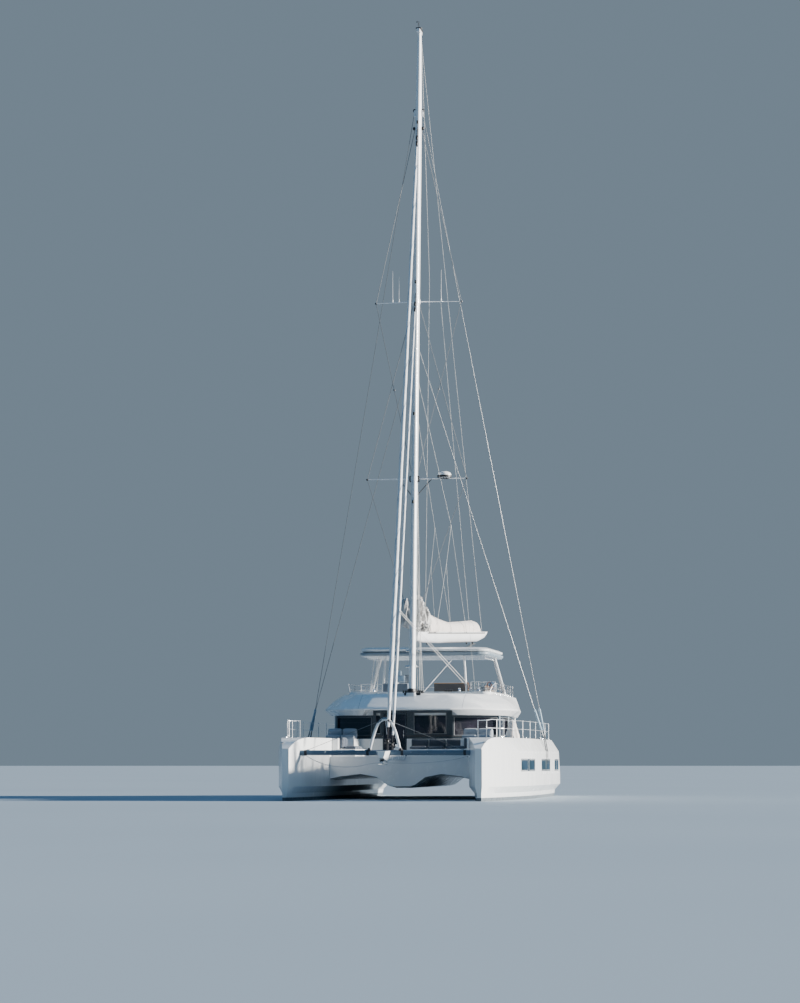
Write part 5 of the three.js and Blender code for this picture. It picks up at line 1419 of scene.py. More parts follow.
class BuildMastFittings(bpy.types.Operator):
    """Fit the mast's track, winches, collar, lamps, antennas and masthead gear"""

    bl_idname = "catamaran.build_mast_fittings"
    bl_label = "Mast fittings"

    def execute(self, context):
        sizes = context.scene.catamaran_sizes
        track, collar = bmesh.new(), bmesh.new()
        spots = [on_mast(AFT_SIDE, 6.7 + (29.6 - 6.7) * k / 12, 0.006) for k in range(13)]
        for a, b in zip(spots, spots[1:]):
            add_rod(track, a, b, 0.022, sides=6)
        finished(track, "mainsail_track", "steel", angle=50)

        foot = at(0.0, *MAST_FOOT)
        # Columns: distance off the mast, height.
        steps = ((0.095, 0.0), (0.095, 0.030), (0.060, 0.045), (0.040, 0.15), (0.012, 0.16))
        add_rings(collar, [
            round_points(foot + up(lift), (MAST_HALF[0] + off, 0, 0), (0, MAST_HALF[1] + off, 0), 28)
            for off, lift in steps
        ])
        add_slab(collar, at(-0.27, 6.56, ROOF_TOP_Z - 0.10), at(0.36, 7.30, ROOF_TOP_Z + 0.034), 0.025)
        finished(collar, "mast_collar", "black", angle=35)

        winches = bmesh.new()
        for off, z in ((0.15, 4.95), (0.25, 5.55)):
            for around in (off, math.pi - off):
                axis = (math.cos(around), math.sin(around), 0.0)
                add_turned(winches, MAST_DRUM, on_mast(around, z, 0.035), 16, axis)
        finished(winches, "mast_winches", "steel", angle=40)

        self.blocks()
        self.masthead()
        lamps = bmesh.new()
        for z, off in ((14.6, 0.05), (11.2, 0.045)):
            spot = on_mast(FRONT, z, off)
            add_rod(lamps, spot - up(0.055), spot + up(0.055), 0.045, sides=12)
            add_slab(lamps, spot + Vector((-0.02, 0.0, -0.02)), spot + Vector((0.02, 0.07, 0.02)), 0.004)
        finished(lamps, "mast_lamps", "black", angle=40)

        whips = bmesh.new()
        # Columns: side, x and height of the foot, share of the full length.
        for side, x, z, share in ((1, 0.92, 19.03, 1.0), (-1, 0.72, 19.02, 0.85), (-1, 0.98, 19.03, 1.0)):
            spot = at(side * x, mast_back(19.0) + 0.54 * x / 1.67, z)
            add_rod(whips, spot, spot + up(sizes.whip * share), 0.010, 0.004, 6)
            add_rod(whips, spot, spot + up(0.14), 0.018, 0.014, 8)
        finished(whips, "whip_antennas", "gelcoat", angle=50)

        bracket, dome = bmesh.new(), bmesh.new()
        z = 12.1
        for side in (-1, 1):
            skin = on_mast(0.0 if side > 0 else math.pi, z - 0.62, -0.01)
            add_rod(bracket, skin, at(side * 0.62, mast_back(z) + 0.19, z - 0.005), 0.016)
            add_slab(bracket, at(side * 0.13 - 0.06, mast_back(z) - 0.09, z - 0.11),
                     at(side * 0.13 + 0.06, mast_back(z) + 0.12, z + 0.11), 0.02)
            add_ball(bracket, at(side * 1.93, mast_back(z) + 0.60, z + 0.06), (0.05, 0.06, 0.04))
            add_ball(bracket, at(side * 1.67, mast_back(19.0) + 0.54, 19.06), (0.045, 0.055, 0.035))
        finished(bracket, "spreader_roots", "black", angle=45)

        low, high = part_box("radar_dome")
        foot = Vector(((low.x + high.x) / 2, (low.y + high.y) / 2, low.z))
        add_turned(dome, RADAR_FOOT, foot - up(0.035), 24)
        radius = (high.x - low.x) / 2
        band = ((-0.012, 0.0), (0.004, 0.010), (0.004, 0.085), (-0.012, 0.095))
        add_turned(dome, [(radius + off, rise) for off, rise in band], foot + up(0.015), 32)
        finished(dome, "radar_base", "black", angle=40)
        return {"FINISHED"}

    @staticmethod
    def blocks():
        """The turning blocks at the mast's foot and the halyard blocks above."""
        blocks = bmesh.new()
        for k, x in enumerate((-0.34, -0.27, -0.20, 0.20, 0.27, 0.34, 0.41)):
            spot = at(x, 6.86 + 0.05 * (k % 2), ROOF_TOP_Z + 0.015)
            add_block(blocks, spot, (0.022, 0.045, 0.105), 0.010, 0.0)
        for z in (26.1, 25.3, 19.75):
            add_block(blocks, on_mast(FRONT, z, 0.045), (0.03, 0.05, 0.06), 0.012)
        for side in (-1, 1):
            for z in (26.62, 25.9):
                add_ball(blocks, at(side * 0.17, mast_back(z), z), (0.055, 0.045, 0.075), 6)
        finished(blocks, "halyard_blocks", "black", angle=45)

    @staticmethod
    def masthead():
        """The head plate with its light, aerial, wind cups and vane."""
        head = bmesh.new()
        top = at(0.0, mast_back(29.8), 29.86)
        add_slab(head, top + Vector((-0.10, -0.34, 0.0)), top + Vector((0.10, 0.30, 0.05)), 0.015)
        # Columns: x, aft, length, radius and sides of each upright rod.
        for x, back, rise, radius, sides in (
            (0.04, 0.16, 0.11, 0.034, 12), (-0.05, 0.22, 0.25, 0.006, 6), (0.0, -0.30, 0.16, 0.009, 6),
        ):
            spot = top + Vector((x, back, 0.05))
            add_rod(head, spot, spot + up(rise), radius, sides=sides)
        arm = top + Vector((0.0, -0.30, 0.21))
        hub = arm + Vector((0, -0.16, 0.018))
        add_rod(head, arm + Vector((0, -0.19, 0)), arm + Vector((0, 0.20, 0)), 0.007, sides=6)
        for k in range(3):
            a = math.tau * k / 3 + 0.4
            cup = arm + Vector((0.055 * math.cos(a), -0.16 + 0.055 * math.sin(a), 0.02))
            add_rod(head, hub, cup, 0.004, sides=5)
            add_ball(head, cup, 0.019, 6)
        vane = ((0.09, 0.02), (0.22, 0.02), (0.22, 0.10), (0.15, 0.07))
        add_plate(head, [arm + Vector((0.0, back, rise)) for back, rise in vane], (0.004, 0.0, 0.0))
        finished(head, "masthead_gear", "black", angle=45)


SHROUD_FOOT_Z = 2.30
# Columns: x and aft of the foot of each shroud on the port side, x and height of its head.
SHROUDS = ((4.605, 10.45, 0.18, HOUNDS_Z - 0.04), (4.608, 9.95, 0.125, LOWER_HOUNDS_Z))
# Columns: angle round the mast and top of each halyard.
HALYARDS = ((FRONT - 0.5, 25.9), (FRONT + 0.45, 19.5), (AFT_SIDE + 0.6, 29.6), (AFT_SIDE - 0.55, 29.6))
# Columns: x at the foot and top of each halyard that leads to a deck block.
LEADS = ((0.20, 9.4), (0.27, 10.6), (0.34, 11.6), (0.41, 8.6))
SLEEVE = ((0.0, 0.30), (0.030, 0.30), (0.040, 0.32), (0.040, 1.10), (0.022, 1.16), (0.0, 1.16))


class BuildMastLines(bpy.types.Operator):
    """Stretch the diamonds, halyards, flag halyard and staysail sheets, and sleeve the shrouds' feet"""

    bl_idname = "catamaran.build_mast_lines"
    bl_label = "Lines on the mast"

    def execute(self, context):
        sizes = context.scene.catamaran_sizes
        wire = sizes.diamond_wire / 2
        line = sizes.control_line / 2
        tips = [
            [at(side * span, mast_back(z) + sweep, z + 0.06) for side in (1, -1)]
            for z, span, sweep in ((19.0, 1.67, 0.54), (12.1, 1.93, 0.60))
        ]
        stays = bmesh.new()
        for k, side in enumerate((1, -1)):
            root = 0.0 if side > 0 else math.pi
            upper, lower = tips[0][k], tips[1][k]
            for a, b in (
                (on_mast(root, 25.9), upper), (upper, on_mast(root, 12.4)), (lower, on_mast(root, 6.75)),
                (on_mast(root, 18.85), lower),
            ):
                add_rod(stays, a, b, wire, sides=6)
            for spot in (upper, lower, upper.lerp(on_mast(root, 12.4), 0.52)):
                add_ball(stays, spot, (0.05, 0.05, 0.045), 6)
        finished(stays, "diamond_stays", "wire", angle=50)

        halyards = bmesh.new()
        for around, top in HALYARDS:
            points = [on_mast(around, z, 0.016) for z in (5.0, top * 0.5, top)]
            add_tube(halyards, points, line * 0.75, 6)
        for k, (x, top) in enumerate(LEADS):
            foot = at(x, 6.86 + 0.05 * (k % 2), 4.02)
            add_rod(halyards, foot, on_mast(-0.10, top, 0.012), line * 0.9, sides=6)
        finished(halyards, "halyards", "line", angle=50)

        sleeves = bmesh.new()
        for _, side in SIDES:
            for x, back, head_x, head_z in SHROUDS:
                foot = at(side * x, back, SHROUD_FOOT_Z)
                head = at(side * head_x, mast_back(head_z) + 0.02, head_z)
                add_turned(sleeves, SLEEVE, foot, 12, (head - foot).normalized())
        finished(sleeves, "shroud_sleeves", "sleeve", angle=45)

        flag = bmesh.new()
        add_rod(flag, at(0.90, mast_back(19.0) + 0.30, 19.0), at(2.20, 8.25, 3.94), line * 0.5, sides=5)
        finished(flag, "flag_halyard", "line", angle=50)

        sheets = bmesh.new()
        clew, lead = at(0.07, 3.64, 6.84), at(1.60, 9.80, 4.40)
        for spread in (-1, 1):
            aside = Vector((spread, 0.0, 0.0))
            add_rod(sheets, clew + 0.035 * aside, lead + 0.065 * aside, line * 0.9, sides=6)
        add_ball(sheets, clew, (0.05, 0.05, 0.035), 8)
        add_ball(sheets, lead, (0.05, 0.04, 0.06), 8)
        finished(sheets, "staysail_sheets", "white_line", angle=50)
        return {"FINISHED"}


# Columns: side of the boom, then along and height of the junction, and along of each leg's foot.
LAZY_JACKS = (
    (1, 3.30, 10.55, (1.60, 3.30, 5.10)),
    (-1, 3.10, 10.45, (1.45, 3.10, 4.90)),
)
JACK_TOP_Z = 15.8
JACK_FOOT = 0.284
# Columns: along the boom, half of its width under the lip.
BOOM_HALVES = ((0.7, 0.210), (2.5, 0.255), (5.5, 0.250), (6.9, 0.235), (7.6, 0.210))
BOOM_TOP_Z = 6.273
# Columns: distance out from the boom's side and down from its top, round the lip's section.
BOOM_LIP = ((-0.010, 0.030), (0.014, 0.034), (0.008, 0.066), (-0.012, 0.066))


def boom_top(along):
    """Height of the boom's upper edge at a distance along it."""
    return BOOM_TOP_Z + BOOM_RISE * along / BOOM_LENGTH


def follow_swing(piece):
    """Bakes the placement of a piece that hangs between mast and boom into its mesh; it does not move when
    the boom swings.
    """
    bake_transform(piece)
    return piece


class BuildBoomLines(bpy.types.Operator):
    """Rig the lazy jacks, topping lift and reefing lines of the boom"""

    bl_idname = "catamaran.build_boom_lines"
    bl_label = "Lines on the boom"

    @staticmethod
    def rigged(bm, name, top_z):
        """A line that is fast on the mast and on the boom; the height that it is given is not used."""
        piece = finished(bm, name, "line", None, 50)
        follow_swing(piece)

    def execute(self, context):
        line = context.scene.catamaran_sizes.control_line / 2
        jacks, lift, main = bmesh.new(), bmesh.new(), bmesh.new()
        for side, along, height, feet in LAZY_JACKS:
            apex = boom_point(along, side * 0.30, height)
            lower = boom_point(along - 0.5, side * 0.28, height - 1.55)
            add_rod(jacks, apex, on_mast(0.0 if side > 0 else math.pi, JACK_TOP_Z), line * 0.7, sides=6)
            add_ball(jacks, apex, 0.022, 6)
            add_rod(jacks, apex, lower, line * 0.7, sides=6)
            for foot in feet:
                start = lower if foot < along + 0.5 else apex
                end = boom_point(foot, side * JACK_FOOT, boom_top(foot) - 0.015)
                add_rod(jacks, start, end, line * 0.6, sides=6)
            add_ball(jacks, lower, 0.020, 6)
        self.rigged(jacks, "lazy_jacks", JACK_TOP_Z)

        head = at(0.0, mast_back(29.7) + 0.27, 29.80)
        end = boom_point(BOOM_LENGTH - 0.15, 0.0, boom_top(BOOM_LENGTH) - 0.04)
        add_rod(lift, end, head, line * 0.75, sides=6)
        self.rigged(lift, "topping_lift", head.z)

        middle = at(0.45, mast_back(20.0) + 0.30, 20.0)
        add_tube(main, [on_mast(0.0, 29.55), middle, boom_point(0.42, 0.30, 6.9)], line * 0.6)
        self.rigged(main, "main_halyard", middle.z)

        fittings, sheets = bmesh.new(), bmesh.new()
        for along in (1.4, 5.9, 6.6):
            spot = boom_point(along, 0.0, boom_top(along) - 0.45)
            add_block(fittings, spot, (0.022, 0.04, 0.055), 0.010, 0.035)
        for along in sorted(foot for _, _, _, feet in LAZY_JACKS for foot in feet):
            for side in (-1, 1):
                eye = boom_point(along, side * JACK_FOOT, boom_top(along) - 0.015)
                add_ball(fittings, eye, (0.016, 0.016, 0.014), 6)
        for side in (-1, 1):
            add_rings(fittings, [
                [self.beside(along, side, out, down) for out, down in BOOM_LIP]
                for along in (0.9, 2.5, 5.5, 6.9, 7.5)
            ])
            add_tube(sheets, [self.beside(a, side, 0.010, 0.078) for a in (0.9, 2.5, 5.5, 7.4)], line * 0.45)
        finished(fittings, "boom_blocks", "black", "boom", 45)
        finished(sheets, "reefing_lines", "line", "boom", 50)
        return {"FINISHED"}

    @staticmethod
    def beside(along, side, out, down):
        """A point off one side of the boom and below its top."""
        return boom_point(along, side * (row_at(BOOM_HALVES, along)[1] + out), boom_top(along) - down)


# Furled headsails


# Shares of the stay's length where a roll starts and ends, and how much thinner its top is.
ROLL_START, ROLL_END = 0.026, 0.961
ROLL_TAPER = 0.38


def around_stay(foot, head, share, size, angle):
    """A point round a stay, from a share of its length, a distance and an angle."""
    way = head - foot
    side = way.cross(Vector((1.0, 0.0, 0.0))).normalized()
    across = side.cross(way).normalized()
    taper = 1.0 - ROLL_TAPER * (share - ROLL_START) / (ROLL_END - ROLL_START)
    return foot + way * share + size * taper * (math.cos(angle) * across + math.sin(angle) * side)


def add_sail_roll(bm, foot, head, radius, turns, seed):
    """A tightly rolled sail: a spiral section that turns and bulges a little along the stay."""
    count, steps = 22, int((head - foot).length / 0.28)
    rings = []
    for k in range(steps + 1):
        share = ROLL_START + (ROLL_END - ROLL_START) * k / steps
        close = min(1.0, 0.55 + 6.0 * (share - ROLL_START), 0.62 + 8.0 * (ROLL_END - share))
        ring = []
        for i in range(count):
            lap = i / (count - 1)
            lump = noise.noise(Vector((seed, share * 31.0, 0.8 * math.sin(math.tau * lap))))
            size = radius * close * (0.90 + 0.11 * lap + 0.05 * lump)
            ring.append(around_stay(foot, head, share, size, math.tau * (turns * share + i / count)))
        rings.append(ring)
    add_rings(bm, rings)


# Columns: name, tack aft and height, height of the head, radius, turns along the stay.
HEADSAILS = (
    ("genoa", (1.25, 1.99), 26.00, 0.092, 9.0),
    ("staysail", (2.30, 1.88), 19.40, 0.060, 7.0),
)
# Turned profiles of a furling drum, as shares of the roll's radius, and of a swivel.
DRUM = (
    (0.0, -0.05), (1.25, -0.05), (1.30, -0.035), (0.62, -0.02), (0.60, 0.06), (1.28, 0.075),
    (1.20, 0.095),
)
SWIVEL = ((0.0, -0.09), (0.030, -0.09), (0.045, -0.06), (0.045, 0.05), (0.028, 0.09), (0.0, 0.09))


class BuildHeadsails(bpy.types.Operator):
    """Roll the two headsails on their stays, with drums and swivels"""

    bl_idname = "catamaran.build_headsails"
    bl_label = "Furled headsails"

    def execute(self, context):
        for seed, (name, tack, head_z, radius, turns) in enumerate(HEADSAILS):
            foot = at(0.0, *tack)
            head = at(0.0, mast_back(head_z) - MAST_HALF[1] + 0.03, head_z)
            rolled, strip, gear = bmesh.new(), bmesh.new(), bmesh.new()
            add_sail_roll(rolled, foot, head, radius, turns, 3.7 + seed)
            roll = finished(rolled, f"{name}_roll", "rolled_sail", angle=40)
            self.add_strip(strip, foot, head, radius, turns)
            finished(strip, f"{name}_edge_strip", "leech_strip", angle=50)
            way = (head - foot).normalized()
            add_rod(gear, foot - way * 0.03, head, 0.012)
            profile = [(radius * share, rise) for share, rise in DRUM] + [(0.02, 0.11), (0.0, 0.11)]
            add_turned(gear, profile, foot + way * 0.10, 24, way)
            for down in (0.55, 0.80):
                add_turned(gear, SWIVEL, head - way * down, 14, way)
            add_block(gear, foot, (0.026, 0.06, 0.05), 0.006, 0.235 if seed == 0 else 0.125)
            piece = finished(gear, f"{name}_furler", "black", angle=42)
            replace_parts(piece, f"{name}_furled")
            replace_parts(roll, f"{name}_furled")
        return {"FINISHED"}

    @staticmethod
    def add_strip(bm, foot, head, radius, turns):
        """The coloured edge of the sail, wound up the roll as a narrow ribbon."""
        way, steps = (head - foot).normalized(), 420
        rings = []
        for k in range(steps + 1):
            share = 0.05 + 0.88 * k / steps
            angle = (turns + 6.0) * math.tau * share
            rings.append([
                around_stay(foot, head, share, radius * lift, angle) + way * shift
                for lift, shift in ((0.99, -0.035), (1.035, -0.035), (1.035, 0.035), (0.99, 0.035))
            ])
        add_rings(bm, rings)


# Stowed mainsail

# Columns: along the boom, half-width, height above the boom's top at the crest.
COVER_ROWS = (
    (0.95, 0.300, 0.62), (1.10, 0.290, 0.80), (1.55, 0.270, 0.74), (2.30, 0.255, 0.60),
    (3.20, 0.245, 0.47), (3.75, 0.240, 0.41), (4.60, 0.235, 0.43), (5.60, 0.225, 0.47),
    (6.40, 0.210, 0.50), (6.85, 0.195, 0.45), (7.08, 0.165, 0.37), (7.18, 0.150, 0.12),
)


# Columns: share of the half-width to port, share of the height.
COVER_OUTLINE = (
    (0.98, 0.00), (1.05, 0.18), (1.02, 0.38), (0.86, 0.60), (0.60, 0.80), (0.30, 0.93), (0.08, 1.00),
    (-0.08, 1.00), (-0.30, 0.93), (-0.60, 0.80), (-0.86, 0.60), (-1.02, 0.38), (-1.05, 0.18),
    (-0.98, 0.00), (-0.50, -0.01), (0.50, -0.01),
)


def cover_ring(along, half, height):
    """One section of the sail cover, from the port edge of the boom over the crest."""
    low = boom_top(along) - 0.03
    return [boom_point(along, half * u, low + height * rise) for u, rise in COVER_OUTLINE]


def row_at(rows, along):
    """A row worked out between two rows of a table by its first column."""
    for a, b in zip(rows, rows[1:]):
        if a[0] <= along <= b[0]:
            share = (along - a[0]) / (b[0] - a[0])
            return tuple(p + (q - p) * share for p, q in zip(a, b))
    return rows[0] if along < rows[0][0] else rows[-1]


def evaluated_mesh(piece):
    """A copy of a piece's mesh with its modifiers applied at the current frame."""
    graph = bpy.context.evaluated_depsgraph_get()
    return bpy.data.meshes.new_from_object(piece.evaluated_get(graph), depsgraph=graph)


def remeshed(bm, name, cell):
    """The form rebuilt in small even faces, so that cloth can move."""
    form = linked(bm, name)
    remesh = form.modifiers.new("remesh", "REMESH")
    remesh.mode = "VOXEL"
    remesh.voxel_size = cell
    solid = evaluated_mesh(form)
    bpy.data.objects.remove(form)
    return reopened(solid)


def smoothed(piece):
    """Draws a piece with its faces divided once."""
    fine = piece.modifiers.new("subdivision", "SUBSURF")
    fine.levels = fine.render_levels = 1


def cloth_settled(bm, name, pressure, cap, pinned, frames=20, stiffness=15.0, bending=0.5):
    """Swells a closed cloth form by simulation, moving no point further than the cap."""
    piece = linked(bm, name)
    scene = bpy.context.scene
    start = [vert.co.copy() for vert in piece.data.vertices]
    held = piece.vertex_groups.new(name="held")
    indices = [i for i, point in enumerate(start) if pinned(point)]
    cloth = piece.modifiers.new("cloth", "CLOTH")
    settings = cloth.settings
    if indices:
        held.add(indices, 1.0, "REPLACE")
        settings.vertex_group_mass = "held"
    settings.quality = 4
    settings.mass = 0.3
    settings.tension_stiffness = settings.compression_stiffness = stiffness
    settings.shear_stiffness = 5.0
    settings.bending_stiffness = bending
    settings.use_pressure = True
    settings.uniform_pressure_force = pressure
    settings.effector_weights.gravity = 0.0
    cloth.collision_settings.use_collision = False
    cloth.point_cache.frame_start, cloth.point_cache.frame_end = 1, frames
    for number in range(1, frames + 1):
        scene.frame_set(number)
    swollen = evaluated_mesh(piece)
    piece.modifiers.remove(cloth)
    for vert, before in zip(swollen.vertices, start):
        move = vert.co - before
        if move.length > cap:
            vert.co = before + move.normalized() * cap
    piece.vertex_groups.clear()
    bpy.data.objects.remove(piece)
    scene.frame_set(1)
    return reopened(swollen)


# Where the cover begins and ends along the boom.
COVER_ENDS = (0.95, 7.18)
COVER_STEPS = 76
# Columns: aft, x of the middle, height of the middle, half-width, half-height, half-length.
HEAP_LUMPS = (
    (7.72, 0.06, 7.04, 0.24, 0.68, 0.30), (7.60, -0.38, 7.02, 0.29, 0.58, 0.27),
    (7.95, 0.28, 6.80, 0.18, 0.44, 0.26), (8.10, 0.16, 6.62, 0.26, 0.38, 0.34),
    (7.62, -0.24, 6.80, 0.20, 0.42, 0.22), (8.02, 0.04, 7.08, 0.19, 0.42, 0.24),
    (8.22, 0.30, 6.60, 0.16, 0.34, 0.22),
)
# Half-widths of the space round the mast's middle line that the heap stays out of.
MAST_CLEAR = (0.165, 0.255)
TIES_ALONG = (1.9, 3.4, 4.9, 6.1)


class BuildStowedSail(bpy.types.Operator):
    """Fold the mainsail into its cover on the boom, with the loose head at the mast"""

    bl_idname = "catamaran.build_stowed_sail"
    bl_label = "Stowed mainsail"

    def execute(self, context):
        bm = bmesh.new()
        first, last = COVER_ENDS
        alongs = [first + (last - first) * k / COVER_STEPS for k in range(COVER_STEPS + 1)]
        add_rings(bm, [cover_ring(*row_at(COVER_ROWS, along)) for along in alongs])
        bmesh.ops.subdivide_edges(bm, edges=list(bm.edges), cuts=1, use_grid_fill=True)
        bmesh.ops.recalc_face_normals(bm, faces=bm.faces)
        for vert in bm.verts:
            self.fold(vert)
        bm = cloth_settled(bm, "sail_cover", 2.5, 0.03, self.on_seam)
        piece = finished(bm, "sail_cover", "canvas", "boom", 60)
        smoothed(piece)
        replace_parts(piece, "sail_stack")
        self.loose_head()
        self.cover_trim(piece)
        return {"FINISHED"}

    def on_seam(self, point):
        return point.z < boom_top(self.along(point)) + 0.03

    @staticmethod
    def along(point):
        """Distance along the boom from the gooseneck."""
        back = point.y + LENGTH / 2 - GOOSENECK[0]
        return math.sin(BOOM_SWING) * point.x + math.cos(BOOM_SWING) * back

    def fold(self, vert):
        """Creases that run up the cloth, deep at the mast end and fine further aft."""
        along = self.along(vert.co)
        up = (vert.co.z - boom_top(along)) / 0.6
        if up < 0.03:
            return
        depth = 0.008 + 0.050 * math.exp(-(along - 0.95) / 1.1)
        wander = noise.noise(Vector((along * 0.7, vert.co.z * 1.5, 4.0))) * 0.25
        crease = abs(math.sin((along + wander) * 11.0 + 0.7 * up))
        ripple = noise.noise(Vector((along * 5.0, vert.co.z * 3.0, vert.co.x * 3.0)))
        vert.co += vert.normal * (depth * (crease - 0.6) + 0.010 * ripple)

    def loose_head(self):
        """The head of the sail: a crumpled heap round the back of the mast."""
        bm = bmesh.new()
        for back, x, z, half, tall, long in HEAP_LUMPS:
            matrix = Matrix.Translation(at(x, back, z)) @ Matrix.Diagonal((half, long, tall, 1.0))
            bmesh.ops.create_icosphere(bm, subdivisions=3, radius=1.0, matrix=matrix)
        bm = remeshed(bm, "heap", 0.024)
        bm.normal_update()
        for vert in bm.verts:
            self.crumple(vert)
        bmesh.ops.smooth_vert(
            bm, verts=bm.verts, factor=0.35, use_axis_x=True, use_axis_y=True, use_axis_z=True,
        )
        bm.normal_update()
        self.keep_off_mast(bm)
        bm = cloth_settled(bm, "loose_sail", 0.6, 0.02, lambda point: False, 12, 40.0, 0.1)
        self.keep_off_mast(bm)
        piece = finished(bm, "loose_sail_head", "crumpled", None, 70)
        follow_swing(piece)
        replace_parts(piece, "sail_stack")

    @staticmethod
    def crumple(vert):
        """Deep upright ridges with finer ones between them, flatter towards starboard."""
        p = vert.co
        bend = noise.noise(Vector((p.x * 2.2, p.y * 2.2, p.z * 1.2)))
        wave = noise.noise(Vector((p.x * 7.0 + bend, p.y * 7.0, p.z * 2.4 + bend * 2.0)))
        fine = noise.noise(Vector((p.x * 16.0, p.y * 16.0, p.z * 7.0 + bend)))
        depth = 0.125 * (1.0 - abs(wave) * 3.2) + 0.026 * (1.0 - abs(fine) * 2.4) - 0.075
        vert.co = p + vert.normal * depth * min(1.0, max(0.2, (p.x + 0.08) / 0.22))

    @staticmethod
    def keep_off_mast(bm):
        """Pushes the heap clear of the mast."""
        wide, long = MAST_CLEAR
        for vert in bm.verts:
            middle = at(0.0, mast_back(vert.co.z), vert.co.z)
            reach = Vector(((vert.co.x - middle.x) / wide, (vert.co.y - middle.y) / long))
            if reach.length < 1.0:
                reach.normalize()
                vert.co.x = middle.x + reach.x * wide
                vert.co.y = middle.y + reach.y * long

    def cover_trim(self, cover):
        """The zip along the crest, the bolt rope at the boom and the tie straps."""
        tree = BVHTree.FromObject(cover, bpy.context.evaluated_depsgraph_get())
        trim, straps = bmesh.new(), bmesh.new()
        alongs = [1.10 + (7.08 - 1.10) * k / 50 for k in range(51)]
        tops = [tree.ray_cast(boom_point(a, 0.0, boom_top(a) + 1.6), up(-1.0))[0] for a in alongs]
        add_tube(trim, [top + up(0.004) for top in tops if top], 0.010)
        for side in (-1, 1):
            halves = [row_at(COVER_ROWS, a)[1] + 0.008 for a in alongs]
            edge = [boom_point(a, side * half, boom_top(a) + 0.006) for a, half in zip(alongs, halves)]
            add_tube(trim, edge, 0.009)
        finished(trim, "sail_cover_edging", "cover_edge", "boom", 50)
        for along in TIES_ALONG:
            half = row_at(COVER_ROWS, along)[1] + 0.5
            hub = boom_point(along, 0.0, boom_top(along) + 0.05)
            line = []
            for k in range(25):
                angle = math.pi * k / 24
                rise = boom_top(along) - 0.02 + math.sin(angle)
                out = boom_point(along, half * math.cos(angle), rise)
                hit = tree.ray_cast(out, (hub - out).normalized())[0]
                if hit:
                    line.append(hit + (out - hub).normalized() * 0.004)
            if len(line) > 3:
                add_tube(straps, line, 0.006, 5)
        finished(straps, "sail_cover_ties", "cover_edge", "boom", 50)


# Mainsheet


class BuildMainsheet(bpy.types.Operator):
    """Rig the mainsheet from the boom to the hardtop's track"""

    bl_idname = "catamaran.build_mainsheet"
    bl_label = "Mainsheet"

    def execute(self, context):
        track, parts = bmesh.new(), bmesh.new()
        back, z = 13.95, HARDTOP_Z + 0.33
        add_block(track, at(0.0, back, z), (1.5, 0.03, 0.035), 0.008, 0.004)
        for x in (-1.45, 1.45):
            add_block(track, at(x, back, z), (0.05, 0.05, 0.07), 0.012, 0.0)
        car = at(1.05, back, z + 0.06)
        add_block(track, car, (0.09, 0.05, 0.03), 0.012)
        add_ball(track, car + up(0.07), (0.05, 0.03, 0.055))
        finished(track, "mainsheet_track", "black", angle=40)

        radius = context.scene.catamaran_sizes.control_line / 2
        for along, shift in ((6.60, -0.03), (6.60, 0.03), (6.85, 0.0), (6.85, 0.05)):
            high = boom_point(along, shift, boom_top(along) - 0.46)
            add_rod(parts, car + Vector((shift, 0.0, 0.10)), high, radius * 0.9, sides=6)
        follow_swing(finished(parts, "mainsheet", "line", None, 50))
        return {"FINISHED"}


# Bow gear

# Columns: x and height where each slanting edge of the bow arch starts and ends, above the beam.
ARCH_SLOPE = ((0.12, 1.14), (2.80, 0.088))
BEAM_COLLAR = ((0.088, -0.05), (0.100, -0.045), (0.100, 0.045), (0.088, 0.05))
ARCH_FOOT = ((0.0, -0.02), (0.075, -0.02), (0.075, 0.05), (0.055, 0.075), (0.055, 0.11), (0.0, 0.11))
GYPSY = (
    (0.0, 0.15), (0.075, 0.15), (0.082, 0.135), (0.055, 0.11), (0.050, 0.06), (0.088, 0.02),
    (0.098, 0.0), (0.098, -0.02),
)
# Columns: aft and height round each cheek of the anchor roller.
CHEEK = ((-0.02, 1.39), (0.40, 1.46), (0.55, 1.46), (0.55, 1.405), (0.25, 1.33), (0.02, 1.33))
EYE = ((0.012, 0.0), (0.030, 0.0), (0.034, -0.008), (0.030, -0.016), (0.012, -0.016))


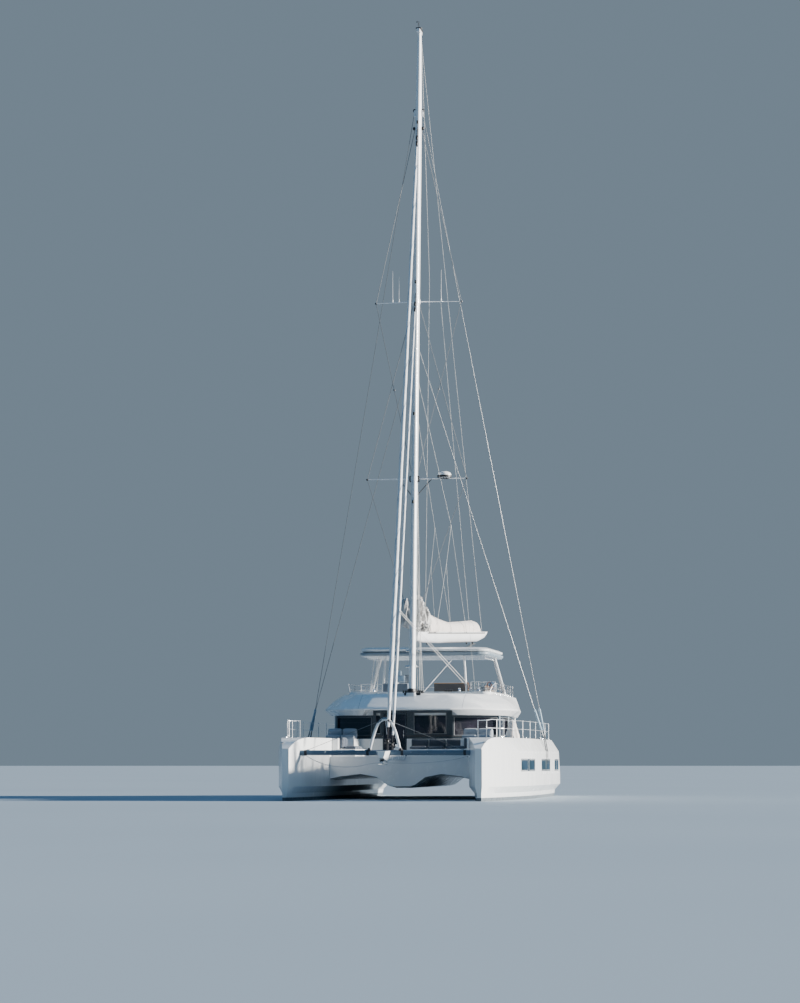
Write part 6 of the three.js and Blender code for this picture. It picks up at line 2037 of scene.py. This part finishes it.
class BuildBowGear(bpy.types.Operator):
    """Detail the crossbeam, bow arch, longeron, windlass and anchor roller"""

    bl_idname = "catamaran.build_bow_gear"
    bl_label = "Bow gear"

    def execute(self, context):
        self.painted_beam()
        metal, dark, pale = bmesh.new(), bmesh.new(), bmesh.new()
        beam_y, beam_z = BEAM
        for name, side in SIDES:
            for x in (0.62, 2.86):
                add_turned(dark, BEAM_COLLAR, at(side * x, beam_y, beam_z), 24, (1, 0, 0))
            for x in (0.95, 1.55, 2.15):
                spot = at(side * x, beam_y - 0.088, beam_z + 0.02)
                add_ball(metal, spot, (0.022, 0.014, 0.022), 6)
            add_turned(dark, ARCH_FOOT, at(side * 0.56, beam_y, beam_z + 0.06), 16)
            stay = at(side * 2.78, beam_y, beam_z + 0.085)
            add_block(metal, stay, (0.05, 0.02, 0.035), 0.008, 0.02)
            add_ball(metal, at(side * 0.14, beam_y, beam_z + 1.135), (0.035, 0.03, 0.035), 6)
            x, back, z = BRIDLE[name][0]
            add_turned(metal, EYE, at(x - side * 0.025, back, z), 16, (side, 0, 0))
            add_ball(metal, at(side * 0.055, 0.13, 1.345), (0.016, 0.022, 0.022))
        apex = at(0.0, beam_y, beam_z + 1.18)
        add_block(metal, apex, (0.10, 0.06, 0.055), 0.02, 0.05)
        add_rod(metal, apex + Vector((0, 0.05, 0.03)), at(0.0, 1.18, 2.35), 0.011)
        lamp = at(0.16, 0.62, 2.79)
        add_rod(dark, lamp, lamp + up(0.09), 0.035, sides=12)
        add_turned(metal, GYPSY, at(0.0, 3.50, 1.87), 24)
        add_slab(pale, at(-0.13, 3.28, 1.748), at(0.13, 3.72, 1.775), 0.012)
        add_slab(dark, at(-0.07, 2.70, 1.748), at(0.07, 2.90, 1.81), 0.015)
        add_rod(dark, at(-0.055, 0.20, 1.40), at(0.055, 0.20, 1.40), 0.045, sides=16)
        for x in (-0.062, 0.055):
            add_plate(metal, [at(x, back, z) for back, z in CHEEK], (0.007, 0.0, 0.0))
        finished(metal, "bow_metalwork", "steel", angle=42)
        finished(dark, "bow_rubber", "black", angle=42)
        finished(pale, "windlass_base", "gelcoat", angle=40)
        return {"FINISHED"}

    @staticmethod
    def painted_beam():
        """The crossbeam, with the dark slate of painted shade below the arch, and a wire's grey along the
        slanting edges of its arch.
        """
        bm = merged_copy("crossbeam")
        high, low = [Vector((x, BEAM[1] + rise)) for x, rise in ARCH_SLOPE]
        for face in bm.faces:
            middle = face.calc_center_median()
            spot = Vector((abs(middle.x), middle.z))
            share = (spot - high).dot(low - high) / (low - high).length_squared
            off = (high.lerp(low, share) - spot).length
            # Faces of the tube below the arch take the dark slate of painted shade; faces on the arch's
            # slanting edges take the wire's grey.
            face.material_index = 1 if middle.z < BEAM[1] + 0.09 else 2 if off < 0.02 else 0
        finishes = ["spar", "beam", "wire"]
        piece = finished(bm, "crossbeam_piece", finishes, angle=50, outward=False)
        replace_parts(piece, "crossbeam")


# Covered winch on the port side deck

# Columns: radius, height.
WINCH_PROFILE = (
    (0.265, 0.004), (0.258, 0.05), (0.240, 0.13), (0.212, 0.23), (0.184, 0.33), (0.160, 0.43),
    (0.143, 0.52), (0.128, 0.59), (0.102, 0.640), (0.064, 0.672), (0.024, 0.686), (0.0, 0.688),
)
WAIST_Z = 0.46
SKIRT_REACH = 0.272
SKIRT_TOP = 0.62


class BuildWinchCover(bpy.types.Operator):
    """Drape the canvas cover over the deck winch"""

    bl_idname = "catamaran.build_winch_cover"
    bl_label = "Winch cover"

    def execute(self, context):
        bm = bmesh.new()
        centre = at(3.92, 5.75, DECK_Z)
        add_turned(bm, WINCH_PROFILE, centre, 48)
        bmesh.ops.remove_doubles(bm, verts=bm.verts, dist=1e-4)
        bmesh.ops.recalc_face_normals(bm, faces=bm.faces)
        for vert in bm.verts:
            self.drape(vert, centre)
        piece = finished(bm, "winch_cover", "canvas", angle=60)
        cloth = piece.modifiers.new("thickness", "SOLIDIFY")
        cloth.thickness = 0.003
        cloth.offset = -1.0
        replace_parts(piece, "covered_winch")
        cord = bmesh.new()
        waist = round_points(centre + up(WAIST_Z), (0.147, 0, 0), (0, 0.147, 0), 32, closed=True)
        wavy = [point + up(0.006 * math.sin(math.tau * 3 * k / 32)) for k, point in enumerate(waist)]
        add_tube(cord, wavy, 0.006)
        finished(cord, "winch_cover_drawstring", "line", angle=50)
        return {"FINISHED"}

    @staticmethod
    def drape(vert, centre):
        """Folds that deepen towards the skirt, soft lumps, and the pull of the drawstring."""
        offset = vert.co - centre
        angle = math.atan2(offset.y, offset.x)
        low = max(0.0, 1.0 - offset.z / SKIRT_TOP)
        wave = math.sin(angle * 7.0 + 1.4 * math.sin(angle * 2.0)) * 0.026 * low ** 1.1
        lump = noise.noise(Vector((offset.x * 9.0, offset.y * 9.0, offset.z * 6.0))) * 0.012
        pull = 0.014 * math.exp(-((offset.z - WAIST_Z) / 0.03) ** 2)
        out = Vector((offset.x, offset.y, 0.0))
        if out.length > 1e-4 and offset.z > 0.002:
            vert.co += out.normalized() * min(wave + lump - pull, SKIRT_REACH - out.length)


# Flybridge

# The seating's x from and to, aft from and to, and the height of its seats.
FLY_SEATS = (0.35, 2.35, 9.95, 13.20)
FLY_SEAT_Z = 3.80
COAMING_Z = 4.04
WINCHES_BACK = 8.475
DIAL = ((0.0, 0.012), (0.030, 0.012), (0.036, 0.006), (0.036, -0.01), (0.0, -0.01))
COMPASS = ((0.0, -0.03), (0.085, -0.03), (0.085, 0.03), (0.075, 0.042), (0.0, 0.045))
FLY_DRUM = (
    (0.0, 0.0), (0.062, 0.0), (0.062, 0.014), (0.046, 0.028), (0.040, 0.075), (0.050, 0.105),
    (0.055, 0.112), (0.055, 0.135), (0.030, 0.142), (0.0, 0.142),
)
RAIL_FOOT = ((0.0, 0.0), (0.038, 0.0), (0.038, 0.007), (0.022, 0.018), (0.019, 0.05), (0.0, 0.05))
# Columns: x, aft and height of the rail that runs down to the coaming.
RAIL_END = ((2.86, 9.30, 4.365), (2.83, 8.95, 4.33), (2.76, 8.72, 4.20), (2.70, 8.60, 4.03))
# Columns: finish, x of each hank of line hung on the port rail.
HANKS = (("orange_line", (1.66, 2.52)), ("line", (1.95, 2.26)), ("blue_line", (2.62,)))


class BuildFlybridge(bpy.types.Operator):
    """Fit the helm, winches, clutches, line racks and rail details of the flybridge"""

    bl_idname = "catamaran.build_flybridge"
    bl_label = "Flybridge fittings"

    def execute(self, context):
        self.seat_bases()
        self.helm()
        self.winches()
        self.rails()
        return {"FINISHED"}

    @staticmethod
    def seat_bases():
        bm, shells, edging = bmesh.new(), bmesh.new(), bmesh.new()
        x0, x1, front, back = FLY_SEATS
        for low, high in (
            ((x0, front), (x1, front + 0.68)), ((x1 - 0.68, front), (x1, back)),
            ((x0, back - 0.68), (x1, back)),
        ):
            add_slab(bm, at(*low, FLY_SOLE_Z), at(*high, FLY_SEAT_Z), 0.018)
        add_slab(shells, at(x0, front, FLY_SOLE_Z + 0.01), at(1.70, front + 0.045, 4.395), 0.018)
        add_slab(shells, at(x1 - 0.045, front, FLY_SOLE_Z + 0.01), at(x1, back, 4.28), 0.018)
        add_tube(edging, [at(x0, front + 0.022, 4.397), at(1.68, front + 0.022, 4.397)], 0.018, 8)
        add_tube(edging, [at(x1 - 0.022, front + 0.06, 4.282), at(x1 - 0.022, back, 4.282)], 0.014, 8)
        finished(shells, "flybridge_seat_shells", "shell", angle=35)
        finished(edging, "flybridge_seat_edging", "piping", angle=50)
        for seam in (10.35, 12.75):
            add_slab(bm, at(x0 - 0.004, seam, 3.60), at(x0 + 0.01, seam + 0.012, 3.77), 0.002)
        piece = finished(bm, "flybridge_seat_base", "gelcoat", angle=35)
        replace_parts(piece, "flybridge_seating")

    @staticmethod
    def helm():
        x, front = -1.0, 8.95
        dark, pale, metal = bmesh.new(), bmesh.new(), bmesh.new()
        screen, wheel = bmesh.new(), bmesh.new()
        outward = Vector((0.0, 0.35, 0.13)).normalized()
        turn = outward.to_track_quat("Z", "Y").to_matrix().to_4x4()
        for shift, wide in ((-0.25, 0.17), (0.13, 0.19)):
            place = Matrix.Translation(at(x + shift, front + 0.315, 4.22)) @ turn
            add_cube(dark, place, (wide * 2, 0.21, 0.030), 0.006)
        for k in range(3):
            add_turned(dark, DIAL, at(x - 0.34, front + 0.27 + 0.045 * k, 4.335 - 0.12 * k), 16, outward)
        compass = at(x + 0.02, front + 0.13, 4.40)
        add_turned(pale, COMPASS, compass, 20)
        add_ball(dark, compass + up(0.03), (0.062, 0.062, 0.052), 10)
        lever = at(x + 0.40, front + 0.34, 4.07)
        add_block(pale, lever, (0.05, 0.05, 0.05), 0.015, 0.02)
        for shift in (-0.02, 0.02):
            add_rod(metal, lever + Vector((shift, 0, 0.05)), lever + Vector((shift, -0.05, 0.20)), 0.008)
            add_ball(dark, lever + Vector((shift, -0.05, 0.205)), 0.019, 6)
        hoop = ((-0.44, 0.06, 4.34), (-0.44, 0.02, 4.46), (0.44, 0.02, 4.46), (0.44, 0.06, 4.34))
        add_tube(metal, [at(x + aside, front + back, z) for aside, back, z in hoop], 0.013, 8)
        add_slab(screen, at(x - 0.06, front + 0.06, 4.40), at(x + 0.36, front + 0.085, 4.68), 0.012)
        add_slab(screen, at(x + 0.10, front + 0.05, 4.69), at(x + 0.22, front + 0.10, 4.86), 0.015)
        for foot in (at(x, front + 0.075, 4.30), at(x + 0.30, front + 0.075, 4.30)):
            add_rod(metal, foot, foot + up(0.12), 0.012)
        finished(screen, "helm_screen", "screen", angle=35)
        finished(dark, "helm_instruments", "black", angle=35)
        finished(pale, "helm_mounts", "gelcoat", angle=40)
        finished(metal, "helm_metalwork", "steel", angle=50)
        rim = round_points(at(x, 9.45, 3.99), (0.381, 0, 0), (0, 0, 0.381), 30, closed=True)
        for a, b in zip(rim, rim[1:]):
            add_rod(wheel, a, b, 0.0195)
        finished(wheel, "wheel_grip", "black", "steering_wheel", 50)

    @staticmethod
    def winches():
        metal, dark, ropes = bmesh.new(), bmesh.new(), bmesh.new()
        for x in (-1.75, -0.30, 2.30, 1.55):
            spot = at(x, WINCHES_BACK, COAMING_Z)
            add_turned(metal, FLY_DRUM, spot, 20)
            for k in range(3):
                turn = round_points(spot + up(0.040), (0.047, 0, 0), (0, 0.047, 0), 16, closed=True)
                wound = [point + up(0.015 * (k + j / 16)) for j, point in enumerate(turn)]
                add_tube(ropes, wound, 0.0065, 5)
        for x in [first + 0.062 * k for first in (-0.16, 1.02) for k in range(5)]:
            spot = at(x, WINCHES_BACK, COAMING_Z)
            add_block(dark, spot, (0.024, 0.085, 0.060), 0.010, 0.0)
            add_rod(dark, spot + Vector((0, -0.03, 0.055)), spot + Vector((0, 0.07, 0.088)), 0.009, sides=6)
        finished(metal, "flybridge_winches", "steel", angle=40)
        finished(dark, "rope_clutches", "black", angle=40)
        finished(ropes, "winch_turns", "blue_line", angle=50)

    @staticmethod
    def rails():
        rails, bases = bmesh.new(), bmesh.new()
        x0, x1, back = -2.42, -1.42, 9.42
        for z in (4.13, 4.36):
            add_rod(rails, at(x0, back, z), at(x1, back, z), 0.014)
        for x in (x0, (x0 + x1) / 2, x1):
            add_rod(rails, at(x, back, 3.50), at(x, back, 4.375), 0.015)
        for _, side in SIDES:
            add_tube(rails, smooth_line([at(side * x, y, z) for x, y, z in RAIL_END], 5), 0.013, 8)
        for z in (4.16, 4.30, 4.44):
            add_rod(rails, at(1.80, 9.88, z), at(2.74, 9.88, z), 0.015)
        for x, foot in ((1.80, 3.51), (2.10, 3.51), (2.42, 3.51), (2.74, ROOF_TOP_Z)):
            add_rod(rails, at(x, 9.88, foot), at(x, 9.88, 4.455), 0.015)
        finished(rails, "flybridge_front_rails", "rail", angle=50)
        for finish, spots in HANKS:
            hanks = bmesh.new()
            for x, k in [(x, k) for x in spots for k in range(3)]:
                middle, half = at(x, 9.855 - 0.014 * k, 4.29), 0.075 + 0.008 * k
                add_tube(hanks, round_points(middle, (half, 0, 0), (0, 0, 0.145), 24, closed=True), 0.009)
            finished(hanks, f"flybridge_hanks_{finish}", finish, angle=50)
        for _, side in SIDES:
            for back in (9.3, 10.5, 11.7, 12.8, 13.6, 14.38):
                add_turned(bases, RAIL_FOOT, at(side * 2.86, back, ROOF_TOP_Z), 12)
        finished(bases, "flybridge_rail_feet", "steel", angle=40)


# Saloon


class BuildSaloon(bpy.types.Operator):
    """Top the saloon furniture with worktops, and fit locker doors, handles and a tap"""

    bl_idname = "catamaran.build_saloon"
    bl_label = "Saloon"

    def execute(self, context):
        wood, stone, metal = bmesh.new(), bmesh.new(), bmesh.new()
        side, low, high = 2.3797, 1.56, 2.16
        for x0, x1, y0, y1 in ((-side, 0.0, 8.30, 8.90), (-side, -1.70, 8.90, 11.60)):
            add_slab(stone, at(x0, y0 - 0.012, 2.205), at(x1 + 0.012, y1, 2.232), 0.006)
        for y in [9.05 + 0.50 * k for k in range(5)]:
            add_slab(wood, at(-1.702, y, low), at(-1.684, y + 0.47, high), 0.005)
            add_rod(metal, at(-1.668, y + 0.12, 2.09), at(-1.668, y + 0.35, 2.09), 0.006, sides=6)
        for x in [-2.30 + 0.56 * k for k in range(4)]:
            add_slab(wood, at(x, 8.892, low), at(x + 0.52, 8.914, high), 0.005)
        spout = ((-2.15, 2.23), (-2.15, 2.50), (-2.05, 2.54), (-1.95, 2.48))
        add_tube(metal, [at(x, 10.1, z) for x, z in spout], 0.011, 8)
        finished(wood, "saloon_doors", "joinery", angle=35)
        finished(stone, "saloon_worktops", "gelcoat", angle=35)
        finished(metal, "saloon_handles", "steel", angle=45)
        return {"FINISHED"}


# Tables, steps and stern

PLATFORM_Z = 0.50
HULL_STEPS, STAIRS = 5, 8
# How far a tread's top and underside lie from the step's own top.
TREAD = (0.010, -0.002)
TABLE_FOOT = ((0.0, 0.0), (0.16, 0.0), (0.16, 0.012), (0.08, 0.03), (0.078, 0.06))


class BuildStern(bpy.types.Operator):
    """Lay the treads of the stern steps, set their lights, and trim the tables"""

    bl_idname = "catamaran.build_stern"
    bl_label = "Stern"

    def execute(self, context):
        treads, lights, rims, cups = bmesh.new(), bmesh.new(), bmesh.new(), bmesh.new()
        top, under = TREAD
        rise = (DECK_Z - PLATFORM_Z) / HULL_STEPS
        for name, side in SIDES:
            tree = hull_tree(name)
            for step in range(HULL_STEPS):
                z = DECK_Z - (step + 1) * rise
                front = 14.30 + step * 0.52
                back = front + 0.52 if step < 4 else 16.98
                outside = at(side * HULL_X, (front + back) / 2, z + 0.03)
                outer = tree.ray_cast(outside, Vector((side, 0.0, 0.0)))[0]
                reach = abs(outer.x) - 0.07 if outer else HULL_X + 0.62
                x0, x1 = sorted((side * (HULL_X - 0.83), side * reach))
                add_slab(treads, at(x0, front + 0.06, z + under), at(x1, back - 0.05, z + top), 0.004)
                light = at(side * HULL_X, front + 0.001, z + 0.20)
                add_rod(lights, light, light + Vector((0.0, 0.011, 0.0)), 0.030, sides=12)
        for k in range(STAIRS):
            back = 14.42 - k * 0.18
            z = SOLE_Z + (k + 0.7) * (FLY_SOLE_Z - SOLE_Z) / STAIRS
            add_slab(treads, at(-2.33, back - 0.172, z + under), at(-1.79, back - 0.012, z + top), 0.004)
        finished(treads, "stern_treads", "teak", angle=35)
        finished(lights, "step_lights", "steel", angle=40)

        for table in ("cockpit_table", "flybridge_table"):
            low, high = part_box(table)
            corners = [
                Vector((x, y, high.z + 0.001))
                for x, y in (
                    (low.x + 0.03, low.y + 0.03), (high.x - 0.03, low.y + 0.03),
                    (high.x - 0.03, high.y - 0.03), (low.x + 0.03, high.y - 0.03),
                )
            ]
            for a, b in zip(corners, corners[1:] + corners[:1]):
                add_bar(rims, a, b, 0.035, 0.014)
            middle = (low + high) / 2
            add_turned(cups, TABLE_FOOT, Vector((middle.x, middle.y, low.z)), 24)
        finished(rims, "table_rims", "joinery", angle=35)
        finished(cups, "table_feet", "steel", angle=40)
        return {"FINISHED"}


LATCH = ((0.0, 0.0), (0.032, 0.0), (0.032, 0.005), (0.020, 0.007), (0.0, 0.003))


class BuildHatchFittings(bpy.types.Operator):
    """Fit the treads and latches of the engine hatches, and the engines' covers, pulleys and pipe"""

    bl_idname = "catamaran.build_hatch_fittings"
    bl_label = "Engine hatches"

    def execute(self, context):
        for name, side in SIDES:
            x = side * HULL_X
            body = f"engine_hatch_{name}"
            metal, tread, engine, pipes = bmesh.new(), bmesh.new(), bmesh.new(), bmesh.new()
            add_slab(tread, at(x - 0.34, 13.10, DECK_Z - 0.001), at(x + 0.34, 13.70, DECK_Z + 0.004), 0.002)
            for off in (-0.22, 0.22):
                add_turned(metal, LATCH, at(x + off, 13.735, DECK_Z), 16)
            finished(tread, f"engine_hatch_tread_{name}", "non_slip", body, 35)
            finished(metal, f"engine_hatch_latches_{name}", "steel", body, 40)
            low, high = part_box(f"engine_{name}")
            mid, top = (low.x + high.x) / 2, high.z
            add_slab(
                engine, (mid - 0.22, low.y + 0.06, top - 0.02), (mid + 0.22, high.y - 0.10, top + 0.10), 0.03,
            )
            for k in range(4):
                foot = Vector((mid - 0.10, low.y + 0.16 + 0.17 * k, top + 0.08))
                add_rod(engine, foot, foot + up(0.06), 0.035, sides=12)
            for radius, aside, drop, steps in ((0.12, 0.0, 0.25, 24), (0.06, 0.18, 0.05, 20)):
                pulley = ((0.0, -0.03), (radius, -0.03), (radius, 0.03), (0.0, 0.03))
                add_turned(pipes, pulley, Vector((mid + aside, low.y - 0.03, top - drop)), steps, (0, 1, 0))
            add_tube(pipes, smooth_line([
                (mid + 0.20, high.y - 0.15, top - 0.02), (mid + 0.30, high.y - 0.05, top + 0.05),
                (mid + 0.32, high.y + 0.05, top - 0.15), (mid + 0.32, high.y + 0.04, low.z + 0.10),
            ], 5), 0.030, 8)
            finished(engine, f"engine_cover_{name}", "casting", angle=35)
            finished(pipes, f"engine_pulleys_{name}", "rubber", angle=40)
        return {"FINISHED"}


# Cushions

SEAT_Z = (1.853, 1.955)
BACK_TOP_Z = 2.285
# Columns: aft from and to, and outer edge of each seat along the forward cockpit's sides.
FORWARD_RUNS = ((4.78, 5.21, 2.23), (5.22, 5.64, 2.23), (5.65, 6.27, 1.98))


def cushion_rows():
    """Every cushion: name, finish, node, low and high corner, and the face that stays flat.

    A corner is x, aft and height.
    """
    rows = []
    seat, back_top = SEAT_Z, BACK_TOP_Z

    def add(name, finish, node, x, back, z, fixed="bottom"):
        rows.append((name, finish, node, (x[0], back[0], z[0]), (x[1], back[1], z[1]), fixed))

    for name, side in SIDES:
        node = f"forward_cushions_{name}"
        for k, (start, end, edge) in enumerate(FORWARD_RUNS):
            add(f"forward_seat_{name}_{k}", "bench", node, (side * 1.775, side * edge), (start, end), seat)
            if k < 2:
                add(f"forward_back_{name}_{k}", "bench", node, (side * 2.245, side * 2.385), (start, end),
                    (seat[0], back_top), "outer")
    node = "forward_cushions_port"
    for k in range(3):
        x = (0.67 * k - 0.04, 0.67 * k + 0.62)
        add(f"forward_seat_aft_{k}", "bench", node, x, (6.285, 6.730), seat)
        add(f"forward_back_aft_{k}", "bench", node, x, (6.745, 6.885), (seat[0], 2.245), "aft")
    for name, side in SIDES:
        node = f"sunbed_{name}"
        for k, (x0, x1) in enumerate(((2.015, 2.565), (2.575, 3.125))):
            x, low = (side * x0, side * x1), DECK_Z + 0.004
            add(f"sunbed_pad_{name}_{k}", "cushion", node, x, (5.715, 6.21), (low, DECK_Z + 0.125))
            add(f"sunbed_head_{name}_{k}", "cushion", node, x, (6.225, 6.485), (low, DECK_Z + 0.385))
    x0, _, front, back = FLY_SEATS
    node, fly = "flybridge_seating", (FLY_SEAT_Z + 0.003, FLY_SEAT_Z + 0.112)
    for k in range(3):
        x = (x0 + 0.445 * k + 0.005, x0 + 0.445 * k + 0.44)
        add(f"fly_seat_front_{k}", "cushion", node, x, (front + 0.19, front + 0.69), fly)
        add(f"fly_back_front_{k}", "cushion", node, x, (front + 0.05, front + 0.18), (fly[0], 4.40), "front")
        add(f"fly_seat_aft_{k}", "cushion", node, x, (back - 0.69, back - 0.01), fly)
    for k in range(4):
        run = (front + 0.05 + 0.795 * k, front + 0.835 + 0.795 * k)
        add(f"fly_seat_side_{k}", "cushion", node, (1.70, 2.165), run, fly)
        add(f"fly_back_side_{k}", "cushion", node, (2.175, 2.30), run, (fly[0], 4.295), "outer")
    add("helm_seat_cushion", "cushion", "helm_seat", (-1.49, -0.51), (10.16, 10.59), (4.055, 4.155))
    add("helm_seat_back", "cushion", "helm_seat", (-1.49, -0.51), (10.60, 10.71), (4.11, 4.79))
    node = "cockpit_cushions"
    for k in range(4):
        x = (0.822 * k - 1.64, 0.822 * k - 0.828)
        add(f"cockpit_seat_{k}", "cushion", node, x, (15.01, 15.43), seat)
        add(f"cockpit_back_{k}", "cushion", node, x, (15.445, 15.59), (seat[0], back_top), "aft")
    return rows


# The most that a cushion's cloth moves, the room left for it, and the size of its faces.
CUSHION_CAP = 0.022
CUSHION_START = 0.012
CUSHION_CELL = 0.030
# The axis of the face that stays flat, and whether it lies at the axis's far end.
FLAT_FACES = {"bottom": (2, False), "aft": (1, True), "front": (1, False)}


class BuildCushions(bpy.types.Operator):
    """Make every cushion: a sewn box that swells, with piping on its seams"""

    bl_idname = "catamaran.build_cushions"
    bl_label = "Cushions"

    def execute(self, context):
        for row in cushion_rows():
            self.cushion(*row)
        bm = bmesh.new()
        add_slab(bm, at(-1.50, 10.20, FLY_SOLE_Z), at(-0.50, 10.65, 4.045), 0.03)
        add_slab(bm, at(-1.50, 10.66, 4.05), at(-0.50, 10.72, 4.72), 0.02)
        piece = finished(bm, "helm_seat_base", "gelcoat", angle=35)
        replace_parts(piece, "helm_seat")
        return {"FINISHED"}

    def cushion(self, name, finish, node, low, high, fixed):
        a, b = at(*low), at(*high)
        low = Vector([min(p, q) for p, q in zip(a, b)])
        high = Vector([max(p, q) for p, q in zip(a, b)])
        axis, far = FLAT_FACES.get(fixed) or (0, low.x > 0)
        room = Vector([CUSHION_START] * 3)
        inner_low, inner_high = low + room, high - room
        size = inner_high - inner_low
        if far:
            inner_high[axis] = high[axis] - 0.001
        else:
            inner_low[axis] = low[axis] + 0.001
        plane = (inner_high if far else inner_low)[axis]

        def held(point):
            return abs(point[axis] - plane) < 0.008

        bm = bmesh.new()
        add_slab(bm, inner_low, inner_high, min(0.030, min(size) * 0.35))
        bm = remeshed(bm, name, CUSHION_CELL)
        bm = cloth_settled(bm, name, 4.0, CUSHION_CAP, held)
        body = frame["nodes"][node]["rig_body"]
        piece = finished(bm, name, finish, body, 60)
        smoothed(piece)
        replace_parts(piece, node)
        self.piping(piece, name, low, high, axis, far, body)

    @staticmethod
    def crown(bm, low, high, held):
        """Swells the form by its distance from the edges, as a stand-in for the simulation."""
        middle, half = (low + high) / 2, (high - low) / 2
        for vert in bm.verts:
            if held(vert.co):
                continue
            share = [(vert.co[k] - middle[k]) / half[k] for k in range(3)]
            for k in range(3):
                others = [1.0 - min(1.0, abs(share[j])) ** 2.5 for j in range(3) if j != k]
                vert.co[k] += math.copysign(0.018, share[k]) * abs(share[k]) ** 2 * others[0] * others[1]

    @staticmethod
    def piping(piece, name, low, high, axis, far, body):
        """Cord sewn into the seam round the cushion's exposed face."""
        tree = BVHTree.FromObject(piece, bpy.context.evaluated_depsgraph_get())
        u, v = [k for k in range(3) if k != axis]
        level_at = low[axis] + 0.020 if far else high[axis] - 0.020
        outline = rounded_pane((low[u] + 0.008, low[v] + 0.008), (high[u] - 0.008, high[v] - 0.008), 0.03, 3)
        bm, loop = bmesh.new(), []
        for (p, q), (r, s) in zip(outline, outline[1:] + outline[:1]):
            count = max(1, int(math.hypot(r - p, s - q) / 0.09))
            for k in range(count):
                spot = Vector()
                spot[axis] = level_at
                spot[u] = p + (r - p) * k / count
                spot[v] = q + (s - q) * k / count
                near = tree.find_nearest(spot)
                loop.append(near[0] + near[1] * 0.001)
        add_tube(bm, [*loop, loop[0]], 0.0045, 5)
        finished(bm, f"{name}_piping", "piping_dark", body, 60)


# Panel and running


CLASSES = (
    CatamaranColours,
    CatamaranSizes,
    CatamaranStage,
    BuildStage,
    BuildBridle,
    DressHulls,
    DressNodes,
    BuildHullLights,
    BuildDeckFittings,
    BuildTrampolines,
    BuildCabinTrim,
    BuildRoofDetails,
    BuildHardtopDetails,
    BuildMastFittings,
    BuildMastLines,
    BuildBoomLines,
    BuildHeadsails,
    BuildStowedSail,
    BuildMainsheet,
    BuildBowGear,
    BuildWinchCover,
    BuildFlybridge,
    BuildSaloon,
    BuildStern,
    BuildHatchFittings,
    BuildCushions,
)
STEPS = tuple(kind for kind in CLASSES if issubclass(kind, bpy.types.Operator))


class CatamaranPanel(bpy.types.Panel):
    """Lists the steps that dress the catamaran"""

    bl_idname = "VIEW3D_PT_catamaran"
    bl_label = "Sailing catamaran"
    bl_space_type = "VIEW_3D"
    bl_region_type = "UI"
    bl_category = "Catamaran"

    def draw(self, context):
        column = self.layout.column()
        for step in STEPS:
            column.operator(step.bl_idname)
        for group in (
            context.scene.catamaran_colours, context.scene.catamaran_sizes, context.scene.catamaran_stage,
        ):
            for name in group.bl_rna.properties.keys()[2:]:
                column.prop(group, name)


def register():
    for kind in (*CLASSES, CatamaranPanel):
        bpy.utils.register_class(kind)
    bpy.types.Scene.catamaran_colours = PointerProperty(type=CatamaranColours)
    bpy.types.Scene.catamaran_sizes = PointerProperty(type=CatamaranSizes)
    bpy.types.Scene.catamaran_stage = PointerProperty(type=CatamaranStage)


def unregister():
    del bpy.types.Scene.catamaran_stage
    del bpy.types.Scene.catamaran_sizes
    del bpy.types.Scene.catamaran_colours
    for kind in reversed((*CLASSES, CatamaranPanel)):
        bpy.utils.unregister_class(kind)


def main():
    """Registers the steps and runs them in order."""
    register()
    make_finishes(bpy.context.scene.catamaran_colours)
    for step in STEPS:
        group, name = step.bl_idname.split(".")
        getattr(getattr(bpy.ops, group), name)()
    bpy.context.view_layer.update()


if __name__ == "__main__":
    main()
